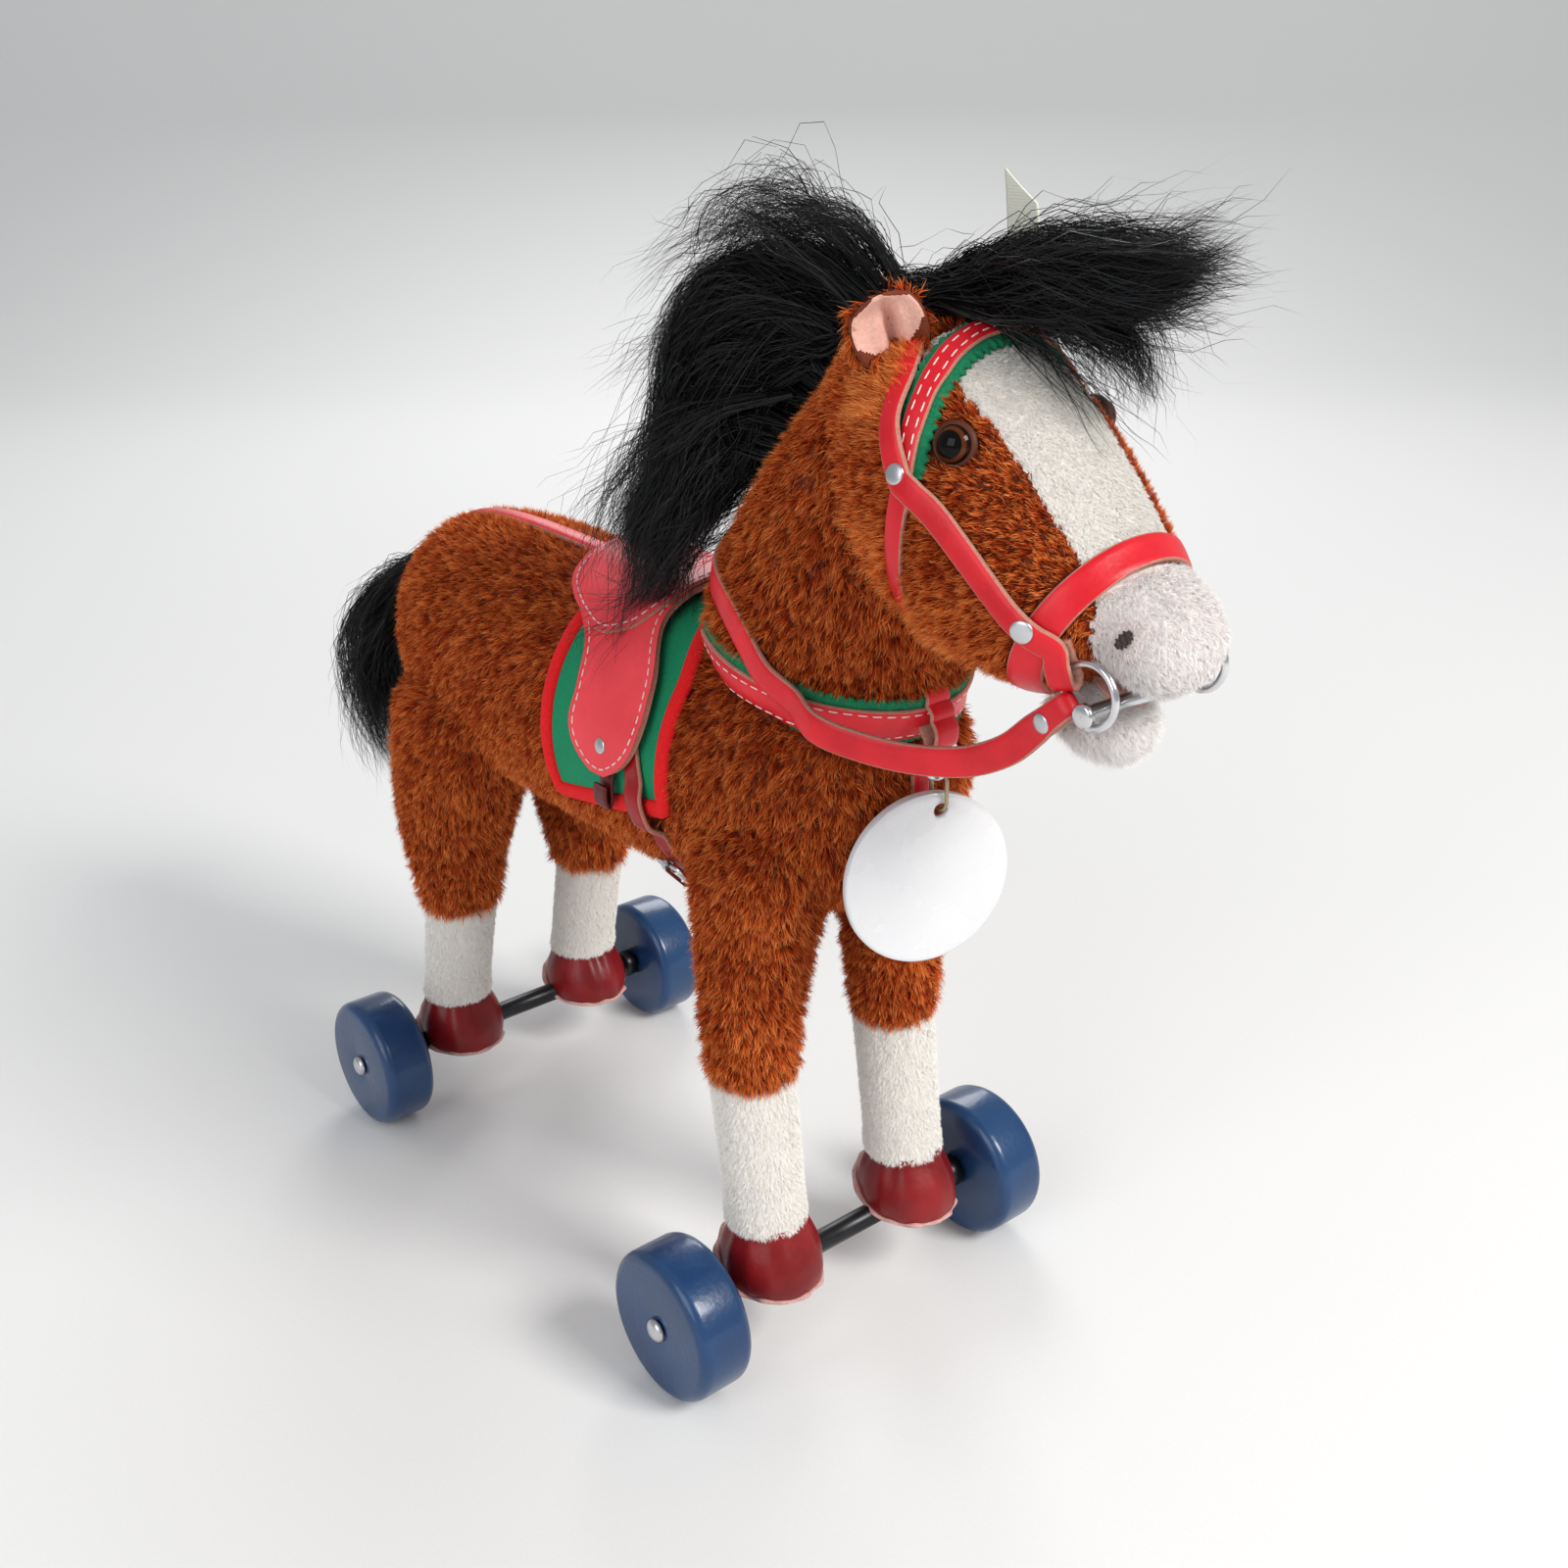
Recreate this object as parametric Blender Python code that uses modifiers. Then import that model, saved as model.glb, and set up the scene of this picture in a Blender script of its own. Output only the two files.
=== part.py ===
"""A small plush horse on four wooden wheels, with a leather bridle, saddle and breast collar.

The horse faces -Y and stands on Z = 0. Lengths are in metres.
Positions are written from the middle of the wheelbase; one empty then carries everything, so that
the origin is under the middle of the whole horse.
"""

import math

import bmesh
import bpy
from mathutils import Matrix, Vector
from mathutils.bvhtree import BVHTree

# Clearances that several pieces share
GAP = 0.0003
RUNNING_GAP = 0.0003
OVERRUN = 0.004
CAST_REACH = 0.2
TINY_MERGE = 0.00001
MIDDLE_SHIFT = 0.0176

# Undercarriage
WHEELBASE = 0.1593
FRONT_AXLE_Y = -WHEELBASE / 2
REAR_AXLE_Y = WHEELBASE / 2
WHEEL_RADIUS = 0.0200
WHEEL_WIDTH = 0.0157
WHEEL_OUTER_X = 0.0597
WHEEL_ROUND = 0.0026
AXLE_RADIUS = 0.0030
JOURNAL_RADIUS = 0.0019
COLLAR_RADIUS = 0.0044
COLLAR_WIDTH = 0.0042
CAP_RADIUS = 0.0031
CAP_HEIGHT = 0.0016
WHEEL_STEPS = 24
SHAFT_STEPS = 14

# Legs: height and sideways place of each joint between hoof, sock and leg
LEG_X = 0.0240
FRONT_HOOF_BOTTOM = 0.0198
REAR_HOOF_BOTTOM = 0.0172
HOOF_HEIGHT = 0.0190
HOOF_HALF_WIDTH = 0.0122
HOOF_HALF_LENGTH = 0.0128
SOCK_RADIUS = 0.0102
FRONT_SOCK_TOP = 0.0780
REAR_SOCK_TOP = 0.0695
FRONT_LEG_LENGTH = 0.0720
REAR_LEG_LENGTH = 0.0800
FRONT_LEG_HALF_WIDTH = 0.0150
FRONT_LEG_HALF_DEPTH = 0.0200
REAR_LEG_HALF_WIDTH = 0.0185
REAR_LEG_HALF_DEPTH = 0.0280
FRONT_LEG_LEAN = 0.0052
REAR_LEG_LEAN = -0.0085
LEG_TOP_INSET = 0.0030

# Shares along each limb: height, lean, sideways inset, half width, half depth
FRONT_LEG_SHARES = (
    (0.00, 1.00, 0.00, 0.69, 0.53),
    (0.22, 1.05, 0.10, 0.75, 0.58),
    (0.48, 0.95, 0.35, 0.86, 0.69),
    (0.75, 0.60, 0.70, 1.00, 0.90),
    (1.00, 0.20, 1.00, 1.00, 1.00),
)
REAR_LEG_SHARES = (
    (0.00, 1.00, 0.00, 0.57, 0.39),
    (0.20, 0.95, 0.10, 0.72, 0.50),
    (0.42, 1.15, 0.35, 0.92, 0.68),
    (0.70, 1.90, 0.70, 1.00, 0.90),
    (1.00, 2.50, 1.00, 1.00, 1.00),
)
# Shares along a sock: height, lean, half width
SOCK_SHARES = ((0.00, 0.10, 0.98), (0.30, 0.35, 0.99), (0.70, 0.75, 1.00), (1.00, 1.00, 1.03))
# Shares along a hoof: height, forward shift, half width, half length
HOOF_SHARES = (
    (0.00, 0.03, 1.02, 1.04), (0.30, 0.05, 1.00, 1.02), (0.72, 0.03, 0.90, 0.88), (1.00, 0.00, 0.84, 0.80),
)

# Body, from the rump forward: along, rise, half width, half height
REAR_OVERHANG = 0.01785
FRONT_OVERHANG = 0.02735
BODY_REAR_Y = REAR_AXLE_Y + REAR_OVERHANG
BODY_LENGTH = WHEELBASE + REAR_OVERHANG + FRONT_OVERHANG
BODY_AXIS_Z = 0.1510
BODY_HALF_WIDTH = 0.0338
BODY_HALF_HEIGHT = 0.0375
BODY_SHARES = (
    (0.000, 0.22, 0.46, 0.46),
    (0.045, 0.14, 0.80, 0.78),
    (0.130, 0.05, 0.99, 0.95),
    (0.260, 0.02, 1.00, 1.00),
    (0.460, 0.00, 1.00, 0.96),
    (0.670, 0.00, 1.00, 0.97),
    (0.840, 0.06, 0.99, 0.95),
    (0.945, 0.16, 0.82, 0.82),
    (1.000, 0.24, 0.50, 0.56),
)

# Neck, from the withers to the poll
NECK_BASE_BEHIND_AXLE = 0.00265
NECK_BASE_Y = FRONT_AXLE_Y + NECK_BASE_BEHIND_AXLE
NECK_BASE_Z = 0.1720
NECK_TILT = math.radians(21.8)
NECK_LENGTH = 0.1000
NECK_HALF_WIDTH = 0.0290
NECK_HALF_DEPTH = 0.0370
NECK_SHARES = (
    (0.00, 0.12, 0.93, 0.88),
    (0.18, 0.14, 0.97, 0.87),
    (0.42, 0.05, 0.92, 0.80),
    (0.66, -0.02, 0.81, 0.65),
    (0.80, -0.05, 0.70, 0.52),
    (0.89, -0.07, 0.45, 0.30),
)

# Head, from the poll to the mouth
HEAD_AHEAD_OF_AXLE = 0.03235
HEAD_Y = FRONT_AXLE_Y - HEAD_AHEAD_OF_AXLE
HEAD_Z = 0.2430
HEAD_TILT = math.radians(126.4)
HEAD_BACK = 0.0230
HEAD_LENGTH = 0.0860
HEAD_HALF_WIDTH = 0.0252
HEAD_HALF_DEPTH = 0.0258
HEAD_CORNER_SHARE = 1.05
HEAD_SHARES = (
    (0.00, -0.10, 0.50, 0.50),
    (0.12, -0.10, 0.78, 0.80),
    (0.28, -0.08, 0.95, 1.01),
    (0.48, -0.10, 1.02, 1.02),
    (0.68, -0.12, 1.00, 0.92),
    (0.85, -0.06, 0.84, 0.76),
    (0.95, 0.02, 0.72, 0.60),
    (1.00, 0.06, 0.55, 0.45),
)

# Muzzle, chin and lining, along the head's own axis
MUZZLE_START = 0.0540
MUZZLE_LENGTH = 0.0236
MUZZLE_HALF_WIDTH = 0.0133
MUZZLE_HALF_DEPTH = 0.0095
MUZZLE_RISE = 0.0095
MUZZLE_SHARES = (
    (0.00, -0.10, 1.00, 0.95),
    (0.28, 0.00, 1.04, 1.04),
    (0.58, 0.05, 0.96, 1.02),
    (0.84, 0.00, 0.82, 0.92),
    (1.00, -0.08, 0.50, 0.55),
)
CHIN_START = 0.0570
CHIN_LENGTH = 0.0218
CHIN_HALF_WIDTH = 0.0092
CHIN_HALF_DEPTH = 0.0074
CHIN_RISE = -0.0128
CHIN_SHARES = (
    (0.00, 0.10, 1.05, 0.75),
    (0.30, 0.00, 1.06, 1.00),
    (0.65, 0.00, 1.02, 1.04),
    (1.00, 0.10, 0.55, 0.60),
)
LINING_LENGTH = 0.0170
LINING_HALF_WIDTH = 0.0062
LINING_THICKNESS = 0.0010

# White panel down the face
BLAZE_TOP_HALF_WIDTH = 0.0150
BLAZE_LOW_HALF_WIDTH = 0.0122
BLAZE_START = -0.0040
BLAZE_END = 0.0620
BLAZE_TOP_FLOOR = 0.0170
BLAZE_LOW_FLOOR = 0.0098
BLAZE_CEILING = 0.0340

# Eyes and ears
EYE_RADIUS = 0.0044
EYE_ALONG = 0.0185
EYE_RISE = 0.0150
EYE_X = 0.0208
EAR_X = 0.0170
EAR_ALONG = -0.0027
EAR_RISE = 0.0138
EAR_HEIGHT = 0.0165
EAR_HALF_WIDTH = 0.0076
EAR_THICKNESS = 0.0026
EAR_CUP = 0.0034
EAR_LEAN_FORWARD = math.radians(10.0)
EAR_LEAN_OUT = math.radians(24.0)
EAR_TURN = math.radians(34.0)
EAR_SHARES = ((0.00, 0.55), (0.18, 0.82), (0.45, 1.00), (0.72, 0.94), (0.90, 0.70), (1.00, 0.34))
TAG_X = 0.0160
TAG_AHEAD_OF_AXLE = 0.03635
TAG_Y = FRONT_AXLE_Y - TAG_AHEAD_OF_AXLE
TAG_Z = 0.2693
TAG_WIDTH = 0.0085
TAG_HEIGHT = 0.0212
TAG_THICKNESS = 0.0006
TAG_SHARES = ((0.35, 0.00), (-0.65, 0.00), (-0.42, 0.70), (0.65, 1.00))

# Steel frame inside the plush
ROD_RADIUS = 0.0015
SPINE_RADIUS = 0.0013
ROD_SIDES_LEVEL = 1
EYE_PLATE_RADIUS = 0.0046
EYE_PLATE_WIDTH = 0.0050
FRONT_HOOP_Z = 0.1500
REAR_HOOP_Z = 0.1500
HOOP_SHOULDER = 0.0120

# Hair, as plain plumes: half widths and route points, from the front axle and, for the tail, the rear one
MANE_RADIUS = 0.0215
MANE_ROUTE = (
    (0.000, -0.02435, 0.2660),
    (0.001, -0.01335, 0.2720),
    (0.001, 0.00965, 0.2660),
    (-0.004, 0.02965, 0.2490),
    (-0.007, 0.04165, 0.2290),
    (-0.009, 0.05065, 0.2115),
    (-0.010, 0.05815, 0.2005),
)
MANE_SHARES = (0.30, 0.62, 0.98, 1.05, 0.90, 0.52, 0.14)
FORELOCK_RADIUS = 0.0088
FORELOCK_ROUTE = (
    (0.001, -0.03235, 0.2650),
    (0.004, -0.04535, 0.2700),
    (0.008, -0.06135, 0.2705),
    (0.011, -0.07735, 0.2695),
    (0.013, -0.09035, 0.2690),
)
FORELOCK_SHARES = (0.70, 1.00, 1.00, 0.80, 0.25)
TAIL_RADIUS = 0.0190
TAIL_ROUTE = (
    (0.000, 0.01235, 0.1690),
    (0.000, 0.02635, 0.1610),
    (-0.001, 0.03935, 0.1480),
    (-0.001, 0.04935, 0.1320),
    (-0.001, 0.05135, 0.1160),
    (0.000, 0.04635, 0.1020),
)
TAIL_SHARES = (0.22, 0.38, 0.68, 1.00, 0.95, 0.42)

# Leather thicknesses and widths
LEATHER = 0.0013
STRAP_LIFT = 0.0007
BAND_LIFT = 0.0009
REIN_LIFT = 0.0009
LAYER = BAND_LIFT + LEATHER + GAP * 3
CHEEK_WIDTH = 0.0068
HEADPIECE_SHARE = 0.75
NOSEBAND_WIDTH = 0.0064
BROWBAND_WIDTH = 0.0090
THROATLATCH_WIDTH = 0.0050
REIN_WIDTH = 0.0066
CROUP_WIDTH = 0.0062
GIRTH_WIDTH = 0.0074
COLLAR_BAND_WIDTH = 0.0125
MARTINGALE_WIDTH = 0.0056
NOSEBAND_ALONG = 0.0560
NOSEBAND_LEAN = 0.12
CHEEK_LEVEL = 0.0030
BROW_RIVET_ALONG = 0.0160
BROW_RIVET_RISE = 0.0055
BROW_CAST_SHARE = 0.45
BROW_TOP_ALONG = -0.0010
BROW_TOP_RISE = 0.0250
POLL_ALONG = -0.0125
POLL_RISE = 0.0180
THROAT_ALONG = 0.0320
THROAT_DROP = -0.0240

# Bit
BIT_BAR_RADIUS = 0.0016
BIT_HEAD_RADIUS = 0.0024
BIT_HEAD_WIDTH = 0.0014
BIT_HALF_LENGTH = 0.0186
RING_X = 0.0161
RING_RADIUS = 0.0062
RING_WIRE = 0.0008
RING_ALONG = 0.0698
RING_RISE = 0.0002
EYE_WIDTH = 0.0034
RING_EYE_SLACK = 0.0003
CHEEK_EYE_ANGLE = math.radians(250.0)
REIN_EYE_ANGLE = math.radians(200.0)
BAR_ANGLE = math.radians(140.0)
RING_EYE_RADIUS = 0.0017
EYE_OVERLAP_SHARE = 0.78

# Rein, from the front axle: slack points by the right cheek, its way over the neck, and the short left side
REIN_SLACK = (
    (-0.0166, -0.07685, 0.1920),
    (-0.0172, -0.07035, 0.1855),
    (-0.0182, -0.06035, 0.1802),
    (-0.0215, -0.04735, 0.1778),
    (-0.0262, -0.03635, 0.1786),
    (-0.0305, -0.02635, 0.1806),
)
REIN_ON_NECK = ((-0.01635, 0.1838), (-0.00885, 0.1878), (-0.00235, 0.1925), (0.00315, 0.1972))
REIN_CAST_BEHIND_AXLE = 0.00065
REIN_CAST_Y = FRONT_AXLE_Y + REIN_CAST_BEHIND_AXLE
REIN_CAST_Z = 0.1990
REIN_RISE = math.radians(14.0)
REIN_LEFT_ON_NECK = ((-0.00635, 0.1990), (-0.02035, 0.1985))
REIN_LEFT = (
    (0.0290, -0.03835, 0.1980),
    (0.0235, -0.06035, 0.1968),
    (0.0190, -0.07435, 0.1950),
)

# Breast collar, chest ring and medallion
COLLAR_AHEAD_OF_AXLE = 0.00035
COLLAR_Y = FRONT_AXLE_Y - COLLAR_AHEAD_OF_AXLE
COLLAR_Z = 0.1824
COLLAR_SLOPE = math.radians(11.3)
COLLAR_HALF_TURN = math.radians(132.0)
COLLAR_THICKNESS = 0.0016
TAB_WIDTH = 0.0085
TAB_TOP = 0.1816
TAB_EYE_Z = 0.1727
TAB_EYE_RADIUS = 0.0021
TAB_STANDOFF = 0.0018
CHEST_RING_RADIUS = 0.0046
CHEST_RING_WIRE = 0.0008
MEDALLION_RADIUS = 0.0205
MEDALLION_THICKNESS = 0.0026
MEDALLION_ROUND = 0.0006
MEDALLION_STEPS = 32
HOLE_Z = 0.1558
MEDALLION_TURN = math.radians(-16.6)
MEDALLION_LEAN = math.radians(-2.9)
MEDALLION_ROLL = math.radians(11.0)
MEDALLION_HOLE = 0.0017
HOLE_FROM_CENTRE = 0.0163
HOOK_WIRE = 0.0005
HOOK_RADIUS = 0.0024
HOOK_OVER_RING = 0.0016

# Saddle, blanket, girth, stirrups: how high each lies over the plush, and its edges
BLANKET_THICKNESS = 0.0012
PIPING_THICKNESS = 0.0030
UNDER_LAYER = STRAP_LIFT + BLANKET_THICKNESS + GAP
OVER_PIPING = STRAP_LIFT + PIPING_THICKNESS + GAP * 2
SADDLE_THICKNESS = 0.0017
SADDLE_MIDDLE_BEHIND_AXLE = 0.06365
SADDLE_MIDDLE_Y = FRONT_AXLE_Y + SADDLE_MIDDLE_BEHIND_AXLE
SADDLE_HALF_LENGTH = 0.0240
SADDLE_TURN = math.radians(91.0)
# Shares: turn from the top, rear edge, front edge
SADDLE_SHARES = (
    (0.000, 1.00, -0.88),
    (0.120, 0.98, -0.88),
    (0.240, 0.86, -0.89),
    (0.350, 0.58, -0.98),
    (0.430, 0.20, -1.14),
    (0.500, -0.06, -1.29),
    (0.600, -0.20, -1.41),
    (0.720, -0.26, -1.44),
    (0.830, -0.24, -1.38),
    (0.910, -0.32, -1.24),
    (0.970, -0.50, -1.06),
    (1.000, -0.68, -0.90),
)
BLANKET_REAR_BEHIND_AXLE = 0.07415
BLANKET_REAR_Y = FRONT_AXLE_Y + BLANKET_REAR_BEHIND_AXLE
BLANKET_FRONT_BEHIND_AXLE = 0.02265
BLANKET_FRONT_Y = FRONT_AXLE_Y + BLANKET_FRONT_BEHIND_AXLE
BLANKET_WITHERS_BEHIND_AXLE = 0.03665
BLANKET_WITHERS_Y = FRONT_AXLE_Y + BLANKET_WITHERS_BEHIND_AXLE
WITHERS_SHARE = 0.45
BLANKET_REAR_TURN = math.radians(118.0)
BLANKET_FRONT_TURN = math.radians(99.0)
BLANKET_TURN_SHARES = (0.0, 0.13, 0.26, 0.39, 0.52, 0.65, 0.78, 0.90, 0.96, 1.0)
BLANKET_LENGTH_SHARES = (0.0, 0.06, 0.30, 0.70, 0.94, 1.0)
# Girth: turn from the top and place along the back, for each point down one side
GIRTH_TURNS = tuple(
    math.radians(turn) for turn in (76, 83, 90, 96, 106.5, 111, 122, 134, 146, 157, 169, 180)
)
GIRTH_TOP_BEHIND_AXLE = 0.03565
GIRTH_TOP_Y = FRONT_AXLE_Y + GIRTH_TOP_BEHIND_AXLE
GIRTH_LOW_BEHIND_AXLE = 0.02965
GIRTH_LOW_Y = FRONT_AXLE_Y + GIRTH_LOW_BEHIND_AXLE
GIRTH_LOW_TURN = math.radians(108.0)
STIRRUP_BEHIND_AXLE = 0.04335
STIRRUP_Y = FRONT_AXLE_Y + STIRRUP_BEHIND_AXLE
STIRRUP_WIDTH = 0.0058
STIRRUP_THICKNESS = 0.0009
STIRRUP_RIVET_TURN = math.radians(83.0)
STIRRUP_DROP = 0.0140
STIRRUP_LOOP_SHARES = (
    (0.0, -0.25), (0.0, 0.08), (0.18, 0.28), (0.50, 0.48), (0.52, 0.62), (0.48, 0.84),
    (0.72, 0.97), (1.08, 1.00), (1.38, 0.84), (1.42, 0.68), (1.34, 0.54),
)
STIRRUP_LOOP_DEPTH = 0.0032
BUCKLE_TURN = math.radians(134.0)
BUCKLE_WIDTH = 0.0092
BUCKLE_LENGTH = 0.0080
BUCKLE_CORNER = 0.0015
BUCKLE_WIRE = 0.0007
PRONG_WIRE = 0.0005
PRONG_EYE_WALL = 0.0006
PRONG_EYE_WIDTH = 0.0014
CRUPPER_FIRST_BEHIND_AXLE = 0.08845
CRUPPER_FIRST_Y = FRONT_AXLE_Y + CRUPPER_FIRST_BEHIND_AXLE
CRUPPER_BEND_AHEAD_OF_AXLE = 0.01165
CRUPPER_BEND_Y = REAR_AXLE_Y - CRUPPER_BEND_AHEAD_OF_AXLE
CRUPPER_TURNS = tuple(math.radians(turn) for turn in (14, 27, 38, 47))
MARTINGALE_CAST_BEHIND_AXLE = 0.01765
MARTINGALE_CAST_Y = FRONT_AXLE_Y + MARTINGALE_CAST_BEHIND_AXLE
MARTINGALE_CAST_Z = 0.1520
MARTINGALE_START = math.radians(-14.0)
MARTINGALE_END = math.radians(101.0)

# Colours from the photograph (linear) with roughness and metallic
FINISHES = {
    "brown_plush": ((0.235, 0.062, 0.020), 0.85, 0.0),
    "cream_plush": ((0.820, 0.720, 0.560), 0.90, 0.0),
    "white_plush": ((0.860, 0.780, 0.720), 0.90, 0.0),
    "pink_felt": ((0.760, 0.400, 0.300), 0.90, 0.0),
    "black_hair": ((0.008, 0.008, 0.009), 0.45, 0.0),
    "glass_eye": ((0.020, 0.010, 0.006), 0.08, 0.0),
    "hoof_leather": ((0.180, 0.012, 0.014), 0.45, 0.0),
    "red_leather": ((0.480, 0.012, 0.020), 0.40, 0.0),
    "green_felt": ((0.000, 0.145, 0.052), 0.90, 0.0),
    "blue_paint": ((0.014, 0.048, 0.125), 0.30, 0.0),
    "black_steel": ((0.012, 0.012, 0.014), 0.40, 0.9),
    "bright_steel": ((0.620, 0.620, 0.630), 0.20, 1.0),
    "bronze_wire": ((0.350, 0.280, 0.200), 0.35, 1.0),
    "white_enamel": ((0.850, 0.850, 0.860), 0.15, 0.0),
    "woven_tape": ((0.800, 0.780, 0.640), 0.80, 0.0),
}

X_AXIS = Vector((1, 0, 0))
Y_AXIS = Vector((0, 1, 0))
Z_AXIS = Vector((0, 0, 1))


def clear_scene():
    for old in list(bpy.data.objects):
        bpy.data.objects.remove(old, do_unlink=True)


def new_collection(name):
    collection = bpy.data.collections.new(name)
    bpy.context.scene.collection.children.link(collection)
    return collection


def finish(name):
    """The material of that name, made once."""
    material = bpy.data.materials.get(name)
    if material is None:
        colour, roughness, metallic = FINISHES[name]
        material = bpy.data.materials.new(name)
        material.use_nodes = True
        shader = material.node_tree.nodes["Principled BSDF"]
        shader.inputs["Base Color"].default_value = (*colour, 1)
        shader.inputs["Roughness"].default_value = roughness
        shader.inputs["Metallic"].default_value = metallic
        material.diffuse_color = (*colour, 1)
    return material


def place(obj, finish_name):
    """Puts a finished piece among the parts, under the empty that carries them all."""
    for owner in list(obj.users_collection):
        owner.objects.unlink(obj)
    PARTS.objects.link(obj)
    obj.parent = CARRIER
    obj.data.materials.clear()
    obj.data.materials.append(finish(finish_name))
    return obj


def set_aside(obj):
    """Makes an object a cutter that the render and the finished part leave out."""
    for owner in list(obj.users_collection):
        owner.objects.unlink(obj)
    CUTTERS.objects.link(obj)
    obj.parent = CARRIER
    obj.hide_render = True
    obj.display_type = "WIRE"
    return obj


def mesh_object(name, bm, smooth=True):
    bmesh.ops.recalc_face_normals(bm, faces=bm.faces[:])
    mesh = bpy.data.meshes.new(name)
    bm.to_mesh(mesh)
    bm.free()
    if smooth:
        mesh.shade_smooth()
    obj = bpy.data.objects.new(name, mesh)
    bpy.context.scene.collection.objects.link(obj)
    return obj


def subdivide(obj, levels):
    modifier = obj.modifiers.new("smooth_form", "SUBSURF")
    modifier.levels = levels
    modifier.render_levels = levels


def boolean(obj, other, operation):
    modifier = obj.modifiers.new(operation.lower() + "_" + other.name, "BOOLEAN")
    modifier.operation = operation
    modifier.object = other
    modifier.solver = "EXACT"


def cut(obj, *cutters):
    for cutter in cutters:
        boolean(obj, cutter, "DIFFERENCE")


def room_around(obj, gap=GAP):
    """A copy of a form, grown by the gap, that cuts its neighbours back."""
    room = obj.copy()
    room.name = obj.name + "_room"
    for modifier in list(room.modifiers):
        if modifier.type == "BOOLEAN":
            room.modifiers.remove(modifier)
    grow = room.modifiers.new("grow", "DISPLACE")
    grow.direction = "NORMAL"
    grow.mid_level = 0
    grow.strength = gap
    bpy.context.scene.collection.objects.link(room)
    return set_aside(room)


def frozen(obj, name):
    """The evaluated mesh of an object as a plain mesh object in the same place."""
    bpy.context.view_layer.update()
    graph = bpy.context.evaluated_depsgraph_get()
    mesh = bpy.data.meshes.new_from_object(obj.evaluated_get(graph))
    bm = bmesh.new()
    bm.from_mesh(mesh)
    bmesh.ops.remove_doubles(bm, verts=bm.verts[:], dist=TINY_MERGE)
    bmesh.ops.recalc_face_normals(bm, faces=bm.faces[:])
    bm.to_mesh(mesh)
    bm.free()
    copy = bpy.data.objects.new(name, mesh)
    copy.matrix_world = obj.matrix_world
    bpy.context.scene.collection.objects.link(copy)
    return copy


def surface_of(*objects):
    """Search trees of the finished surfaces, for straps that lie on them."""
    bpy.context.view_layer.update()
    graph = bpy.context.evaluated_depsgraph_get()
    trees = []
    for obj in objects:
        bm = bmesh.new()
        bm.from_object(obj, graph)
        bm.transform(obj.matrix_world)
        trees.append(BVHTree.FromBMesh(bm))
        bm.free()
    return trees


def reach_of(trees, origin, direction):
    """How far from the origin the outermost of the surfaces lies in that direction."""
    far = 0
    for tree in trees:
        hit = tree.ray_cast(origin + direction * CAST_REACH, -direction, CAST_REACH)
        if hit[0] is not None:
            far = max(far, CAST_REACH - hit[3])
    return far


def add_ring(bm, points):
    return [bm.verts.new(point) for point in points]


def skin_rings(bm, rings, flat_start, flat_end):
    """Joins rings of equal count into a closed cage, and creases the ends that stay flat."""
    count = len(rings[0])
    crease = bm.edges.layers.float.new("crease_edge")
    for lower, upper in zip(rings, rings[1:]):
        for step in range(count):
            following = (step + 1) % count
            bm.faces.new((lower[step], lower[following], upper[following], upper[step]))
    for ring, flat in ((rings[0], flat_start), (rings[-1], flat_end)):
        face = bm.faces.new(ring)
        if flat:
            for edge in face.edges:
                edge[crease] = 1


def swelling_form(name, rings, levels, sides=8, corner_share=1.0, flat_start=False, flat_end=False):
    """A soft form along local Z. Each ring is (x, y, z, half width, half depth)."""
    draw_out = 3 / (2 + math.cos(math.tau / sides))
    bm = bmesh.new()
    cage = []
    for x, y, z, half_width, half_depth in rings:
        points = []
        for step in range(sides):
            turn = math.tau * step / sides
            corner = 1 + (corner_share - 1) * math.sin(turn * 2) ** 2
            across = half_width * draw_out * corner * math.cos(turn)
            deep = half_depth * draw_out * corner * math.sin(turn)
            points.append((x + across, y + deep, z))
        cage.append(add_ring(bm, points))
    skin_rings(bm, cage, flat_start, flat_end)
    obj = mesh_object(name, bm)
    subdivide(obj, levels)
    return obj


def straight_rings(shares, length, half_width, half_depth, start=0.0, rise=0.0):
    """Rings for a form whose table gives along, lift, half width and half depth as shares."""
    return [
        (0, rise + lift * half_depth, start + along * length, wide * half_width, deep * half_depth)
        for along, lift, wide, deep in shares
    ]


def from_axle(points, axle_y):
    """Points written from an axle, as places in the horse."""
    return [Vector(point) + Y_AXIS * axle_y for point in points]


def plume(name, route, radius, shares, levels):
    """A tuft of hair as one closed form: rings square to the way the route runs."""
    bm = bmesh.new()
    sides = 8
    draw_out = 3 / (2 + math.cos(math.tau / sides))
    points = [Vector(point) for point in route]
    cage = []
    for index, (point, share) in enumerate(zip(points, shares)):
        ahead = points[min(index + 1, len(points) - 1)]
        behind = points[max(index - 1, 0)]
        along = (ahead - behind).normalized()
        across = X_AXIS - along * along.dot(X_AXIS)
        across.normalize()
        deep = along.cross(across)
        ring = []
        for step in range(sides):
            turn = math.tau * step / sides
            spoke = across * math.cos(turn) + deep * math.sin(turn)
            ring.append(point + spoke * radius * share * draw_out)
        cage.append(add_ring(bm, ring))
    skin_rings(bm, cage, False, False)
    obj = mesh_object(name, bm)
    subdivide(obj, levels)
    return obj


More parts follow.
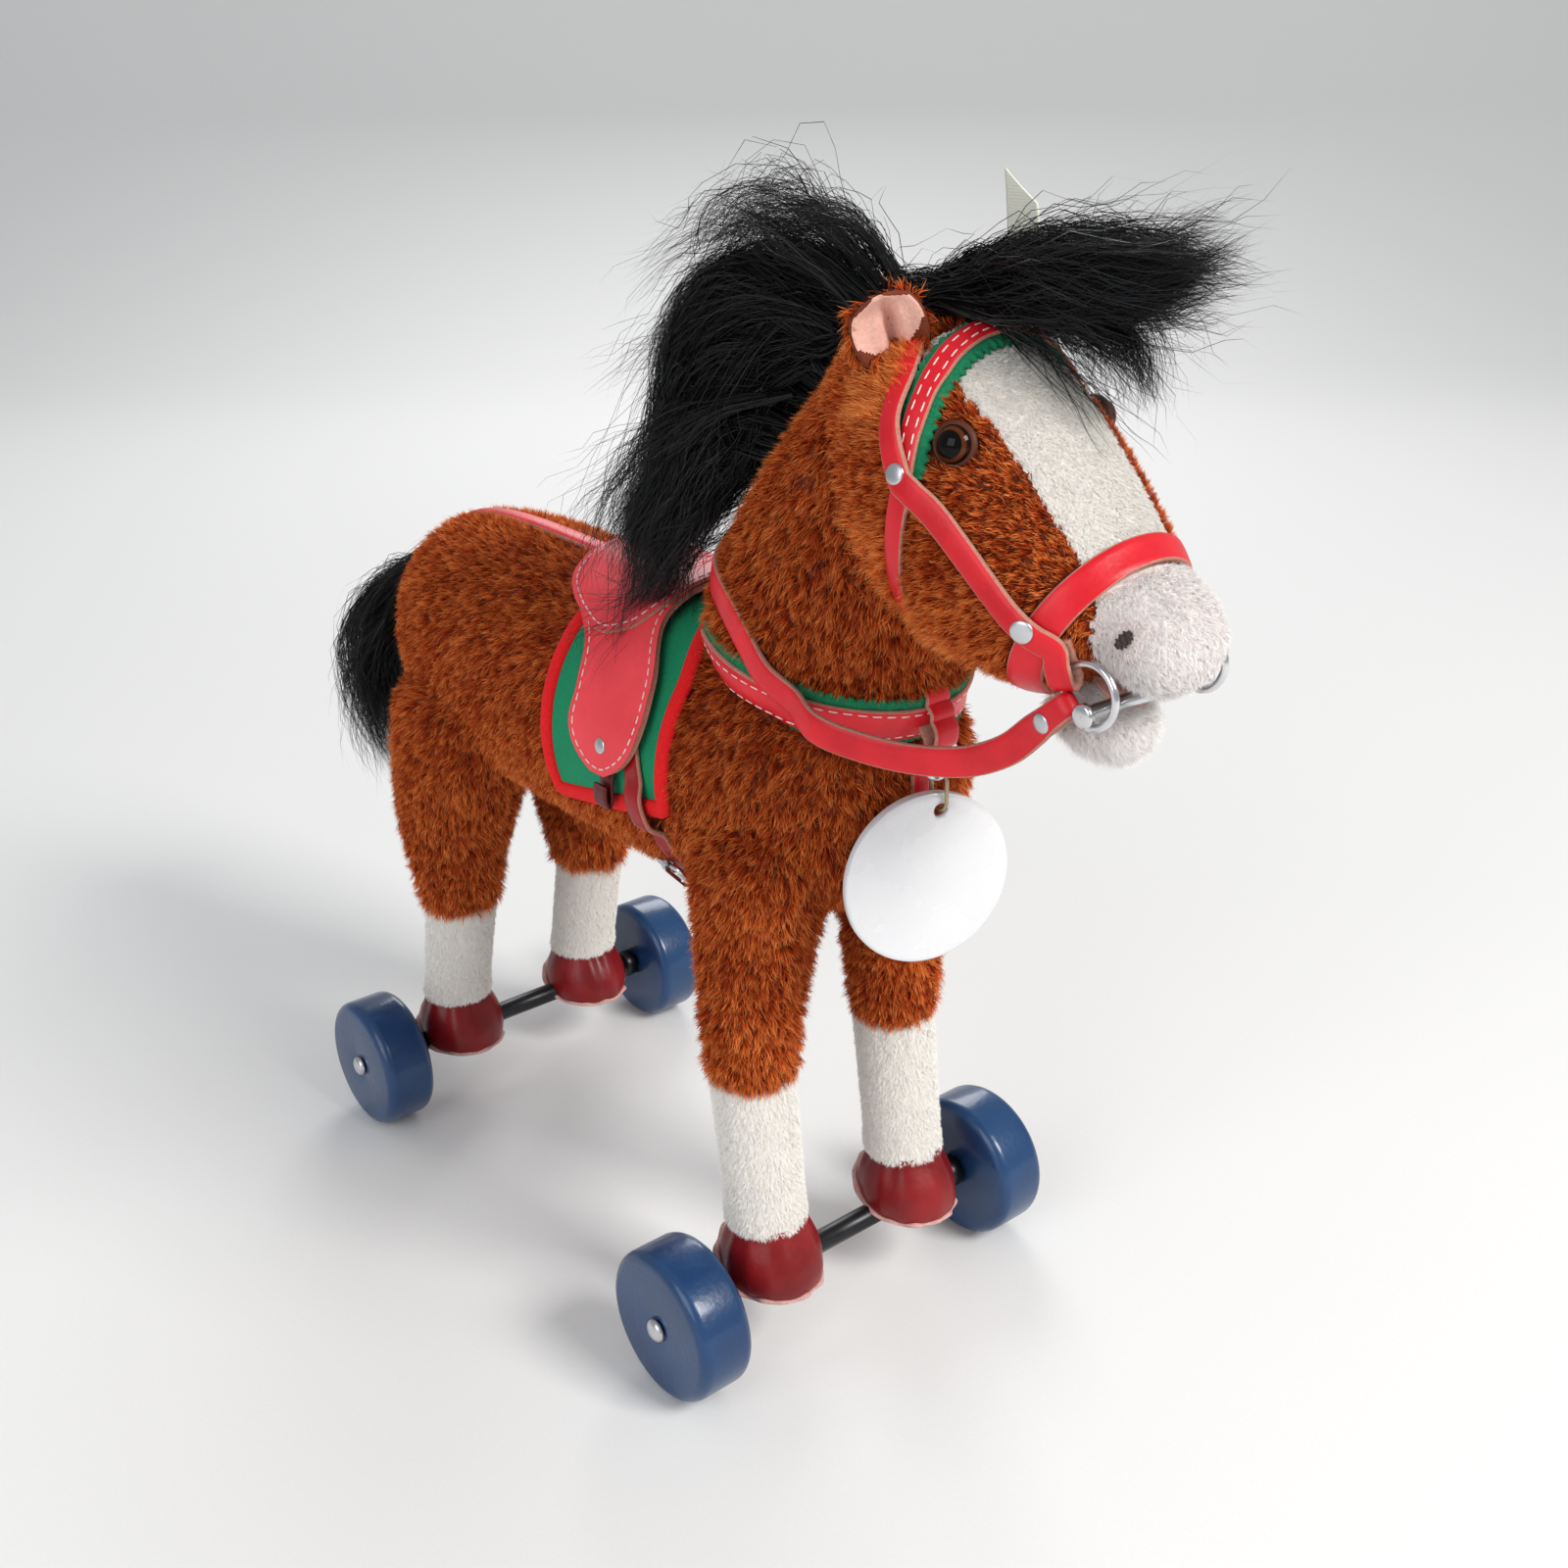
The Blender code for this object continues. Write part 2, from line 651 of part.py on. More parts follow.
def turned(name, profile, steps):
    """A profile of (radius, height), turned about local Z."""
    mesh = bpy.data.meshes.new(name)
    points = [(radius, 0, height) for radius, height in profile]
    closed = profile[0][0] > 0 and profile[-1][0] > 0
    edges = [(index, index + 1) for index in range(len(points) - 1)]
    if closed:
        edges.append((len(points) - 1, 0))
    mesh.from_pydata(points, edges, [])
    obj = bpy.data.objects.new(name, mesh)
    bpy.context.scene.collection.objects.link(obj)
    screw = obj.modifiers.new("turn", "SCREW")
    screw.axis = "Z"
    screw.steps = steps
    screw.render_steps = steps
    screw.use_merge_vertices = True
    screw.merge_threshold = TINY_MERGE
    screw.use_smooth_shade = True
    return obj


def tube(name, points, radius, sides_level=1, closed=False):
    """A round wire or rod along points, as a mesh."""
    curve = bpy.data.curves.new(name, "CURVE")
    curve.dimensions = "3D"
    curve.bevel_depth = radius
    curve.bevel_resolution = sides_level
    curve.use_fill_caps = True
    spline = curve.splines.new("POLY")
    spline.points.add(len(points) - 1)
    for slot, point in zip(spline.points, points):
        slot.co = (*point, 1)
    spline.use_cyclic_u = closed
    wire = bpy.data.objects.new(name + "_line", curve)
    bpy.context.scene.collection.objects.link(wire)
    obj = frozen(wire, name)
    bpy.data.objects.remove(wire)
    obj.data.shade_smooth()
    return obj


def ribbon(name, rows, thickness, closed=False):
    """A strap from rows of points across it, thickened away from what it lies on."""
    bm = bmesh.new()
    grid = [add_ring(bm, row) for row in rows]
    pairs = list(zip(grid, grid[1:]))
    if closed:
        pairs.append((grid[-1], grid[0]))
    for lower, upper in pairs:
        for step in range(len(lower) - 1):
            bm.faces.new((lower[step], lower[step + 1], upper[step + 1], upper[step]))
    mesh = bpy.data.meshes.new(name)
    bm.to_mesh(mesh)
    bm.free()
    mesh.shade_smooth()
    obj = bpy.data.objects.new(name, mesh)
    bpy.context.scene.collection.objects.link(obj)
    shell = obj.modifiers.new("leather", "SOLIDIFY")
    shell.thickness = thickness
    shell.offset = 1
    shell.use_even_offset = True
    return obj


def cast_row(trees, origin, outward, across, width, lift, columns=3):
    """Points across a strap, each laid on the outermost surface with a lift."""
    middle = reach_of(trees, origin, outward)
    row = []
    for column in range(columns):
        share = column / (columns - 1) * 2 - 1
        start = origin + across * (share * width / 2)
        reach = reach_of(trees, start, outward)
        if reach == 0:
            reach = middle
        row.append(start + outward * (reach + lift))
    return row


def flat_row(centre, across, width):
    return [centre - across * (width / 2), centre, centre + across * (width / 2)]


def on_head(x, rise, along):
    """A point given in the head's own measure: sideways, out of the face, and towards the mouth."""
    return HEAD_FRAME @ Vector((x, rise, along))


def outward_turn(turn, up, side=X_AXIS):
    return side * math.sin(turn) + up * math.cos(turn)


clear_scene()
PARTS = new_collection("plush_pull_along_horse")
CUTTERS = new_collection("cutters")
CARRIER = bpy.data.objects.new("horse_carrier", None)
PARTS.objects.link(CARRIER)
HEAD_FRAME = Matrix.Translation((0, HEAD_Y, HEAD_Z)) @ Matrix.Rotation(HEAD_TILT, 4, "X")
HEAD_ALONG = (HEAD_FRAME.to_3x3() @ Z_AXIS).normalized()
HEAD_UP = (HEAD_FRAME.to_3x3() @ Y_AXIS).normalized()
AXLES = {"front": FRONT_AXLE_Y, "rear": REAR_AXLE_Y}
SIDES = {"right": -1, "left": 1}


def make_wheels():
    """Turned wooden wheels with rounded rims, a flat facet down, and domed caps over the axle ends."""
    tread = WHEEL_RADIUS / math.cos(math.pi / WHEEL_STEPS)
    bore = JOURNAL_RADIUS + RUNNING_GAP
    half = WHEEL_WIDTH / 2
    corner = WHEEL_ROUND * (1 - math.sqrt(1 / 2))
    profile = (
        (bore, half),
        (tread - WHEEL_ROUND, half),
        (tread - corner, half - corner),
        (tread, half - WHEEL_ROUND),
        (tread, -half + WHEEL_ROUND),
        (tread - corner, -half + corner),
        (tread - WHEEL_ROUND, -half),
        (bore, -half),
    )
    cap = (
        (0, CAP_HEIGHT),
        (CAP_RADIUS / 2, CAP_HEIGHT * 7 / 8),
        (CAP_RADIUS * 7 / 8, CAP_HEIGHT / 2),
        (CAP_RADIUS, 0),
        (0, 0),
    )
    for end, axle_y in AXLES.items():
        for side, sign in SIDES.items():
            name = end + "_" + side
            wheel = turned("wheel_" + name, profile, WHEEL_STEPS)
            facet_down = Matrix.Rotation(math.pi / WHEEL_STEPS, 4, "Z")
            wheel.data.transform(facet_down)
            wheel.rotation_euler = (0, sign * math.pi / 2, 0)
            wheel.location = (sign * (WHEEL_OUTER_X - half), axle_y, WHEEL_RADIUS)
            place(wheel, "blue_paint")
            dome = turned("axle_cap_" + name, cap, SHAFT_STEPS)
            dome.rotation_euler = (0, sign * math.pi / 2, 0)
            dome.location = (sign * (WHEEL_OUTER_X + GAP), axle_y, WHEEL_RADIUS)
            place(dome, "bright_steel")


def make_axles():
    """Steel axles: thick between the legs, a collar inside each wheel, thin journals through the wheels."""
    end = WHEEL_OUTER_X
    shoulder = WHEEL_OUTER_X - WHEEL_WIDTH - RUNNING_GAP
    profile = (
        (0, end),
        (JOURNAL_RADIUS, end),
        (JOURNAL_RADIUS, shoulder),
        (COLLAR_RADIUS, shoulder),
        (COLLAR_RADIUS, shoulder - COLLAR_WIDTH),
        (AXLE_RADIUS, shoulder - COLLAR_WIDTH),
        (AXLE_RADIUS, COLLAR_WIDTH - shoulder),
        (COLLAR_RADIUS, COLLAR_WIDTH - shoulder),
        (COLLAR_RADIUS, -shoulder),
        (JOURNAL_RADIUS, -shoulder),
        (JOURNAL_RADIUS, -end),
        (0, -end),
    )
    rooms = {}
    for place_name, axle_y in AXLES.items():
        axle = turned("axle_" + place_name, profile, SHAFT_STEPS)
        axle.rotation_euler = (0, math.pi / 2, 0)
        axle.location = (0, axle_y, WHEEL_RADIUS)
        place(axle, "black_steel")
        half = LEG_X + HOOF_HALF_WIDTH + OVERRUN
        radius = AXLE_RADIUS + GAP
        room_profile = ((0, half), (radius, half), (radius, -half), (0, -half))
        room = turned("axle_room_" + place_name, room_profile, SHAFT_STEPS)
        room.rotation_euler = (0, math.pi / 2, 0)
        room.location = (0, axle_y, WHEEL_RADIUS)
        rooms[place_name] = set_aside(room)
    return rooms


def rod_route(place_name, side_sign):
    """Points up one leg of the inner frame, from the axle to the hoop over the belly."""
    axle_y = AXLES[place_name]
    if place_name == "front":
        lean, top, hoop = FRONT_LEG_LEAN, FRONT_SOCK_TOP, FRONT_HOOP_Z
        end_lean = 0
    else:
        lean, top, hoop = REAR_LEG_LEAN, REAR_SOCK_TOP, REAR_HOOP_Z
        end_lean = 2 * REAR_LEG_LEAN
    x = side_sign * LEG_X
    inner = side_sign * (LEG_X - LEG_TOP_INSET)
    return [
        Vector((x, axle_y, WHEEL_RADIUS + (AXLE_RADIUS + GAP + EYE_PLATE_RADIUS) / 2)),
        Vector((x, axle_y, WHEEL_RADIUS + HOOF_HEIGHT)),
        Vector((x, axle_y + lean, top)),
        Vector((inner, axle_y + lean + end_lean / 2, (top + hoop) / 2)),
        Vector((inner, axle_y + lean + end_lean, hoop - HOOP_SHOULDER)),
        Vector((side_sign * HOOP_SHOULDER, axle_y + lean + end_lean, hoop)),
    ]


def make_inner_frame():
    """Two bent hoops joined by a spine rod, with an eye at each foot for the axle."""
    pieces = []
    rooms = []
    hoop_ys = []
    for place_name in AXLES:
        right = rod_route(place_name, -1)
        left = rod_route(place_name, 1)
        route = right + left[::-1]
        hoop_ys.append(right[-1])
        pieces.append(tube("hoop_" + place_name, route, ROD_RADIUS, ROD_SIDES_LEVEL))
        rooms.append(tube("hoop_room_" + place_name, route, ROD_RADIUS + GAP, ROD_SIDES_LEVEL))
        for sign in SIDES.values():
            half = EYE_PLATE_WIDTH / 2
            bore = AXLE_RADIUS + GAP
            outer = EYE_PLATE_RADIUS
            ring_profile = ((bore, half), (outer, half), (outer, -half), (bore, -half))
            plate = turned("foot_eye", ring_profile, SHAFT_STEPS)
            plate.rotation_euler = (0, math.pi / 2, 0)
            plate.location = (sign * LEG_X, AXLES[place_name], WHEEL_RADIUS)
            pieces.append(plate)
            half += GAP
            outer += GAP
            room_profile = ((0, half), (outer, half), (outer, -half), (0, -half))
            plate_room = turned("foot_eye_room", room_profile, SHAFT_STEPS)
            plate_room.rotation_euler = (0, math.pi / 2, 0)
            plate_room.location = plate.location
            rooms.append(plate_room)
    front = Vector((0, hoop_ys[0].y, FRONT_HOOP_Z))
    rear = Vector((0, hoop_ys[1].y, REAR_HOOP_Z))
    pieces.append(tube("spine", [front, rear], SPINE_RADIUS, ROD_SIDES_LEVEL))
    beyond = Y_AXIS * GAP
    spine_room = [front - beyond, rear + beyond]
    rooms.append(tube("spine_room", spine_room, SPINE_RADIUS + GAP * 2, ROD_SIDES_LEVEL))
    frame = pieces[0]
    frame.name = "inner_frame"
    for piece in pieces[1:]:
        boolean(frame, piece, "UNION")
        set_aside(piece)
    place(frame, "black_steel")
    for room in rooms:
        set_aside(room)
    return frame, rooms


def make_legs(frame_rooms, axle_rooms):
    """Hooves, socks and upper legs, each ending flat on the next."""
    legs = []
    for place_name, axle_y in AXLES.items():
        front = place_name == "front"
        lean = FRONT_LEG_LEAN if front else REAR_LEG_LEAN
        sock_top = FRONT_SOCK_TOP if front else REAR_SOCK_TOP
        length = FRONT_LEG_LENGTH if front else REAR_LEG_LENGTH
        half_width = FRONT_LEG_HALF_WIDTH if front else REAR_LEG_HALF_WIDTH
        half_depth = FRONT_LEG_HALF_DEPTH if front else REAR_LEG_HALF_DEPTH
        shares = FRONT_LEG_SHARES if front else REAR_LEG_SHARES
        for side, sign in SIDES.items():
            name = place_name + "_" + side
            hoof_bottom = FRONT_HOOF_BOTTOM if front else REAR_HOOF_BOTTOM
            hoof_top = hoof_bottom + HOOF_HEIGHT
            hoof_rings = [
                (
                    0,
                    -ahead * HOOF_HALF_LENGTH,
                    up * HOOF_HEIGHT,
                    wide * HOOF_HALF_WIDTH,
                    deep * HOOF_HALF_LENGTH,
                )
                for up, ahead, wide, deep in HOOF_SHARES
            ]
            hoof = swelling_form("hoof_" + name, hoof_rings, 1, flat_start=True, flat_end=True)
            hoof.location = (sign * LEG_X, axle_y, hoof_bottom)
            place(hoof, "hoof_leather")
            sock_height = sock_top - hoof_top - GAP
            sock_rings = [
                (0, lean_share * lean, up * sock_height, wide * SOCK_RADIUS, wide * SOCK_RADIUS)
                for up, lean_share, wide in SOCK_SHARES
            ]
            sock = swelling_form("sock_" + name, sock_rings, 1, flat_start=True, flat_end=True)
            sock.location = (sign * LEG_X, axle_y, hoof_top + GAP)
            place(sock, "cream_plush")
            leg_rings = [
                (
                    -sign * inset * LEG_TOP_INSET,
                    lean_share * lean,
                    up * length,
                    wide * half_width,
                    deep * half_depth,
                )
                for up, lean_share, inset, wide, deep in shares
            ]
            leg = swelling_form("leg_" + name, leg_rings, 1, flat_start=True)
            leg.location = (sign * LEG_X, axle_y, sock_top + GAP)
            place(leg, "brown_plush")
            hoop = frame_rooms[0 if front else 3]
            plate = frame_rooms[(1 if front else 4) + (0 if sign < 0 else 1)]
            cut(hoof, axle_rooms[place_name], plate, hoop)
            cut(sock, hoop)
            legs.append((leg, hoop))
    return legs


def make_trunk(frame_rooms, legs):
    """Body, then the neck and legs cut back to it."""
    body = swelling_form(
        "body",
        straight_rings(BODY_SHARES, BODY_LENGTH, BODY_HALF_WIDTH, BODY_HALF_HEIGHT),
        1,
        sides=12,
    )
    body.rotation_euler = (math.pi / 2, 0, 0)
    body.location = (0, BODY_REAR_Y, BODY_AXIS_Z)
    place(body, "brown_plush")
    body_room = room_around(body)
    cut(body, frame_rooms[0], frame_rooms[3], frame_rooms[6])
    neck = swelling_form(
        "neck",
        straight_rings(NECK_SHARES, NECK_LENGTH, NECK_HALF_WIDTH, NECK_HALF_DEPTH),
        1,
        sides=12,
    )
    neck.rotation_euler = (NECK_TILT, 0, 0)
    neck.location = (0, NECK_BASE_Y, NECK_BASE_Z)
    place(neck, "brown_plush")
    neck_room = room_around(neck)
    cut(neck, body_room)
    for leg, hoop in legs:
        cut(leg, body_room, hoop)
    return body, neck, body_room, neck_room


def make_head(neck_room):
    """Head with its face panel, muzzle, chin, mouth lining, eyes and ears."""
    head = swelling_form(
        "head",
        straight_rings(HEAD_SHARES, HEAD_LENGTH, HEAD_HALF_WIDTH, HEAD_HALF_DEPTH, start=-HEAD_BACK),
        1,
        sides=12,
        corner_share=HEAD_CORNER_SHARE,
    )
    head.matrix_basis = HEAD_FRAME
    place(head, "brown_plush")
    head_room = room_around(head)
    plain = surface_of(head)

    blaze = frozen(head, "face_blaze")
    place(blaze, "cream_plush")
    boolean(blaze, set_aside(blaze_wedge("blaze_wedge", 0)), "INTERSECT")
    cut(blaze, neck_room)
    cut(head, neck_room, set_aside(blaze_wedge("blaze_room", GAP)))

    muzzle = swelling_form(
        "muzzle",
        straight_rings(
            MUZZLE_SHARES, MUZZLE_LENGTH, MUZZLE_HALF_WIDTH, MUZZLE_HALF_DEPTH, MUZZLE_START, MUZZLE_RISE
        ),
        1,
        sides=10,
    )
    muzzle.matrix_basis = HEAD_FRAME
    place(muzzle, "white_plush")
    muzzle_room = room_around(muzzle)
    plain += surface_of(muzzle)
    cut(muzzle, head_room)
    chin = swelling_form(
        "chin",
        straight_rings(CHIN_SHARES, CHIN_LENGTH, CHIN_HALF_WIDTH, CHIN_HALF_DEPTH, CHIN_START, CHIN_RISE),
        1,
    )
    chin.matrix_basis = HEAD_FRAME
    place(chin, "white_plush")
    chin_room = room_around(chin)
    cut(chin, head_room, muzzle_room)

    lining_rings = [
        (
            0,
            CHIN_RISE + CHIN_HALF_DEPTH,
            CHIN_START + share * LINING_LENGTH,
            LINING_HALF_WIDTH,
            LINING_THICKNESS,
        )
        for share in (0, 1 / 2, 1)
    ]
    lining = swelling_form("mouth_lining", lining_rings, 1)
    lining.matrix_basis = HEAD_FRAME
    place(lining, "pink_felt")
    cut(lining, head_room, chin_room)

    for side, sign in SIDES.items():
        eye_mesh = bmesh.new()
        bmesh.ops.create_uvsphere(eye_mesh, u_segments=12, v_segments=8, radius=EYE_RADIUS)
        eye = mesh_object("eye_" + side, eye_mesh)
        eye.location = on_head(sign * EYE_X, EYE_RISE, EYE_ALONG)
        place(eye, "glass_eye")
        cut(head, room_around(eye))
        ear = make_ear(side, sign)
        cut(ear, head_room, neck_room)
    return head, head_room, plain


def blaze_wedge(name, gap):
    """A tapering wedge over the face that marks the white panel."""
    bm = bmesh.new()
    rings = []
    for along, half_width, floor in (
        (BLAZE_START - gap, BLAZE_TOP_HALF_WIDTH + gap, BLAZE_TOP_FLOOR - gap),
        (BLAZE_END + gap, BLAZE_LOW_HALF_WIDTH + gap, BLAZE_LOW_FLOOR - gap),
    ):
        top = BLAZE_CEILING
        corners = ((-half_width, floor), (half_width, floor), (half_width, top), (-half_width, top))
        rings.append(add_ring(bm, [on_head(x, rise, along) for x, rise in corners]))
    skin_rings(bm, rings, False, False)
    return mesh_object(name, bm, smooth=False)


def make_ear(side, sign):
    """A cupped leaf of plush with its felt lining, open to the front."""
    rows = []
    for up, wide in EAR_SHARES:
        row = []
        for column in (-1, -1 / 2, 0, 1 / 2, 1):
            across = column * wide * EAR_HALF_WIDTH
            hollow = (1 - column * column) * wide * EAR_CUP
            row.append(Vector((across, hollow, up * EAR_HEIGHT)))
        rows.append(row)
    ear = ribbon("ear_" + side, rows, EAR_THICKNESS)
    ear.location = on_head(sign * EAR_X, EAR_RISE, EAR_ALONG)
    ear.rotation_euler = (EAR_LEAN_FORWARD, sign * EAR_LEAN_OUT, sign * EAR_TURN)
    return place(ear, "brown_plush")


def make_tag():
    """A strip of woven tape with a slanted end, standing on the left ear."""
    bm = bmesh.new()
    sheets = []
    for offset in (-TAG_THICKNESS / 2, TAG_THICKNESS / 2):
        sheets.append(add_ring(bm, [(offset, wide * TAG_WIDTH, up * TAG_HEIGHT) for wide, up in TAG_SHARES]))
    skin_rings(bm, sheets, False, False)
    tag = mesh_object("ear_tag", bm, smooth=False)
    tag.location = (TAG_X, TAG_Y, TAG_Z)
    place(tag, "woven_tape")
    return tag


def make_hair(body_room, neck_room, head_room):
    mane_route = from_axle(MANE_ROUTE, FRONT_AXLE_Y)
    mane = place(plume("mane", mane_route, MANE_RADIUS, MANE_SHARES, 1), "black_hair")
    cut(mane, neck_room, head_room)
    forelock_route = from_axle(FORELOCK_ROUTE, FRONT_AXLE_Y)
    forelock = plume("forelock", forelock_route, FORELOCK_RADIUS, FORELOCK_SHARES, 1)
    place(forelock, "black_hair")
    mane_room = room_around(mane)
    cut(forelock, head_room, mane_room)
    tail_route = from_axle(TAIL_ROUTE, REAR_AXLE_Y)
    tail = place(plume("tail", tail_route, TAIL_RADIUS, TAIL_SHARES, 1), "black_hair")
    cut(tail, body_room)
    return mane, forelock


def head_strap(name, trees, base, up, across, width, lift, turns, closed=False):
    """A strap round the head in one plane: turn is counted from up towards the horse's left."""
    rows = [cast_row(trees, base, outward_turn(turn, up), across, width, lift) for turn in turns]
    return place(ribbon(name, rows, LEATHER, closed), "red_leather")


def spread(start, end, count):
    return [start + (end - start) * step / (count - 1) for step in range(count)]


def make_bridle(trees):
    """Noseband, browband and throatlatch under the one long headstall strap."""
    nose_up = (HEAD_UP - HEAD_ALONG * NOSEBAND_LEAN).normalized()
    ring = head_strap(
        "noseband",
        trees,
        on_head(0, 0, NOSEBAND_ALONG),
        nose_up,
        X_AXIS.cross(nose_up),
        NOSEBAND_WIDTH,
        BAND_LIFT,
        spread(0, math.tau, 25)[:-1],
        closed=True,
    )
    top = on_head(0, BROW_TOP_RISE, BROW_TOP_ALONG)
    rivet = on_head(0, BROW_RIVET_RISE, BROW_RIVET_ALONG)
    brow_up = (top - rivet).normalized()
    brow_base = rivet.lerp(top, -BROW_CAST_SHARE)
    head_strap(
        "browband", trees, brow_base, brow_up, X_AXIS.cross(brow_up), BROWBAND_WIDTH, BAND_LIFT,
        spread(math.radians(-66), math.radians(66), 17),
    )
    throat = on_head(0, THROAT_DROP, THROAT_ALONG)
    throat_down = (throat - rivet).normalized()
    head_strap(
        "throatlatch",
        trees,
        rivet.lerp(throat, 1 / 3),
        throat_down,
        X_AXIS.cross(throat_down),
        THROATLATCH_WIDTH,
        BAND_LIFT,
        spread(math.radians(-108), math.radians(108), 17),
    )
    return ring


def make_headstall(trees, ring_rooms):
    """One strap from ring to ring: up the cheek, behind the ear and over the poll."""
    poll_base = on_head(0, 0, POLL_ALONG)
    rows = []
    eyes = []
    cheek = (
        (NOSEBAND_ALONG + NOSEBAND_WIDTH * 3 / 5, CHEEK_LEVEL, LAYER),
        (NOSEBAND_ALONG, CHEEK_LEVEL, LAYER),
        (NOSEBAND_ALONG - NOSEBAND_WIDTH * 3 / 5, CHEEK_LEVEL, LAYER),
        (NOSEBAND_ALONG - NOSEBAND_WIDTH * 3 / 2, CHEEK_LEVEL, STRAP_LIFT),
        (NOSEBAND_ALONG / 2, BROW_RIVET_RISE, (STRAP_LIFT + LAYER) / 2),
        (BROW_RIVET_ALONG + BROWBAND_WIDTH / 2, BROW_RIVET_RISE, LAYER),
        (BROW_RIVET_ALONG, BROW_RIVET_RISE, LAYER),
    )
    for sign in (-1, 1):
        half = []
        side = X_AXIS * sign
        around = ring_offset(CHEEK_EYE_ANGLE + math.pi / 2, 1)
        wire = on_head(sign * RING_X, RING_RISE, RING_ALONG) + ring_offset(CHEEK_EYE_ANGLE, RING_RADIUS)
        eyes.append(strap_eye("cheek_eye", wire, around, EYE_WIDTH, RING_EYE_RADIUS))
        tip = wire - side * (LEATHER / 2) + ring_offset(CHEEK_EYE_ANGLE, RING_EYE_RADIUS * EYE_OVERLAP_SHARE)
        half.append(flat_row(tip, around, EYE_WIDTH))
        for along, level, lift in cheek:
            half.append(cast_row(trees, on_head(0, level, along), side, HEAD_UP, CHEEK_WIDTH, lift))
        for turn_share in (0.80, 0.62, 0.45, 0.30, 0.15):
            turn = turn_share * math.pi / 2
            outward = outward_turn(turn, HEAD_UP, side)
            blend = 1 - turn_share
            back = BROW_RIVET_ALONG + (POLL_ALONG - BROW_RIVET_ALONG) * min(1, blend * 8 / 5)
            base = on_head(0, POLL_RISE * blend / 2, back)
            across = HEAD_ALONG * blend + HEAD_UP * (turn_share * 4 / 5)
            across = (across - outward * across.dot(outward)).normalized()
            half.append(cast_row(trees, base, outward, across, CHEEK_WIDTH * HEADPIECE_SHARE, LAYER))
        if sign < 0:
            rows += half
            rows.append(
                cast_row(trees, poll_base, HEAD_UP, HEAD_ALONG, CHEEK_WIDTH * HEADPIECE_SHARE, LAYER)
            )
        else:
            rows += half[::-1]
    strap = ribbon("headstall", rows, LEATHER)
    for eye in eyes:
        boolean(strap, eye, "UNION")
    cut(strap, *ring_rooms)
    return place(strap, "red_leather")


def strap_eye(name, centre, axis, width, radius):
    """A short round sleeve that joins a strap's end, for the wire that will be cut through it."""
    half = width / 2
    sleeve = turned(name, ((0, half), (radius, half), (radius, -half), (0, -half)), 12)
    sleeve.rotation_euler = axis.to_track_quat("Z", "Y").to_euler()
    sleeve.location = centre
    return set_aside(sleeve)


def ring_offset(angle, radius):
    """From a bit ring's centre to its wire: angle 0 is out of the face, 90 degrees towards the mouth."""
    return (HEAD_UP * math.cos(angle) + HEAD_ALONG * math.sin(angle)) * radius


def make_bit():
    """Round bar with flat heads, through the mouth and both rings."""
    rings = {}
    inner = RING_RADIUS - RING_WIRE
    offset = ring_offset(BAR_ANGLE, inner - BIT_BAR_RADIUS - GAP)
    bar_place = on_head(0, RING_RISE, RING_ALONG) + offset
    head = BIT_HALF_LENGTH - BIT_HEAD_WIDTH
    profile = (
        (0, BIT_HALF_LENGTH),
        (BIT_HEAD_RADIUS, BIT_HALF_LENGTH),
        (BIT_HEAD_RADIUS, head),
        (BIT_BAR_RADIUS, head),
        (BIT_BAR_RADIUS, -head),
        (BIT_HEAD_RADIUS, -head),
        (BIT_HEAD_RADIUS, -BIT_HALF_LENGTH),
        (0, -BIT_HALF_LENGTH),
    )
    bar = turned("bit_bar", profile, 12)
    bar.rotation_euler = (0, math.pi / 2, 0)
    bar.location = bar_place
    place(bar, "bright_steel")
    for side, sign in SIDES.items():
        points = [
            on_head(sign * RING_X, RING_RISE, RING_ALONG) + ring_offset(math.tau * step / 20, RING_RADIUS)
            for step in range(20)
        ]
        ring = tube("bit_ring_" + side, points, RING_WIRE, 1, closed=True)
        place(ring, "bright_steel")
        rings[side] = ring
        room = tube("bit_ring_room_" + side, points, RING_WIRE + RING_EYE_SLACK, 1, closed=True)
        rings[side + "_room"] = set_aside(room)
    return rings


def settle_bridle(headstall, forelock):
    """Cuts back what the straps press into: ears, forelock, chin, and the browband by the eyes."""
    browband_room = room_around(bpy.data.objects["browband"])
    noseband_room = room_around(bpy.data.objects["noseband"])
    headstall_room = room_around(headstall)
    cut(forelock, browband_room, headstall_room)
    cut(bpy.data.objects["chin"], noseband_room)
    for side in SIDES:
        cut(bpy.data.objects["ear_" + side], headstall_room)
        cut(bpy.data.objects["browband"], bpy.data.objects["eye_" + side + "_room"])


def laid_row(trees, base, outward, along, width, lift):
    """A flat row across a strap, resting on the highest of what lies under it."""
    across = along.cross(outward).normalized()
    reach = 0
    for share in (-1 / 2, -1 / 4, 0, 1 / 4, 1 / 2):
        reach = max(reach, reach_of(trees, base + across * (share * width), outward))
    return flat_row(base + outward * (reach + lift), across, width)


def rows_along(points, outwards, width):
    """Rows across a strap that hangs free along the points."""
    rows = []
    for index, (point, outward) in enumerate(zip(points, outwards)):
        ahead = points[min(index + 1, len(points) - 1)]
        behind = points[max(index - 1, 0)]
        across = (ahead - behind).cross(outward).normalized()
        rows.append(flat_row(point, across, width))
    return rows


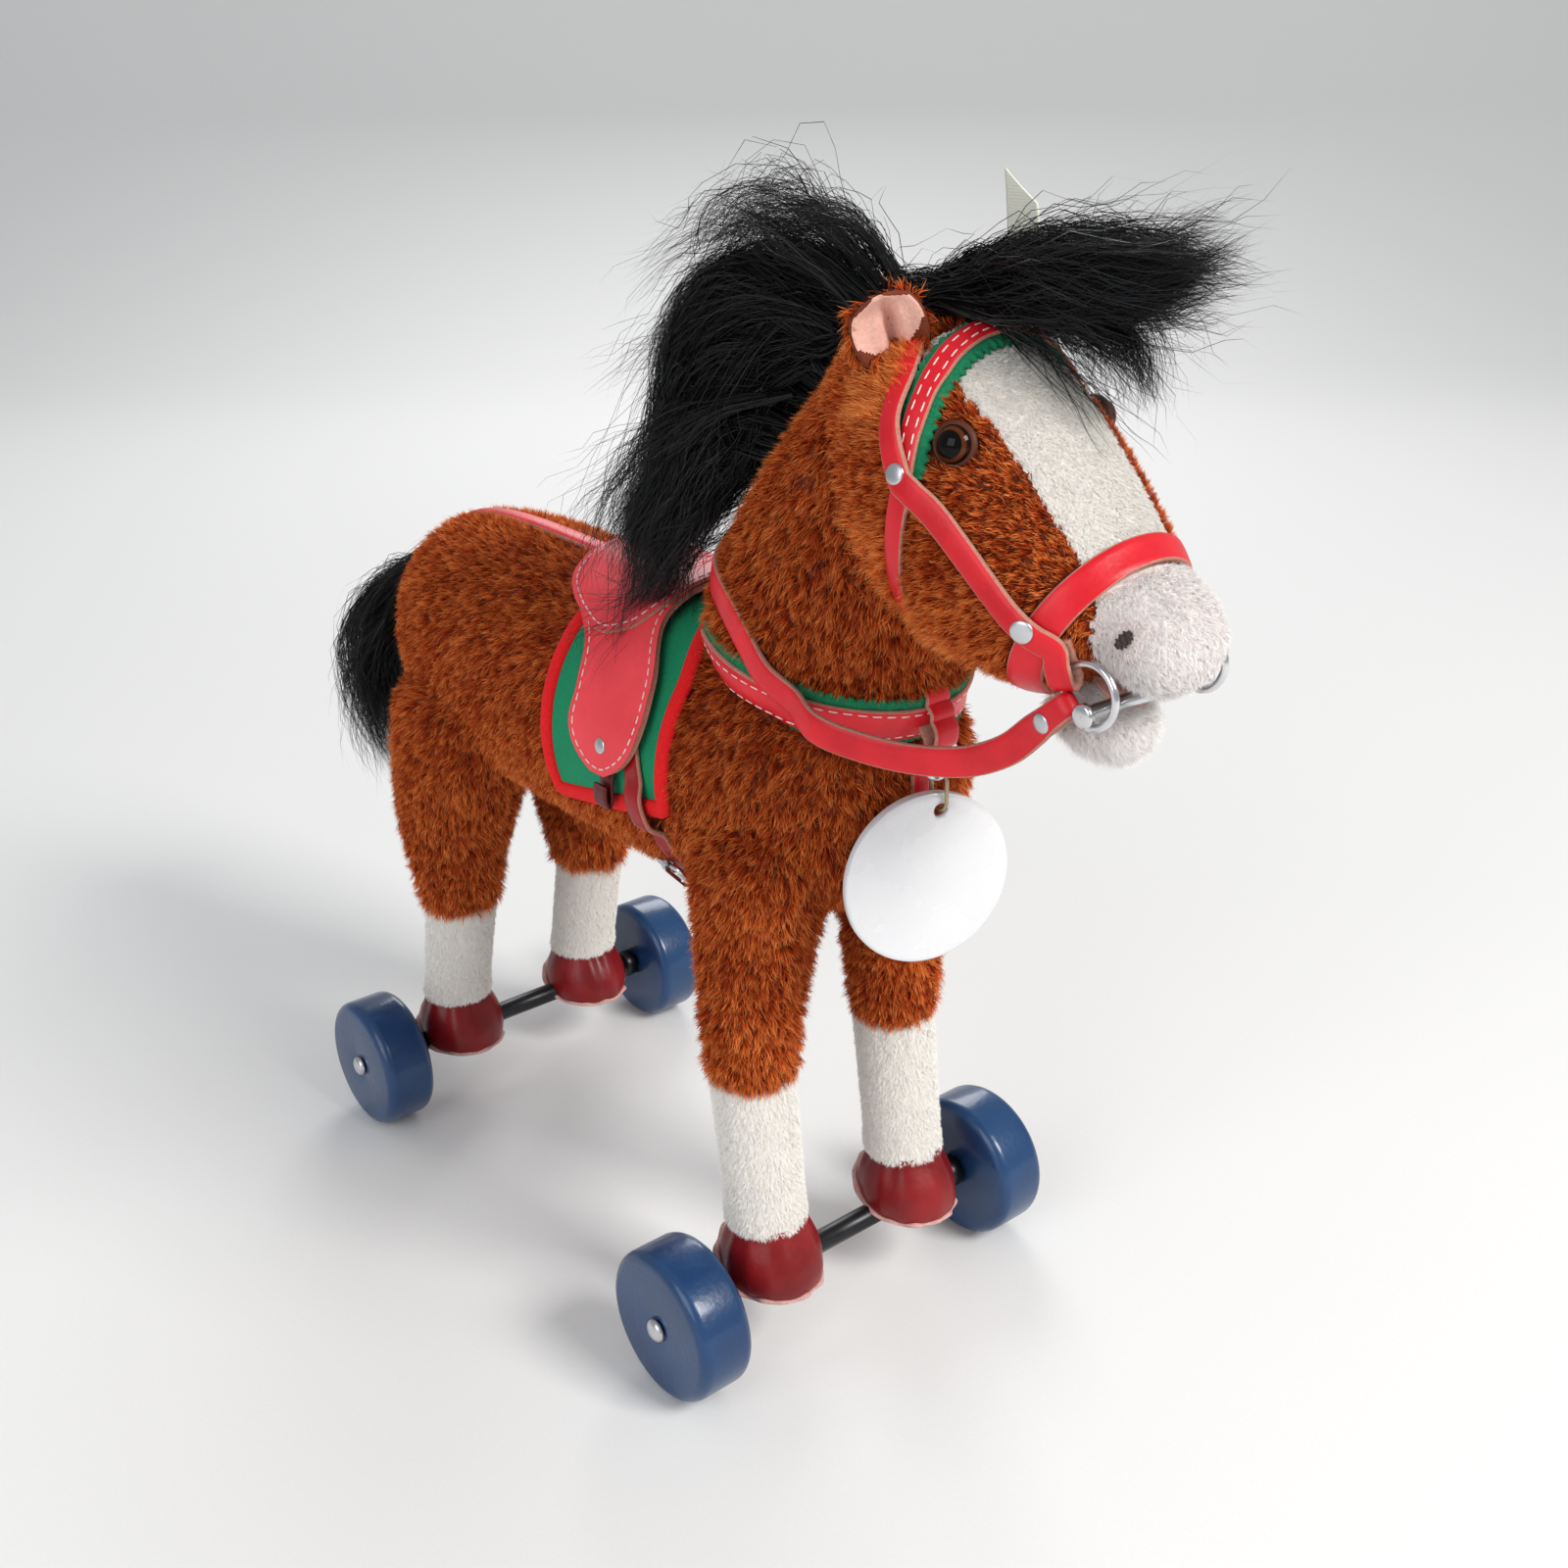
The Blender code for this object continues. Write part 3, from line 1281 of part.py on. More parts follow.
def make_chest(trees, neck_room):
    """Breast collar, its folded tab with the ring, the martingale, and the disc on its hook."""
    forward = Vector((0, -math.cos(COLLAR_SLOPE), -math.sin(COLLAR_SLOPE)))
    across = forward.cross(X_AXIS)
    base = Vector((0, COLLAR_Y, COLLAR_Z))
    rows = [
        cast_row(trees, base, outward_turn(turn, forward), across, COLLAR_BAND_WIDTH, STRAP_LIFT)
        for turn in spread(-COLLAR_HALF_TURN, COLLAR_HALF_TURN, 27)
    ]
    collar = place(ribbon("breast_collar", rows[::-1], COLLAR_THICKNESS), "red_leather")
    cut(collar, neck_room)
    over = surface_of(collar)

    front = -Y_AXIS
    eye_reach = reach_of(over, Vector((0, COLLAR_Y, TAB_EYE_Z + TAB_EYE_RADIUS)), front)
    ring_y = COLLAR_Y - eye_reach - TAB_STANDOFF - TAB_EYE_RADIUS
    eye = strap_eye("tab_eye", Vector((0, ring_y, TAB_EYE_Z)), X_AXIS, TAB_WIDTH, TAB_EYE_RADIUS)
    rows = []
    for height in spread(TAB_TOP, TAB_EYE_Z, 6):
        origin = Vector((0, COLLAR_Y, height))
        reach = reach_of(over + trees, origin, front)
        lift = max(GAP, -ring_y + COLLAR_Y - reach - LEATHER / 2) if height == TAB_EYE_Z else GAP
        rows.append(flat_row(origin + front * (reach + lift), X_AXIS, TAB_WIDTH))
    tab = ribbon("chest_tab", rows[::-1], LEATHER)
    ring_z = TAB_EYE_Z - CHEST_RING_RADIUS
    ring_centre = Vector((0, ring_y, ring_z))
    points = [
        ring_centre + outward_turn(math.tau * step / 20, Z_AXIS) * CHEST_RING_RADIUS for step in range(20)
    ]
    ring = place(tube("chest_ring", points, CHEST_RING_WIRE, 1, closed=True), "bright_steel")
    ring_room = set_aside(tube("chest_ring_room", points, CHEST_RING_WIRE + GAP, 1, closed=True))
    boolean(tab, eye, "UNION")
    cut(tab, ring_room)
    place(tab, "red_leather")

    base = Vector((0, MARTINGALE_CAST_Y, MARTINGALE_CAST_Z))
    rows = [
        cast_row(trees, base, outward_turn(turn, front, -Z_AXIS), X_AXIS, MARTINGALE_WIDTH, BAND_LIFT)
        for turn in spread(MARTINGALE_START, MARTINGALE_END, 14)
    ]
    place(ribbon("martingale", rows[::-1], LEATHER), "red_leather")

    turn = Matrix.Rotation(MEDALLION_TURN, 4, "Z") @ Matrix.Rotation(MEDALLION_LEAN, 4, "X")
    face = turn @ Matrix.Rotation(MEDALLION_ROLL, 4, "Y")
    half = MEDALLION_THICKNESS / 2
    corner = MEDALLION_ROUND
    profile = (
        (0, half),
        (MEDALLION_RADIUS - corner, half),
        (MEDALLION_RADIUS, half - corner),
        (MEDALLION_RADIUS, corner - half),
        (MEDALLION_RADIUS - corner, -half),
        (0, -half),
    )
    hole = Vector((0, ring_y, HOLE_Z))
    centre = hole - face.to_3x3() @ (Z_AXIS * HOLE_FROM_CENTRE)
    disc = turned("medallion", profile, MEDALLION_STEPS)
    disc.matrix_basis = Matrix.Translation(centre) @ face @ Matrix.Rotation(math.pi / 2, 4, "X")
    place(disc, "white_enamel")
    through = face.to_3x3() @ Y_AXIS
    cut(disc, strap_eye("medallion_hole", hole, through, MEDALLION_THICKNESS * 2, MEDALLION_HOLE))

    ring_low = Vector((0, ring_y, ring_z - CHEST_RING_RADIUS))
    top = ring_low + Z_AXIS * (HOOK_OVER_RING - HOOK_RADIUS)
    low = hole + Z_AXIS * HOOK_RADIUS
    points = []
    for step in range(7):
        angle = math.pi * step / 6
        points.append(top + (Y_AXIS * math.cos(angle) + Z_AXIS * math.sin(angle)) * HOOK_RADIUS)
    for step in range(7):
        angle = math.pi * step / 6
        points.append(low - (Y_AXIS * math.cos(angle) + Z_AXIS * math.sin(angle)) * HOOK_RADIUS)
    hook = place(tube("medallion_hook", points, HOOK_WIRE, 1, closed=True), "bronze_wire")
    return collar


def draped(trees, y, turn, lift):
    """A point on a sheet over the back, at a turn from the top."""
    origin = Vector((0, y, BODY_AXIS_Z))
    outward = outward_turn(turn, Z_AXIS)
    return origin + outward * (reach_of(trees, origin, outward) + lift)


def both_ways(shares):
    return [(-1, share) for share in shares[:0:-1]] + [(1, share) for share in shares]


def make_saddle(trees):
    """Blanket with a thick piped rim, then girth and stirrups, then the saddle over them."""
    rows = []
    weights = []
    span = len(BLANKET_LENGTH_SHARES)
    for sign, share in both_ways(BLANKET_TURN_SHARES):
        row = []
        for column, length_share in enumerate(BLANKET_LENGTH_SHARES):
            sweep = min(1, share / WITHERS_SHARE)
            front_y = BLANKET_WITHERS_Y + (BLANKET_FRONT_Y - BLANKET_WITHERS_Y) * sweep
            y = front_y + (BLANKET_REAR_Y - front_y) * length_share
            full = BLANKET_FRONT_TURN + (BLANKET_REAR_TURN - BLANKET_FRONT_TURN) * length_share
            row.append(draped(trees, y, sign * share * full, STRAP_LIFT))
            weights.append(share == 1 or column in (0, span - 1) or share == BLANKET_TURN_SHARES[-2])
        rows.append(row)
    blanket = ribbon("blanket", rows[::-1], PIPING_THICKNESS)
    group = blanket.vertex_groups.new(name="rim")
    for index, rim in enumerate(weights):
        group.add([index], 1 if rim else BLANKET_THICKNESS / PIPING_THICKNESS, "REPLACE")
    blanket.modifiers["leather"].vertex_group = "rim"
    place(blanket, "green_felt")

    rows = []
    for sign, turn in both_ways(GIRTH_TURNS[::-1]):
        blend = min(1, (turn - GIRTH_TURNS[0]) / (GIRTH_LOW_TURN - GIRTH_TURNS[0]))
        middle = GIRTH_TOP_Y + (GIRTH_LOW_Y - GIRTH_TOP_Y) * blend
        lift = girth_lift(turn)
        row = []
        for share in (-1 / 2, 0, 1 / 2):
            row.append(draped(trees, middle + share * GIRTH_WIDTH, sign * turn, lift))
        rows.append(row)
    girth = ribbon("girth", rows, LEATHER)
    place(girth, "red_leather")

    for side, sign in SIDES.items():
        pivot = draped(trees, STIRRUP_Y, sign * STIRRUP_RIVET_TURN, UNDER_LAYER)
        rows = []
        for out, down in STIRRUP_LOOP_SHARES:
            across = sign * (out * STIRRUP_LOOP_DEPTH)
            rows.append(flat_row(Vector((across, 0, -down * STIRRUP_DROP)), -Y_AXIS * sign, STIRRUP_WIDTH))
        stirrup = ribbon("stirrup_" + side, rows, STIRRUP_THICKNESS)
        stirrup.location = pivot
        place(stirrup, "red_leather")

    rows = []
    for sign, shares in both_ways(SADDLE_SHARES):
        turn_share, rear, front = shares
        row = []
        for share in (0, 1 / 4, 1 / 2, 3 / 4, 1):
            y = SADDLE_MIDDLE_Y + SADDLE_HALF_LENGTH * (front + (rear - front) * share)
            row.append(draped(trees, y, sign * turn_share * SADDLE_TURN, OVER_PIPING))
        rows.append(row)
    place(ribbon("saddle", rows[::-1], SADDLE_THICKNESS), "red_leather")
    make_buckle(trees, girth)

    rows = []
    for y in spread(CRUPPER_FIRST_Y, CRUPPER_BEND_Y, 5):
        base = Vector((0, y, BODY_AXIS_Z))
        rows.append(cast_row(trees, base, Z_AXIS, X_AXIS, CROUP_WIDTH, STRAP_LIFT))
    base = Vector((0, CRUPPER_BEND_Y, BODY_AXIS_Z))
    for turn in CRUPPER_TURNS:
        outward = outward_turn(turn, Z_AXIS, Y_AXIS)
        rows.append(cast_row(trees, base, outward, X_AXIS, CROUP_WIDTH, STRAP_LIFT))
    place(ribbon("crupper", rows, LEATHER), "red_leather")


def girth_lift(turn):
    """The girth runs on the blanket, over its rim, then on the belly."""
    if turn < GIRTH_TURNS[3]:
        return UNDER_LAYER
    if turn < GIRTH_TURNS[5]:
        return OVER_PIPING
    return STRAP_LIFT


def make_buckle(trees, girth):
    """A wire frame lying on the girth, with a prong that turns on its upper bar."""
    blend = (BUCKLE_TURN - GIRTH_TURNS[0]) / (GIRTH_LOW_TURN - GIRTH_TURNS[0])
    middle = GIRTH_TOP_Y + (GIRTH_LOW_Y - GIRTH_TOP_Y) * min(1, blend)
    outward = outward_turn(-BUCKLE_TURN, Z_AXIS)
    downward = outward_turn(-BUCKLE_TURN - math.pi / 2, Z_AXIS)
    base = Vector((0, middle, BODY_AXIS_Z))
    reach = reach_of(surface_of(girth), base, outward) + GAP * 2 + BUCKLE_WIRE
    centre = base + outward * reach
    half_width = BUCKLE_WIDTH / 2
    half_length = BUCKLE_LENGTH / 2
    corner = BUCKLE_CORNER
    points = []
    for wide, deep, start in ((1, 1, 0), (-1, 1, 1), (-1, -1, 2), (1, -1, 3)):
        for step in range(3):
            angle = math.pi / 2 * (start + step / 2)
            out = Vector((math.cos(angle), math.sin(angle))) * corner
            local_y = wide * (half_width - corner) + out.x
            local_down = deep * (half_length - corner) + out.y
            points.append(centre + Y_AXIS * local_y + downward * local_down)
    place(tube("buckle_frame", points, BUCKLE_WIRE, 1, closed=True), "bright_steel")

    bar = centre - downward * half_length
    eye_inner = BUCKLE_WIRE + RUNNING_GAP
    eye_outer = eye_inner + PRONG_EYE_WALL
    half = PRONG_EYE_WIDTH / 2
    profile = ((eye_inner, half), (eye_outer, half), (eye_outer, -half), (eye_inner, -half))
    prong = turned("buckle_prong", profile, 12)
    prong.rotation_euler = Y_AXIS.to_track_quat("Z", "Y").to_euler()
    prong.location = bar
    lifted = BUCKLE_WIRE + GAP + PRONG_WIRE
    start = bar + outward * (eye_inner + PRONG_EYE_WALL / 2) + downward * GAP
    end = bar + outward * lifted + downward * (BUCKLE_LENGTH + corner / 2)
    tongue = tube("prong_tongue", [start, end], PRONG_WIRE)
    boolean(prong, set_aside(tongue), "UNION")
    place(prong, "bright_steel")
    room = strap_eye("prong_room", bar, Y_AXIS, PRONG_EYE_WIDTH + GAP * 2, eye_outer + GAP)
    cut(girth, room)


def make_rein(trees, ring_rooms):
    """One long strap from ring to ring, slack on the right and over the neck before the saddle."""
    eyes = []
    points = []
    outwards = []
    ends = {}
    for sign in (-1, 1):
        around = ring_offset(REIN_EYE_ANGLE + math.pi / 2, 1)
        wire = on_head(sign * RING_X, RING_RISE, RING_ALONG) + ring_offset(REIN_EYE_ANGLE, RING_RADIUS)
        eyes.append(strap_eye("rein_eye", wire, around, EYE_WIDTH, RING_EYE_RADIUS))
        inset = X_AXIS * (sign * LEATHER / 2)
        overlap = ring_offset(REIN_EYE_ANGLE, RING_EYE_RADIUS * EYE_OVERLAP_SHARE)
        ends[sign] = (wire - inset + overlap, around)
    sideways = -X_AXIS
    slack = from_axle(REIN_SLACK, FRONT_AXLE_Y)
    rows = [flat_row(ends[-1][0], ends[-1][1], EYE_WIDTH)]
    facing = [Vector((-1, -share, 0)).normalized() for share in spread(0, 3 / 4, len(slack))]
    rows += rows_along(slack, facing, REIN_WIDTH)
    (first_y, first_z), (last_y, last_z) = REIN_ON_NECK[0], REIN_ON_NECK[-1]
    neck_way = Vector((0, last_y - first_y, last_z - first_z))
    for y, z in REIN_ON_NECK:
        base = Vector((0, FRONT_AXLE_Y + y, z))
        rows.append(laid_row(trees, base, sideways, neck_way, REIN_WIDTH, REIN_LIFT))
    base = Vector((0, REIN_CAST_Y, REIN_CAST_Z))
    backward = Vector((0, math.cos(REIN_RISE), math.sin(REIN_RISE)))
    for turn in spread(-math.pi * 2 / 5, math.pi * 2 / 5, 9):
        outward = outward_turn(turn, backward)
        along = outward_turn(turn + math.pi / 2, backward)
        rows.append(laid_row(trees, base, outward, along, REIN_WIDTH, REIN_LIFT))
    left_way = Vector((0, -1, 0))
    for y, z in REIN_LEFT_ON_NECK:
        base = Vector((0, FRONT_AXLE_Y + y, z))
        rows.append(laid_row(trees, base, X_AXIS, left_way, REIN_WIDTH, REIN_LIFT))
    left = from_axle(REIN_LEFT, FRONT_AXLE_Y)
    rows += rows_along(left, [X_AXIS] * len(left), REIN_WIDTH)
    rows.append(flat_row(ends[1][0], ends[1][1], EYE_WIDTH))
    strap = ribbon("rein", rows, LEATHER)
    for eye in eyes:
        boolean(strap, eye, "UNION")
    cut(strap, *ring_rooms)
    return place(strap, "red_leather")


frame, frame_rooms = make_inner_frame()
axle_rooms = make_axles()
make_wheels()
legs = make_legs(frame_rooms, axle_rooms)
body, neck, body_room, neck_room = make_trunk(frame_rooms, legs)
head, head_room, head_trees = make_head(neck_room)
make_tag()
mane, forelock = make_hair(body_room, neck_room, head_room)
make_bridle(head_trees)
rings = make_bit()
ring_rooms = [rings["right_room"], rings["left_room"]]
headstall = make_headstall(head_trees + surface_of(neck), ring_rooms)
settle_bridle(headstall, forelock)
trunk_trees = surface_of(body, neck)
make_saddle(trunk_trees)
collar = make_chest(trunk_trees, neck_room)
rein = make_rein(trunk_trees + surface_of(collar), ring_rooms)
cut(collar, room_around(rein))
CARRIER.location = (0, MIDDLE_SHIFT, 0)
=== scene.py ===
# %% [markdown]
# # A plush horse on wheels
#
# The object is a stuffed toy horse, about 29 cm tall, that stands on two steel axles with four blue
# wooden wheels. Its hide is brown mohair with a cream face, a white muzzle and white socks, and it wears
# a red leather bridle, saddle and breast collar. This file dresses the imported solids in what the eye
# sees: pile, hair, leather, felt, paint and metal. The solids could simply be painted, but pile and hair
# are shapes, so they are grown here as real blades of mesh.

# %% Load the frame
from math import copysign, cos, pi, radians, sin, tau

import bpy
import numpy as np
from mathutils import Matrix, Vector
from mathutils.bvhtree import BVHTree
from mathutils.kdtree import KDTree


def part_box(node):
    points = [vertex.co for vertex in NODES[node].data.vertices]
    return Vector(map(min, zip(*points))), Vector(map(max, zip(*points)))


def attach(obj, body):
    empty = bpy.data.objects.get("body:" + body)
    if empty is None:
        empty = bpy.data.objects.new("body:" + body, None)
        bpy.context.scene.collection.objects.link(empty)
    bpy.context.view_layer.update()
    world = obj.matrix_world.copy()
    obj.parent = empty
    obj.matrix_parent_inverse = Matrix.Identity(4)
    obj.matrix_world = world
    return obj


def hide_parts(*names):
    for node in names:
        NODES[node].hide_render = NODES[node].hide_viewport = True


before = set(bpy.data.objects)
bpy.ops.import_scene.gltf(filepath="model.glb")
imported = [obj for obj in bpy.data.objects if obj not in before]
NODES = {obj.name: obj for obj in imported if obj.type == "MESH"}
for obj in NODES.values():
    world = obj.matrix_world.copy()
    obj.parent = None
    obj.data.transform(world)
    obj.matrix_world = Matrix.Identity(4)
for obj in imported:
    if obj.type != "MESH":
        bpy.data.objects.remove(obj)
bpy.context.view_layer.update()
MM = 0.001
HORSE = "horse"
SIDES = (("right", -1), ("left", 1))


def linked(name, data):
    """A new object in the scene, made from its data."""
    made = bpy.data.objects.new(name, data)
    bpy.context.scene.collection.objects.link(made)
    return made

# %% [markdown]
# ## Node maths
#
# A finish mixes noise, stripes and ramps. Wiring those one link at a time hides the idea, so a small
# class wraps a socket and lets Python's own operators add the nodes. Plain values go through Math nodes.
# Colours and vectors go through Vector Math and Mix nodes, because a Math node would turn them grey.

# %% Sockets that can be written into sums
def operator(operation):
    """The method for one operator, and its reflected form, where the plain value stands first."""
    def plain(self, other):
        return self.sum(operation, self, other)

    def reflected(self, other):
        return self.sum(operation, other, self)

    return plain, reflected


class Wire:
    """One output socket of a finish. Arithmetic on it adds nodes to the same tree."""

    __add__, __radd__ = operator("ADD")
    __sub__, __rsub__ = operator("SUBTRACT")
    __mul__, __rmul__ = operator("MULTIPLY")
    __truediv__, __rtruediv__ = operator("DIVIDE")

    def __init__(self, finish, socket):
        self.finish, self.socket = finish, socket

    def sum(self, operation, first, second):
        wires = [part for part in (first, second) if isinstance(part, Wire)]
        vector = any(wire.socket.type in ("VECTOR", "RGBA") for wire in wires)
        kind = "VectorMath" if vector else "Math"
        return self.finish.node(kind, {"operation": operation}, {0: first, 1: second})

    def ramp(self, low, high, first=0.0, last=1.0):
        """This value, stretched from low..high to first..last and kept inside them."""
        inputs = {"Value": self, "From Min": low, "From Max": high, "To Min": first, "To Max": last}
        return self.finish.node("MapRange", {"interpolation_type": "SMOOTHSTEP"}, inputs)

    def mix(self, off, on):
        """The colour off where this value is 0, and on where it is 1."""
        settings = {"data_type": "RGBA"}
        return self.finish.node("Mix", settings, {0: self, 6: off, 7: on}, output=2)


class Finish:
    """A material, and one method that adds any node to it."""

    def __init__(self, name, **sockets):
        self.material = bpy.data.materials.new(name)
        self.material.use_nodes = True
        self.tree = self.material.node_tree
        self.shader = self.tree.nodes["Principled BSDF"]
        for socket, value in sockets.items():
            self.set(socket.replace("_", " "), value)

    def put(self, socket, value):
        if isinstance(value, Wire):
            self.tree.links.new(value.socket, socket)
        elif hasattr(socket.default_value, "__len__"):
            length = len(socket.default_value)
            values = [value] * length if isinstance(value, (int, float)) else list(value)
            socket.default_value = (values + [1.0] * length)[:length]
        else:
            socket.default_value = value

    def set(self, socket, value):
        self.put(self.shader.inputs[socket], value)

    def node(self, kind, settings=None, inputs=None, output=0):
        node = self.tree.nodes.new("ShaderNode" + kind)
        for key, value in (settings or {}).items():
            if key == "stops":
                for index, (place, colour) in enumerate(value):
                    stops = node.color_ramp.elements
                    stop = stops[index] if index < 2 else stops.new(place)
                    stop.position = place
                    stop.color = (*colour, 1)
            else:
                setattr(node, key, value)
        for key, value in (inputs or {}).items():
            self.put(node.inputs[key], value)
        return Wire(self, node.outputs[output])

    def place(self):
        """Where the point is, in metres, in the frame the object was modelled in."""
        return self.node("TexCoord", output=3)

    def map(self, name):
        return self.node("UVMap", {"uv_map": name})

    def parts(self, vector):
        """The x, y and z of a vector as three values."""
        first = self.node("SeparateXYZ", inputs={0: vector})
        return [Wire(self, output) for output in first.socket.node.outputs]

    def noise(self, scale, detail=2.0, roughness=0.5):
        inputs = {"Vector": self.place(), "Scale": scale, "Detail": detail, "Roughness": roughness}
        return self.node("TexNoise", inputs=inputs)

    def bump(self, height, strength, distance):
        inputs = {"Height": height, "Strength": strength, "Distance": distance}
        self.set("Normal", self.node("Bump", inputs=inputs))


print("node maths ready")

# %% [markdown]
# ## Camera, floor and light
#
# The camera stands where the photographer stood: in front of the horse's right shoulder, a little
# above its head. Its place was found by laying the solids over the photograph. The floor is pale and
# plain, and bends up behind the toy so that no horizon cuts the picture. Large soft lamps stand for a
# studio's softboxes: one from the camera's right and above, which models the round forms, and a weaker
# one from the left that opens the shadows.

# %% Camera
SHIFT = 0.0176
CAMERA_AZIMUTH = radians(-39.343)
CAMERA_HEIGHT = radians(23.106)
CAMERA_ROLL = radians(-0.630)
CAMERA_PLACE = Vector((-0.249600, -0.363574 + SHIFT, 0.312299))
LENS = 39.446


def make_camera():
    back = Vector((
        sin(CAMERA_AZIMUTH) * cos(CAMERA_HEIGHT),
        -cos(CAMERA_AZIMUTH) * cos(CAMERA_HEIGHT),
        sin(CAMERA_HEIGHT),
    ))
    flat_right = (-back).cross(Vector((0, 0, 1))).normalized()
    flat_up = flat_right.cross(-back)
    right = flat_right * cos(CAMERA_ROLL) + flat_up * sin(CAMERA_ROLL)
    up = flat_up * cos(CAMERA_ROLL) - flat_right * sin(CAMERA_ROLL)
    data = bpy.data.cameras.new("camera")
    data.lens = LENS
    data.sensor_width = 36
    data.clip_start = 0.01
    camera = linked("camera", data)
    turn = Matrix((right, up, back)).transposed().to_4x4()
    camera.matrix_world = Matrix.Translation(CAMERA_PLACE) @ turn
    bpy.context.scene.camera = camera
    return camera


camera = make_camera()
print("camera", [round(v, 3) for v in camera.location])

# %% Floor, backdrop and lamps
FLOOR_WIDTH, FLOOR_BACK = 3.2, 1.3
SWEEP_RADIUS, SWEEP_STEPS = 0.8, 12
FLOOR_COLOUR = (0.80, 0.80, 0.79)
SKY_COLOUR, SKY_STRENGTH = (0.93, 0.95, 1.0, 1), 0.42
MIDDLE = (0, 0, 0.14)
LAMPS = (
    ("key", (0.35, -1.25, 1.15), 0.55, 22, (1.0, 0.98, 0.95)),
    ("fill", (-1.25, -0.35, 0.75), 0.9, 7, (0.96, 0.98, 1.0)),
    ("rim", (0.9, 1.1, 1.0), 0.7, 9, (1, 1, 1)),
)


def make_floor():
    """A sheet that lies flat under the toy and curves up behind it, square to the camera."""
    rows = [(-FLOOR_WIDTH, 0.0), (FLOOR_BACK, 0.0)]
    for step in range(1, SWEEP_STEPS + 1):
        angle = pi / 2 * step / SWEEP_STEPS
        rows.append((FLOOR_BACK + SWEEP_RADIUS * sin(angle), SWEEP_RADIUS * (1 - cos(angle))))
    rows.append((FLOOR_BACK + SWEEP_RADIUS, SWEEP_RADIUS * 4))
    turn = Matrix.Rotation(CAMERA_AZIMUTH, 3, "Z")
    points = [turn @ Vector((side, *row)) for row in rows for side in (-FLOOR_WIDTH, FLOOR_WIDTH)]
    faces = [(2 * i, 2 * i + 1, 2 * i + 3, 2 * i + 2) for i in range(len(rows) - 1)]
    mesh = bpy.data.meshes.new("floor")
    mesh.from_pydata(points, [], faces)
    mesh.shade_smooth()
    paper = Finish("floor_paper", Roughness=0.95)
    grain = paper.noise(900, 3).ramp(0.3, 0.7)
    paper.set("Base Color", grain.mix([c * 0.985 for c in FLOOR_COLOUR], FLOOR_COLOUR))
    mesh.materials.append(paper.material)
    linked("floor", mesh)


def make_lamp(name, place, size, power, colour):
    data = bpy.data.lights.new(name, "AREA")
    data.shape, data.size, data.energy, data.color = "SQUARE", size, power, colour
    lamp = linked(name, data)
    lamp.location = place
    lamp.rotation_mode = "QUATERNION"
    lamp.rotation_quaternion = (Vector(MIDDLE) - Vector(place)).to_track_quat("-Z", "Y")


make_floor()
for lamp in LAMPS:
    make_lamp(*lamp)
world = bpy.data.worlds.new("studio")
bpy.context.scene.world = world
world.use_nodes = True
sky = world.node_tree.nodes["Background"].inputs
sky["Color"].default_value, sky["Strength"].default_value = SKY_COLOUR, SKY_STRENGTH
bpy.context.scene.view_settings.view_transform = "Standard"
print("studio ready")

# %% [markdown]
# ## Helpers for meshes
#
# Pile and hair come to hundreds of thousands of faces, so meshes are written from whole arrays and not
# face by face. A turned piece, such as a wheel, is a profile spun about its axle. Everything long and
# even, such as a strap or a wire, is a section swept along a line.

# %% Meshes from arrays
def new_piece(
    name, points, faces, finishes, node=None, body=HORSE, slots=None, uvs=None, smooth=True,
):
    """Makes a mesh object that rides on a body.

    faces is a list of index arrays, each of one width. slots picks one of the finishes for each face.
    node is the solid that the piece stands for.
    """
    mesh = bpy.data.meshes.new(name)
    points = np.asarray(points, np.float32).reshape(-1, 3)
    mesh.vertices.add(len(points))
    mesh.vertices.foreach_set("co", points.ravel())
    faces = [np.asarray(group, np.int32) for group in faces if len(group)]
    corners = np.concatenate([group.ravel() for group in faces])
    widths = np.concatenate([np.full(len(group), group.shape[1], np.int32) for group in faces])
    mesh.loops.add(len(corners))
    mesh.loops.foreach_set("vertex_index", corners)
    mesh.polygons.add(len(widths))
    starts = np.concatenate([[0], np.cumsum(widths)[:-1]]).astype(np.int32)
    mesh.polygons.foreach_set("loop_start", starts)
    mesh.update(calc_edges=True)
    if uvs is not None:
        layer = mesh.uv_layers.new(name="OFBake")
        layer.data.foreach_set("uv", np.asarray(uvs, np.float32)[corners].ravel())
    for finish in finishes:
        mesh.materials.append(finish.material)
    if slots is not None:
        mesh.polygons.foreach_set("material_index", np.asarray(slots, np.int32))
    if smooth:
        mesh.shade_smooth()
    mesh.validate()
    piece = linked(name, mesh)
    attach(piece, body)
    if node:
        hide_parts(node)
    return piece


def grid_faces(rows, columns, closed_rows=False, closed_columns=False):
    """Four-sided faces of a grid of points, row by row."""
    row = np.arange(rows if closed_rows else rows - 1)
    column = np.arange(columns if closed_columns else columns - 1)
    r, c = np.meshgrid(row, column, indexing="ij")
    r2, c2 = (r + 1) % rows, (c + 1) % columns
    corners = [r * columns + c, r * columns + c2, r2 * columns + c2, r2 * columns + c]
    return np.stack(corners, -1).reshape(-1, 4)


def border(grid):
    """The entries round the rim of a grid, once."""
    return np.concatenate([grid[0, :-1], grid[:-1, -1], grid[-1, :0:-1], grid[:0:-1, 0]])


def slab_faces(rows, columns):
    """Faces of a sheet with two sides: the lower side, the upper one, and the rim between them."""
    half = rows * columns
    face = grid_faces(rows, columns)
    edge = border(np.arange(half).reshape(rows, columns))
    rim = np.stack([edge, np.roll(edge, -1), np.roll(edge, -1) + half, edge + half], 1)
    return face[:, ::-1], face + half, rim


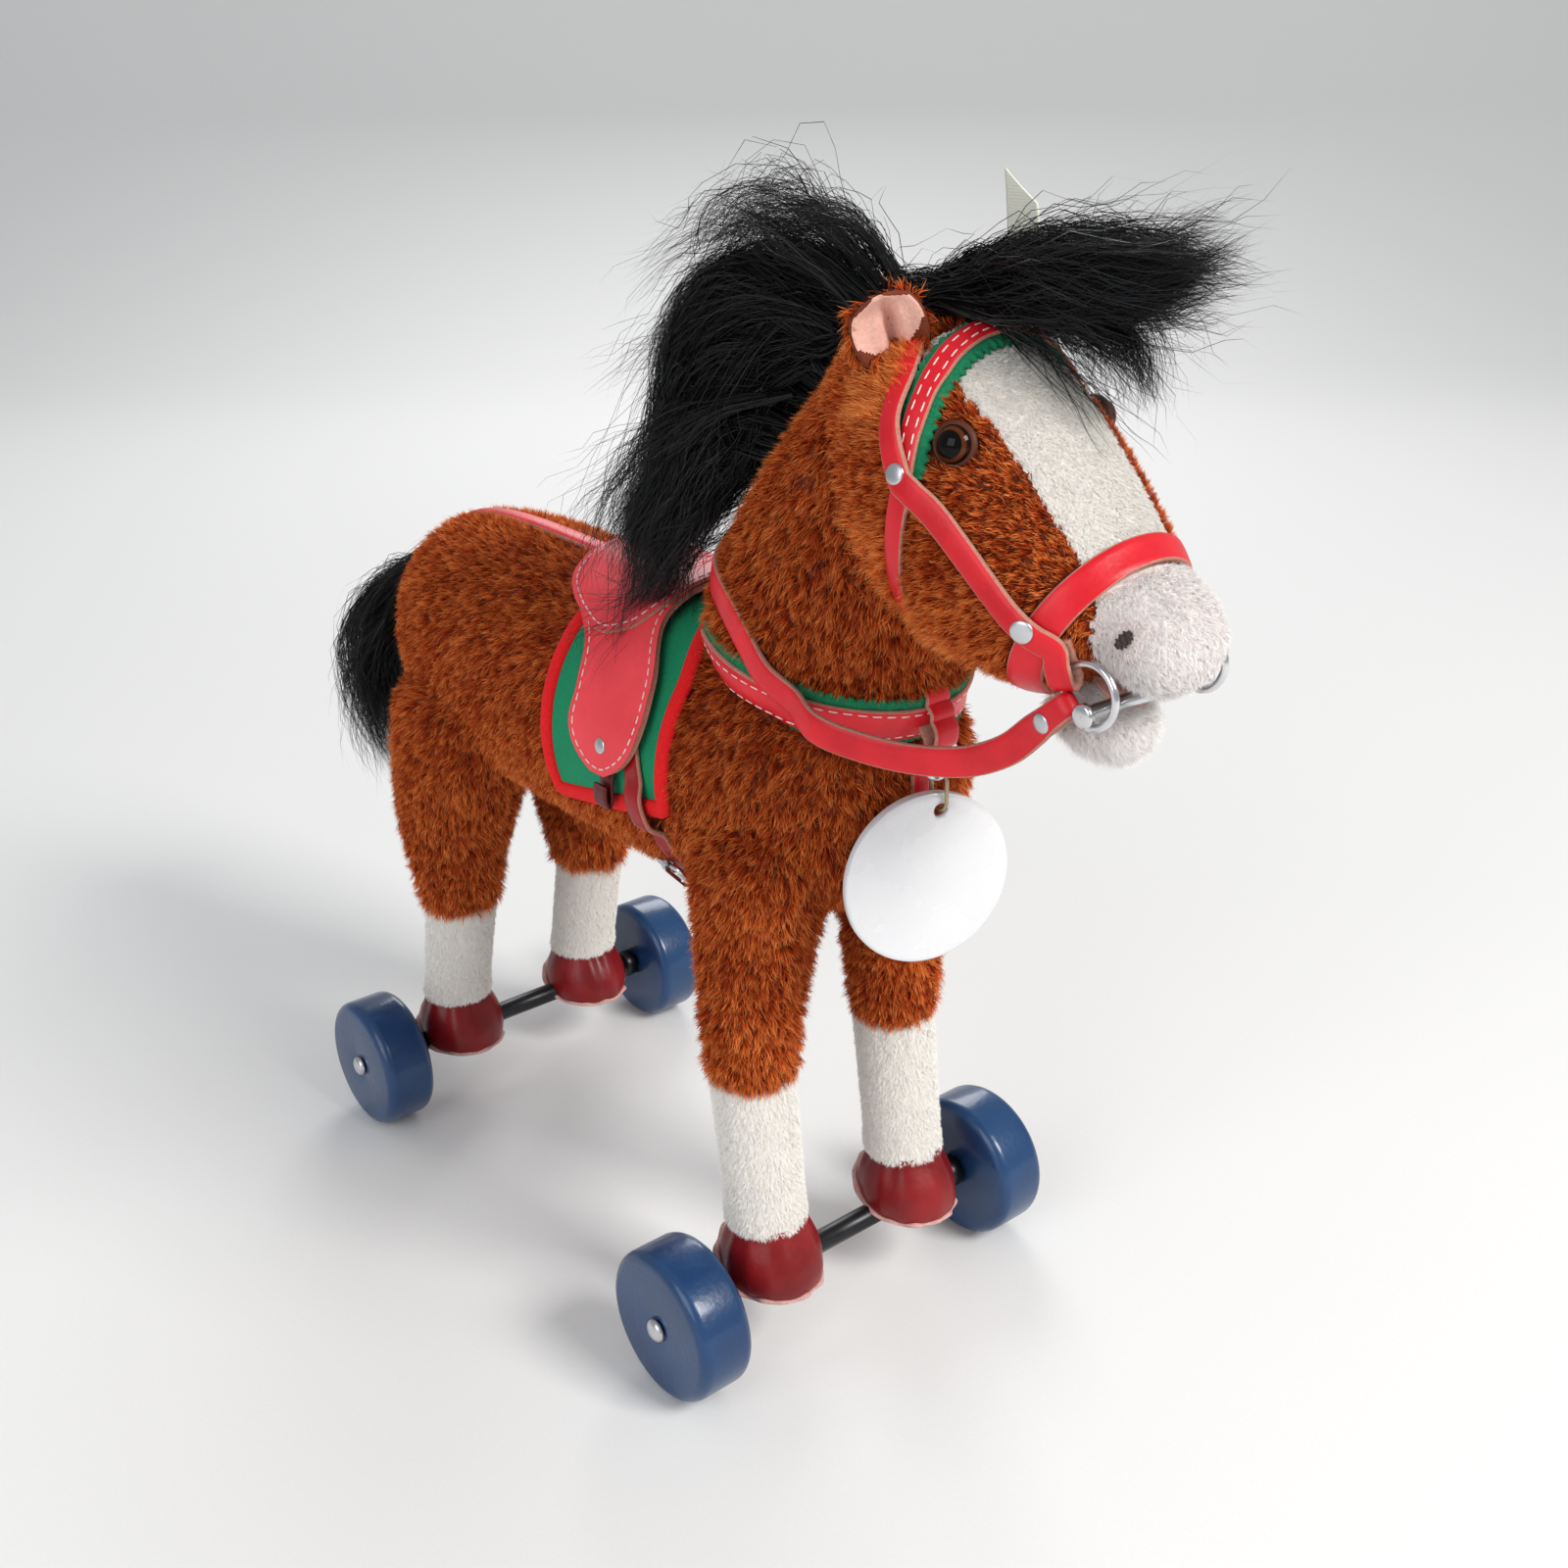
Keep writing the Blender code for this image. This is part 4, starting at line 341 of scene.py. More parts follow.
def unit(vectors):
    return vectors / np.maximum(np.linalg.norm(vectors, axis=-1, keepdims=True), 1e-12)


def array(value):
    return np.array(value, float)


def clipped(values):
    return np.clip(values, 0, 1)


def circle(first, second, steps):
    """Points of a circle round zero, with its two radii given as vectors."""
    angles = np.arange(steps) * tau / steps
    return np.outer(np.cos(angles), array(first)) + np.outer(np.sin(angles), array(second))


def turned(profile, steps, centre, axis):
    """Points and faces of a profile of (radius, height) spun about an axis through a centre."""
    axis = unit(array(axis))
    side = unit(np.cross(axis, (0, 0, 1) if abs(axis[2]) < 0.9 else (1, 0, 0)))
    ring = circle(side, np.cross(axis, side), steps)
    rings = [array(centre) + ring * radius + axis * height for radius, height in profile]
    return np.concatenate(rings), grid_faces(len(profile), steps, closed_columns=True)


def smooth_line(points, count, closed=False):
    """Points spread evenly along a Catmull-Rom curve. Columns beyond x, y and z ride along."""
    points = array(points)
    if closed:
        padded = np.concatenate([points[-1:], points, points[:2]])
    else:
        padded = np.concatenate([2 * points[:1] - points[1:2], points, 2 * points[-1:] - points[-2:-1]])
    t = np.linspace(0, 1, 17)[:-1, None]
    fine = []
    for span in range(len(padded) - 3):
        a, b, c, d = padded[span:span + 4]
        square, cube = 2 * a - 5 * b + 4 * c - d, 3 * b - a - 3 * c + d
        fine.append(0.5 * (2 * b + (c - a) * t + square * t**2 + cube * t**3))
    fine.append(padded[-2:-1])
    fine = np.concatenate(fine)
    length = np.concatenate([[0], np.cumsum(np.linalg.norm(np.diff(fine[:, :3], axis=0), axis=1))])
    wanted = np.linspace(0, length[-1], count + 1)[:-1] if closed else np.linspace(0, length[-1], count)
    return np.stack([np.interp(wanted, length, column) for column in fine.T], 1)


def directions(points, closed=False):
    ahead = np.roll(points, -1, 0) if closed else np.concatenate([points[1:], points[-1:]])
    behind = np.roll(points, 1, 0) if closed else np.concatenate([points[:1], points[:-1]])
    return unit(ahead - behind)


def swept(points, outs, section, closed=False):
    """Sweeps a section of (across, out) along a line. outs says which way is out at each point."""
    along = directions(points, closed)
    across = unit(np.cross(along, outs))
    out = unit(np.cross(across, along))
    section = array(section)
    if section.ndim == 2:
        section = np.repeat(section[None], len(points), 0)
    body = points[:, None] + across[:, None] * section[:, :, :1] + out[:, None] * section[:, :, 1:]
    return body.reshape(-1, 3), grid_faces(len(points), section.shape[1], closed, True)


def round_section(radius, sides, flat=1.0):
    return circle((radius, 0), (0, radius * flat), sides)


def end_caps(rows, columns):
    """Closes both ends of a swept tube with fans of triangles, which share the rings' own points."""
    fan = np.arange(1, columns - 1)
    first = np.stack([np.zeros_like(fan), fan + 1, fan], 1)
    last = (rows - 1) * columns + np.stack([np.zeros_like(fan), fan, fan + 1], 1)
    return np.concatenate([first, last])


print("mesh helpers ready")

# %% [markdown]
# ## Where the harness lies
#
# Leather lies on the stuffed hide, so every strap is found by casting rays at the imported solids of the
# body, neck and head, as a saddler would lay a tape on the toy. One row of three points is cast at each
# step along a strap. The rows are then joined by a smooth curve, because leather bends evenly and
# doesn't follow the small facets of a solid.

# %% Rays against the solids
REACH = 0.2


def union_of(meshes, shown=None):
    """Points and faces of several meshes as one. shown says whether a face of a mesh counts."""
    points, faces = [], []
    for mesh in meshes:
        start = len(points)
        for face in mesh.polygons:
            if shown is None or shown(mesh, face):
                faces.append(tuple(index + start for index in face.vertices))
        points += [tuple(vertex.co) for vertex in mesh.vertices]
    return points, faces


def tree_over(meshes, shown=None):
    return BVHTree.FromPolygons(*union_of(meshes, shown))


def solids(*names):
    return [NODES[name].data for name in names]


def reach_of(trees, origin, outward):
    """How far out the outermost of the surfaces lies."""
    hits = [tree.ray_cast(origin + outward * REACH, -outward, REACH) for tree in trees]
    return max([0.0] + [REACH - hit[3] for hit in hits if hit[0] is not None])


def cast_row(trees, origin, outward, across, width, lift):
    """Three points across a strap, each laid on the surface with a lift."""
    middle = reach_of(trees, origin, outward)
    row = []
    for share in (-1, 0, 1):
        start = origin + across * (share * width / 2)
        reach = reach_of(trees, start, outward) or middle
        row.append(start + outward * (reach + lift))
    return row


def flat_row(centre, across, width):
    return [centre - across * (width / 2), centre, centre + across * (width / 2)]


X, Y, Z = Vector((1, 0, 0)), Vector((0, 1, 0)), Vector((0, 0, 1))
HEAD_TREES = [tree_over([mesh]) for mesh in solids("head", "face_blaze", "muzzle")]
BODY_TREE, NECK_TREE = (tree_over([mesh]) for mesh in solids("body", "neck"))
TRUNK_TREES = [BODY_TREE, NECK_TREE]
HEAD_TURN = Matrix.Rotation(radians(126.4), 4, "X")
HEAD_FRAME = Matrix.Translation((0, -0.1120 + SHIFT, 0.2430)) @ HEAD_TURN
HEAD_ALONG = (HEAD_FRAME.to_3x3() @ Z).normalized()
HEAD_UP = (HEAD_FRAME.to_3x3() @ Y).normalized()


def on_head(x, rise, along):
    """A point in the head's own measure: sideways, out of the face, and towards the mouth."""
    return HEAD_FRAME @ Vector((x, rise, along))


def outward_turn(turn, up, side=X):
    return side * sin(turn) + up * cos(turn)


def spread(start, end, count):
    return [start + (end - start) * step / (count - 1) for step in range(count)]


print("head runs", [round(v, 3) for v in HEAD_ALONG])

# %% A strap, and what is set along it
LEATHER = 0.0013
STRAP_LIFT = 0.0007
BAND_LIFT = 0.0009
LAYER = BAND_LIFT + LEATHER + 3 * 0.0003
EDGE_ROUND, STRAP_CROWN = 0.0003, 0.0001


class Strap:
    """A strip of leather through rows of three points, with a rounded edge on each side."""

    def __init__(self, rows, thickness=LEATHER, spacing=0.0012, closed=False, smoothing=3):
        rows = array([[tuple(point) for point in row] for row in rows])
        for _ in range(smoothing):
            inner = (rows[:-2] + 2 * rows[1:-1] + rows[2:]) / 4
            if closed:
                rows = (np.roll(rows, 1, 0) + 2 * rows + np.roll(rows, -1, 0)) / 4
            else:
                rows[1:-1] = rows[1:-1] * 0.5 + inner * 0.5
        middle = rows[:, 1]
        table = np.concatenate([middle, rows.reshape(len(rows), 9)], 1)
        gaps = np.linalg.norm(np.diff(middle, axis=0), axis=1).sum()
        if closed:
            gaps += np.linalg.norm(middle[0] - middle[-1])
        count = max(8, int(gaps / spacing))
        fine = smooth_line(table, count, closed)[:, 3:].reshape(count, 3, 3)
        self.closed, self.thickness = closed, thickness
        self.left, self.middle, self.right = fine[:, 0], fine[:, 1], fine[:, 2]
        self.along = directions(self.middle, closed)
        self.across = unit(self.right - self.left)
        self.out = unit(np.cross(self.across, self.along))
        self.across = unit(np.cross(self.along, self.out))
        self.half = np.linalg.norm(self.right - self.left, axis=1) / 2
        steps = np.linalg.norm(np.diff(self.middle, axis=0), axis=1)
        self.distance = np.concatenate([[0], np.cumsum(steps)])
        self.length = gaps

    def at(self, distance, across=0.0, lift=0.0):
        """Places on the strap: across is in metres from its middle, lift is above its outer face."""
        distance = np.atleast_1d(np.asarray(distance, float))
        look = lambda table: np.stack([np.interp(distance, self.distance, row) for row in table.T], 1)
        side, out, along = look(self.across), look(self.out), look(self.along)
        half = np.interp(distance, self.distance, self.half)[:, None]
        share = across / half
        bow = (look(self.left) + look(self.right)) / 2 - look(self.middle)
        point = look(self.middle) + bow * share**2 + side * across + out * (self.thickness + lift)
        return point, unit(along), unit(side), unit(out)

    def piece(self, name, finishes, kind, node, body=HORSE):
        """The strap as a mesh. Its finishes are for the outer face, the cut edges and the back."""
        t, e, crown = self.thickness, EDGE_ROUND, STRAP_CROWN
        across = array([-1, -1, -1, -1, -0.5, 0, 0.5, 1, 1, 1, 1, 0.5, 0, -0.5])
        inset = array([e, 0, 0, e, 0, 0, 0, -e, 0, 0, -e, 0, 0, 0])
        height = array([0, e, t - e, t, t + crown, t + crown, t + crown, t, t - e, e, 0, 0, 0, 0])
        share = across[None] + inset[None] / self.half[:, None]
        bow = (self.left + self.right) / 2 - self.middle
        points = self.middle[:, None] + bow[:, None] * share[..., None]**2
        points = points + self.across[:, None] * (share * self.half[:, None])[..., None]
        points = points + self.out[:, None] * height[None, :, None]
        columns = len(across)
        faces = grid_faces(len(points), columns, self.closed, True)
        slots = np.tile([1, 1, 1, 0, 0, 0, 0, 1, 1, 1, 2, 2, 2, 2], len(faces) // columns)
        groups = [faces]
        if not self.closed:
            caps = end_caps(len(points), columns)
            groups.append(caps)
            slots = np.concatenate([slots, np.full(len(caps), 1)])
        groups = [group[:, ::-1] for group in groups]
        return new_piece(name, points, groups, finishes, node, body, slots)


def beads(places, alongs, outs, size):
    """A small rounded bar at each place: size is its half length, half width and half height."""
    ring = round_section(1.0, 6)
    shares = ((-1.0, 0.35), (-0.7, 0.9), (0.7, 0.9), (1.0, 0.35))
    sides = unit(np.cross(alongs, outs))
    layers = []
    for reach, swell in shares:
        layer = places[:, None] + alongs[:, None] * (reach * size[0])
        layer = layer + sides[:, None] * (ring[None, :, :1] * swell * size[1])
        layers.append(layer + outs[:, None] * (ring[None, :, 1:] * swell * size[2]))
    points = np.stack(layers, 1).reshape(len(places), -1, 3)
    start = np.arange(len(places))[:, None, None] * points.shape[1]
    quads = grid_faces(len(shares), len(ring), False, True) + start
    caps = end_caps(len(shares), len(ring)) + start
    return points.reshape(-1, 3), [quads.reshape(-1, 4), caps.reshape(-1, 3)]


STITCH, STITCH_GAP, STITCH_LIFT, STITCH_HALF = 0.0021, 0.0009, 0.00005, 0.00022


def stitch_row(strap, across, start, end):
    """Places and directions of a row of stitches along a strap."""
    count = max(1, int((end - start) / (STITCH + STITCH_GAP)))
    distance = start + (end - start) / count * (np.arange(count) + 0.5)
    point, along, _, out = strap.at(distance, across, STITCH_LIFT)
    return point, along, out


print("strap tools ready")

# %% [markdown]
# ## Leather and felt
#
# The harness is cut from dyed red leather, about 1.3 mm thick. Its face is smooth with a fine grain and
# catches soft highlights, and the colour sits only near the face, so the cut edges show pale suede.
# Two finishes on one strap give that: one for the face, one for edges and back. Felt is wool pressed
# flat: no weave, a fibrous bump and no shine at all.

# %% Finishes for leather, felt and thread
def leather(name, colour, dark, roughness=0.40, grain=900):
    finish = Finish(name, Coat_Weight=0.08, Coat_Roughness=0.3, Specular_IOR_Level=0.3)
    tone = finish.noise(70, 4).ramp(0.30, 0.72)
    pores = finish.node("TexVoronoi", {"feature": "SMOOTH_F1"}, {"Vector": finish.place(), "Scale": grain})
    fine = finish.noise(grain * 2, 2)
    finish.set("Base Color", (tone * 0.8 + fine * 0.2).mix(dark, colour))
    finish.set("Roughness", fine * 0.14 + tone * 0.08 + (roughness - 0.11))
    finish.bump(pores + fine * 0.5, 0.22, 0.0002)
    return finish


def felt(name, colour, dark, sheen=0.35):
    finish = Finish(name, Roughness=0.95, Sheen_Weight=sheen, Sheen_Roughness=0.6, Sheen_Tint=(*colour, 1))
    fibres = finish.noise(1500, 5, roughness=0.7)
    cloud = finish.noise(120, 3)
    finish.set("Base Color", (fibres.ramp(0.3, 0.7) * 0.7 + cloud * 0.3).mix(dark, colour))
    finish.bump(fibres, 0.5, 0.0005)
    return finish


def thread(name, colour, dark):
    finish = Finish(name, Roughness=0.7)
    inputs = {"Vector": finish.place(), "Scale": 900, "Distortion": 2}
    ply = finish.node("TexWave", {"wave_type": "BANDS"}, inputs)
    finish.set("Base Color", ply.mix(dark, colour))
    finish.bump(ply, 0.3, 0.0001)
    return finish


RED = leather("red_leather", (0.760, 0.014, 0.026), (0.560, 0.006, 0.014))
SADDLE_RED = leather("saddle_leather", (0.960, 0.070, 0.086), (0.820, 0.046, 0.060), 0.50)
DARK_RED = leather("girth_leather", (0.400, 0.006, 0.010), (0.260, 0.003, 0.005), 0.35)
STIRRUP_BROWN = leather("stirrup_leather", (0.150, 0.008, 0.006), (0.070, 0.004, 0.003), 0.38)
CUT_EDGE = felt("cut_leather_edge", (0.560, 0.270, 0.200), (0.400, 0.140, 0.100), 0.1)
SUEDE = felt("leather_back", (0.560, 0.300, 0.220), (0.450, 0.210, 0.150), 0.1)
GREEN = felt("green_felt", (0.002, 0.285, 0.125), (0.000, 0.200, 0.080), 0.15)
PINKED = felt("pinked_felt", (0.002, 0.230, 0.095), (0.000, 0.130, 0.050), 0.15)
PIPING = felt("piping_felt", (0.900, 0.006, 0.010), (0.660, 0.001, 0.004), 0.1)
WHITE_THREAD = thread("white_thread", (0.860, 0.830, 0.780), (0.640, 0.590, 0.540))
print("leather and felt ready")

# %% [markdown]
# ## Bright metal
#
# Rivets, bit, rings and buckle are nickel-plated steel. Plating is a mirror with faint scratches, so
# metallic is 1 and a fine noise lifts the roughness in places. The hook that carries the disc is dull
# bronze wire.

# %% Finishes for metal
def metal(name, colour, roughness, scratch=0.12):
    finish = Finish(name, Metallic=1.0)
    wear = finish.noise(160, 5)
    finish.set("Base Color", wear.ramp(0.3, 0.75).mix([c * 0.86 for c in colour], colour))
    finish.set("Roughness", wear * scratch + (roughness - scratch / 2))
    finish.bump(finish.noise(1100, 2), 0.06, 0.0001)
    return finish


NICKEL = metal("nickel_plate", (0.74, 0.74, 0.76), 0.20)
RIVET_NICKEL = metal("rivet_nickel", (0.66, 0.66, 0.68), 0.32)
BRONZE = metal("bronze_wire", (0.40, 0.31, 0.20), 0.36)
print("metal ready")

# %% [markdown]
# ## Bridle
#
# The noseband is one closed ring of leather round the muzzle. The browband runs under the forelock from
# rivet to rivet and is stitched to a strip of green felt with pinked (zigzag) edges. The throatlatch
# passes under the jaw. One long headstall strap lies over all of them, from bit ring to bit ring, and
# its ends are folded round the rings. Each is a Strap through cast rows, so they lie on the head in the
# same places as their solids.

# %% Noseband, browband and throatlatch
NOSEBAND_ALONG, NOSEBAND_WIDTH, THROAT_WIDTH = 0.0560, 0.0062, 0.0050
NOSE_UP = (HEAD_UP - HEAD_ALONG * 0.12).normalized()
BROW_RIVET = on_head(0, 0.0055, 0.0160)
BROW_TOP = on_head(0, 0.0250, -0.0010)
THROAT = on_head(0, -0.0240, 0.0320)


def rows_round(trees, base, up, across, width, lift, turns, side=X):
    """Rows of a strap that is laid round a base, one row for each turn."""
    return [cast_row(trees, base, outward_turn(turn, up, side), across, width, lift) for turn in turns]


def fan(degrees, count):
    """Angles spread evenly from -degrees to degrees."""
    return spread(-radians(degrees), radians(degrees), count)


def leather_strap(name, node, rows, face=RED, **shape):
    """A strap of leather that stands for one solid. shape is what Strap takes."""
    strap = Strap(rows, **shape)
    piece = strap.piece(name, [face, CUT_EDGE, SUEDE], "red_leather", node)
    print(name, round(strap.length, 4))
    return strap, piece


noseband = leather_strap("noseband_leather", "noseband", rows_round(
    HEAD_TREES, on_head(0, 0, NOSEBAND_ALONG), NOSE_UP, X.cross(NOSE_UP), NOSEBAND_WIDTH, BAND_LIFT,
    spread(0, tau, 61)[:-1],
), closed=True)[1]
throat_down = (THROAT - BROW_RIVET).normalized()
throatlatch = leather_strap("throatlatch_leather", "throatlatch", rows_round(
    HEAD_TREES, BROW_RIVET.lerp(THROAT, 1 / 3), throat_down, X.cross(throat_down), THROAT_WIDTH, BAND_LIFT,
    fan(108, 41),
))[1]

# %% Bit rings, bar, and a strap's end folded round a ring
RING_RADIUS, RING_WIRE = 0.0062, 0.0008
RING_X, RING_RISE, RING_ALONG = 0.0161, 0.0002, 0.0698
EYE_WIDTH = 0.0052
FOLD = 0.0080


def ring_offset(angle, radius):
    """From a bit ring's centre to its wire: angle 0 is out of the face, 90 degrees towards the mouth."""
    return (HEAD_UP * cos(angle) + HEAD_ALONG * sin(angle)) * radius


def ring_centre(sign):
    return on_head(sign * RING_X, RING_RISE, RING_ALONG)


def folded(wire, reaching, out, across, width):
    """Rows for the end of a strap: past a wire, round it, and back underneath."""
    inner = RING_WIRE + 0.0002
    rows = []
    for ahead, height in (
        (-inner * 3.5, inner), (0, inner), (inner * 0.7, inner * 0.7), (inner, 0),
        (inner * 0.7, -inner * 0.7), (0, -inner), (-inner * 2.5, -inner * 0.5), (-FOLD, -inner * 0.3),
    ):
        rows.append(flat_row(wire + reaching * ahead + out * height, across, width))
    return rows


def wire_ring(name, node, centre, first, second, radius):
    outs = circle(first, second, 56)
    points, faces = swept(array(centre) + outs * radius, outs, round_section(RING_WIRE, 12), closed=True)
    return new_piece(name, points, [faces], [NICKEL], node)


for side, sign in SIDES:
    label, place = "bit_ring_nickel_" + side, ring_centre(sign)
    wire_ring(label, "bit_ring_" + side, place, HEAD_UP, HEAD_ALONG, RING_RADIUS)

bar_low, bar_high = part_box("bit_bar")
HALF_BAR, BAR_RADIUS, BAR_HEAD, HEAD_WIDTH = (bar_high.x - bar_low.x) / 2, 0.0016, 0.0024, 0.0014
profile = [(0.0001, -HALF_BAR), (BAR_HEAD * 0.8, -HALF_BAR), (BAR_HEAD, 0.0003 - HALF_BAR)]
profile += [(BAR_HEAD, HEAD_WIDTH - HALF_BAR), (BAR_RADIUS, HEAD_WIDTH + 0.0002 - HALF_BAR)]
profile += [(radius, -height) for radius, height in profile[::-1]]
points, faces = turned(profile, 40, (bar_low + bar_high) / 2, X)
new_piece("bit_bar_nickel", points, [faces], [NICKEL], "bit_bar", "bit")
print("bit bar", round(HALF_BAR * 2, 4))

# %% Headstall
CHEEK_WIDTH = 0.0051
POLL_WIDTH = 0.0046
CHEEK_LEVEL = 0.0030
CHEEK_EYE_ANGLE = radians(250)
HEADSTALL_TREES = HEAD_TREES + [NECK_TREE]
POLL_ALONG, POLL_RISE = -0.0125, 0.0180
RIVET_ALONG, RIVET_LEVEL = 0.0160, 0.0055
CHEEK_STEPS = (
    (NOSEBAND_ALONG + NOSEBAND_WIDTH * 0.6, CHEEK_LEVEL, LAYER),
    (NOSEBAND_ALONG, CHEEK_LEVEL, LAYER),
    (NOSEBAND_ALONG - NOSEBAND_WIDTH * 0.6, CHEEK_LEVEL, LAYER),
    (NOSEBAND_ALONG - NOSEBAND_WIDTH * 1.5, CHEEK_LEVEL, (STRAP_LIFT + LAYER) / 2),
    (NOSEBAND_ALONG / 2, RIVET_LEVEL, (STRAP_LIFT + LAYER) / 2),
    (RIVET_ALONG + 0.0045, RIVET_LEVEL, LAYER),
    (RIVET_ALONG, RIVET_LEVEL, LAYER),
)


def headstall_half(sign):
    side = X * sign
    wire = ring_centre(sign) + ring_offset(CHEEK_EYE_ANGLE, RING_RADIUS)
    start = on_head(0, CHEEK_LEVEL, CHEEK_STEPS[0][0])
    first = cast_row(HEADSTALL_TREES, start, side, HEAD_UP, CHEEK_WIDTH, LAYER)
    reaching = (wire + side * 0.0010 - first[1]).normalized()
    across = (HEAD_UP - reaching * HEAD_UP.dot(reaching)).normalized()
    out = (side - reaching * side.dot(reaching)).normalized()
    rows = folded(wire, reaching, out, across, EYE_WIDTH)[::-1]
    for along, level, lift in CHEEK_STEPS:
        rows.append(cast_row(HEADSTALL_TREES, on_head(0, level, along), side, HEAD_UP, CHEEK_WIDTH, lift))
    for turn_share, lift in ((0.80, LAYER), (0.62, 0.0010), (0.45, 0.0005), (0.30, 0.0005), (0.15, 0.0005)):
        outward = outward_turn(turn_share * pi / 2, HEAD_UP, side)
        blend = 1 - turn_share
        back = RIVET_ALONG + (POLL_ALONG - RIVET_ALONG) * min(1, blend * 8 / 5)
        base = on_head(0, POLL_RISE * blend / 2, back)
        across = HEAD_ALONG * blend + HEAD_UP * (turn_share * 4 / 5)
        across = (across - outward * across.dot(outward)).normalized()
        rows.append(cast_row(HEADSTALL_TREES, base, outward, across, POLL_WIDTH, lift))
    return rows


poll_row = cast_row(HEADSTALL_TREES, on_head(0, 0, POLL_ALONG), HEAD_UP, HEAD_ALONG, POLL_WIDTH, 0.0006)
headstall_strap, headstall = leather_strap(
    "headstall_leather", "headstall", headstall_half(-1) + [poll_row] + headstall_half(1)[::-1],
    smoothing=0, spacing=0.0008,
)

# %% [markdown]
# ## Saddle and blanket
#
# The blanket is a sheet of green felt laid over the back, bound with a rolled tape of bright red felt.
# The saddle lies on it: one piece of leather with a tongue down each side, and a seat stitched on top
# of it. Both are grids of points laid over the solids of the back, between a front and a rear edge that
# change with the angle round the barrel. A grid keeps the outline exact, and a normal at each point
# tells stitches and piping which way is out.

# %% Sheets draped over the back
BACK = 0.1510
CLOTH, PIPING_THICKNESS = 0.0012, 0.0030
UNDER_LAYER = STRAP_LIFT + CLOTH + 0.0003
OVER_PIPING = STRAP_LIFT + PIPING_THICKNESS + 0.0006
TRUNK_SMOOTH = 3


def draped(y, turn, lift, trees=TRUNK_TREES):
    origin = Vector((0, y, BACK))
    outward = outward_turn(turn, Z)
    return origin + outward * (reach_of(trees, origin, outward) + lift)


class Sheet:
    """A grid of points over the back, with thickness and a normal at each point."""

    def __init__(self, grid, thickness):
        grid = array([[tuple(point) for point in row] for row in grid])
        for _ in range(TRUNK_SMOOTH):
            grid[1:-1] = (grid[:-2] + 2 * grid[1:-1] + grid[2:]) / 4
            grid[:, 1:-1] = (grid[:, :-2] + 2 * grid[:, 1:-1] + grid[:, 2:]) / 4
        self.grid, self.thickness = grid, thickness
        rows, columns = np.gradient(grid, axis=0), np.gradient(grid, axis=1)
        self.out = unit(np.cross(columns, rows))
        if (self.out * (grid - array((0, 0, BACK)) * (0, 1, 1))).sum() < 0:
            self.out = -self.out

    def outline(self, spacing, inset=0.0, lift=0.0):
        """Points, directions and outs round the sheet's edge, moved in from it."""
        both = np.concatenate([border(self.grid), border(self.out)], 1)
        length = np.linalg.norm(np.diff(both[:, :3], axis=0), axis=1).sum()
        both = smooth_line(both, int(length / 0.0008), closed=True)
        for _ in range(2 * TRUNK_SMOOTH):
            both = (np.roll(both, 1, 0) + 2 * both + np.roll(both, -1, 0)) / 4
        points, outs = both[:, :3], unit(both[:, 3:])
        alongs = directions(points, True)
        inward = unit(np.cross(outs, alongs))
        middle = self.grid.reshape(-1, 3).mean(0)
        if (inward * (middle - points)).sum() < 0:
            inward = -inward
        points = points + inward * inset + outs * (self.thickness + lift)
        count = int(length / spacing)
        places = smooth_line(np.concatenate([points, outs], 1), count, closed=True)
        return places[:, :3], directions(places[:, :3], True), unit(places[:, 3:])

    def piece(self, name, finishes, node=None, kind="red_leather", round_edge=0.0004):
        points = np.concatenate([self.grid, self.grid + self.out * self.thickness])
        lower, upper, rim = slab_faces(*self.grid.shape[:2])
        slots = np.concatenate([np.full(len(lower), 2), np.full(len(upper), 0), np.full(len(rim), 1)])
        made = new_piece(name, points, [lower, upper, rim[:, ::-1]], finishes, node, slots=slots)
        if round_edge:
            bevel = made.modifiers.new("edge", "BEVEL")
            bevel.width, bevel.segments, bevel.limit_method = round_edge, 2, "ANGLE"
            bevel.angle_limit = radians(50)
        return made


def blended(table, at):
    """Each column of a table, read at a value of its first column along a smooth curve."""
    table = array(table)
    slopes = np.gradient(table[:, 1:], table[:, 0], axis=0)
    index = int(np.clip(np.searchsorted(table[:, 0], at) - 1, 0, len(table) - 2))
    span = table[index + 1, 0] - table[index, 0]
    t = (at - table[index, 0]) / span
    a, b = table[index, 1:], table[index + 1, 1:]
    u, v = slopes[index] * span, slopes[index + 1] * span
    ends = (2 * t**3 - 3 * t**2 + 1) * a + (t**3 - 2 * t**2 + t) * u
    return ends + (3 * t**2 - 2 * t**3) * b + (t**3 - t**2) * v


print("sheets ready")

# %% Blanket with its rolled edge
BLANKET_REAR, BLANKET_FRONT, BLANKET_WITHERS = -0.0055 + SHIFT, -0.0570 + SHIFT, -0.0430 + SHIFT
REAR_TURN, FRONT_TURN, WITHERS_SHARE = radians(118), radians(99), 0.45


def blanket_point(share, length_share, lift):
    sweep = min(1.0, abs(share) / WITHERS_SHARE)
    front = BLANKET_WITHERS + (BLANKET_FRONT - BLANKET_WITHERS) * sweep
    y = front + (BLANKET_REAR - front) * length_share
    turn = share * (FRONT_TURN + (REAR_TURN - FRONT_TURN) * length_share)
    return draped(y, turn, lift)


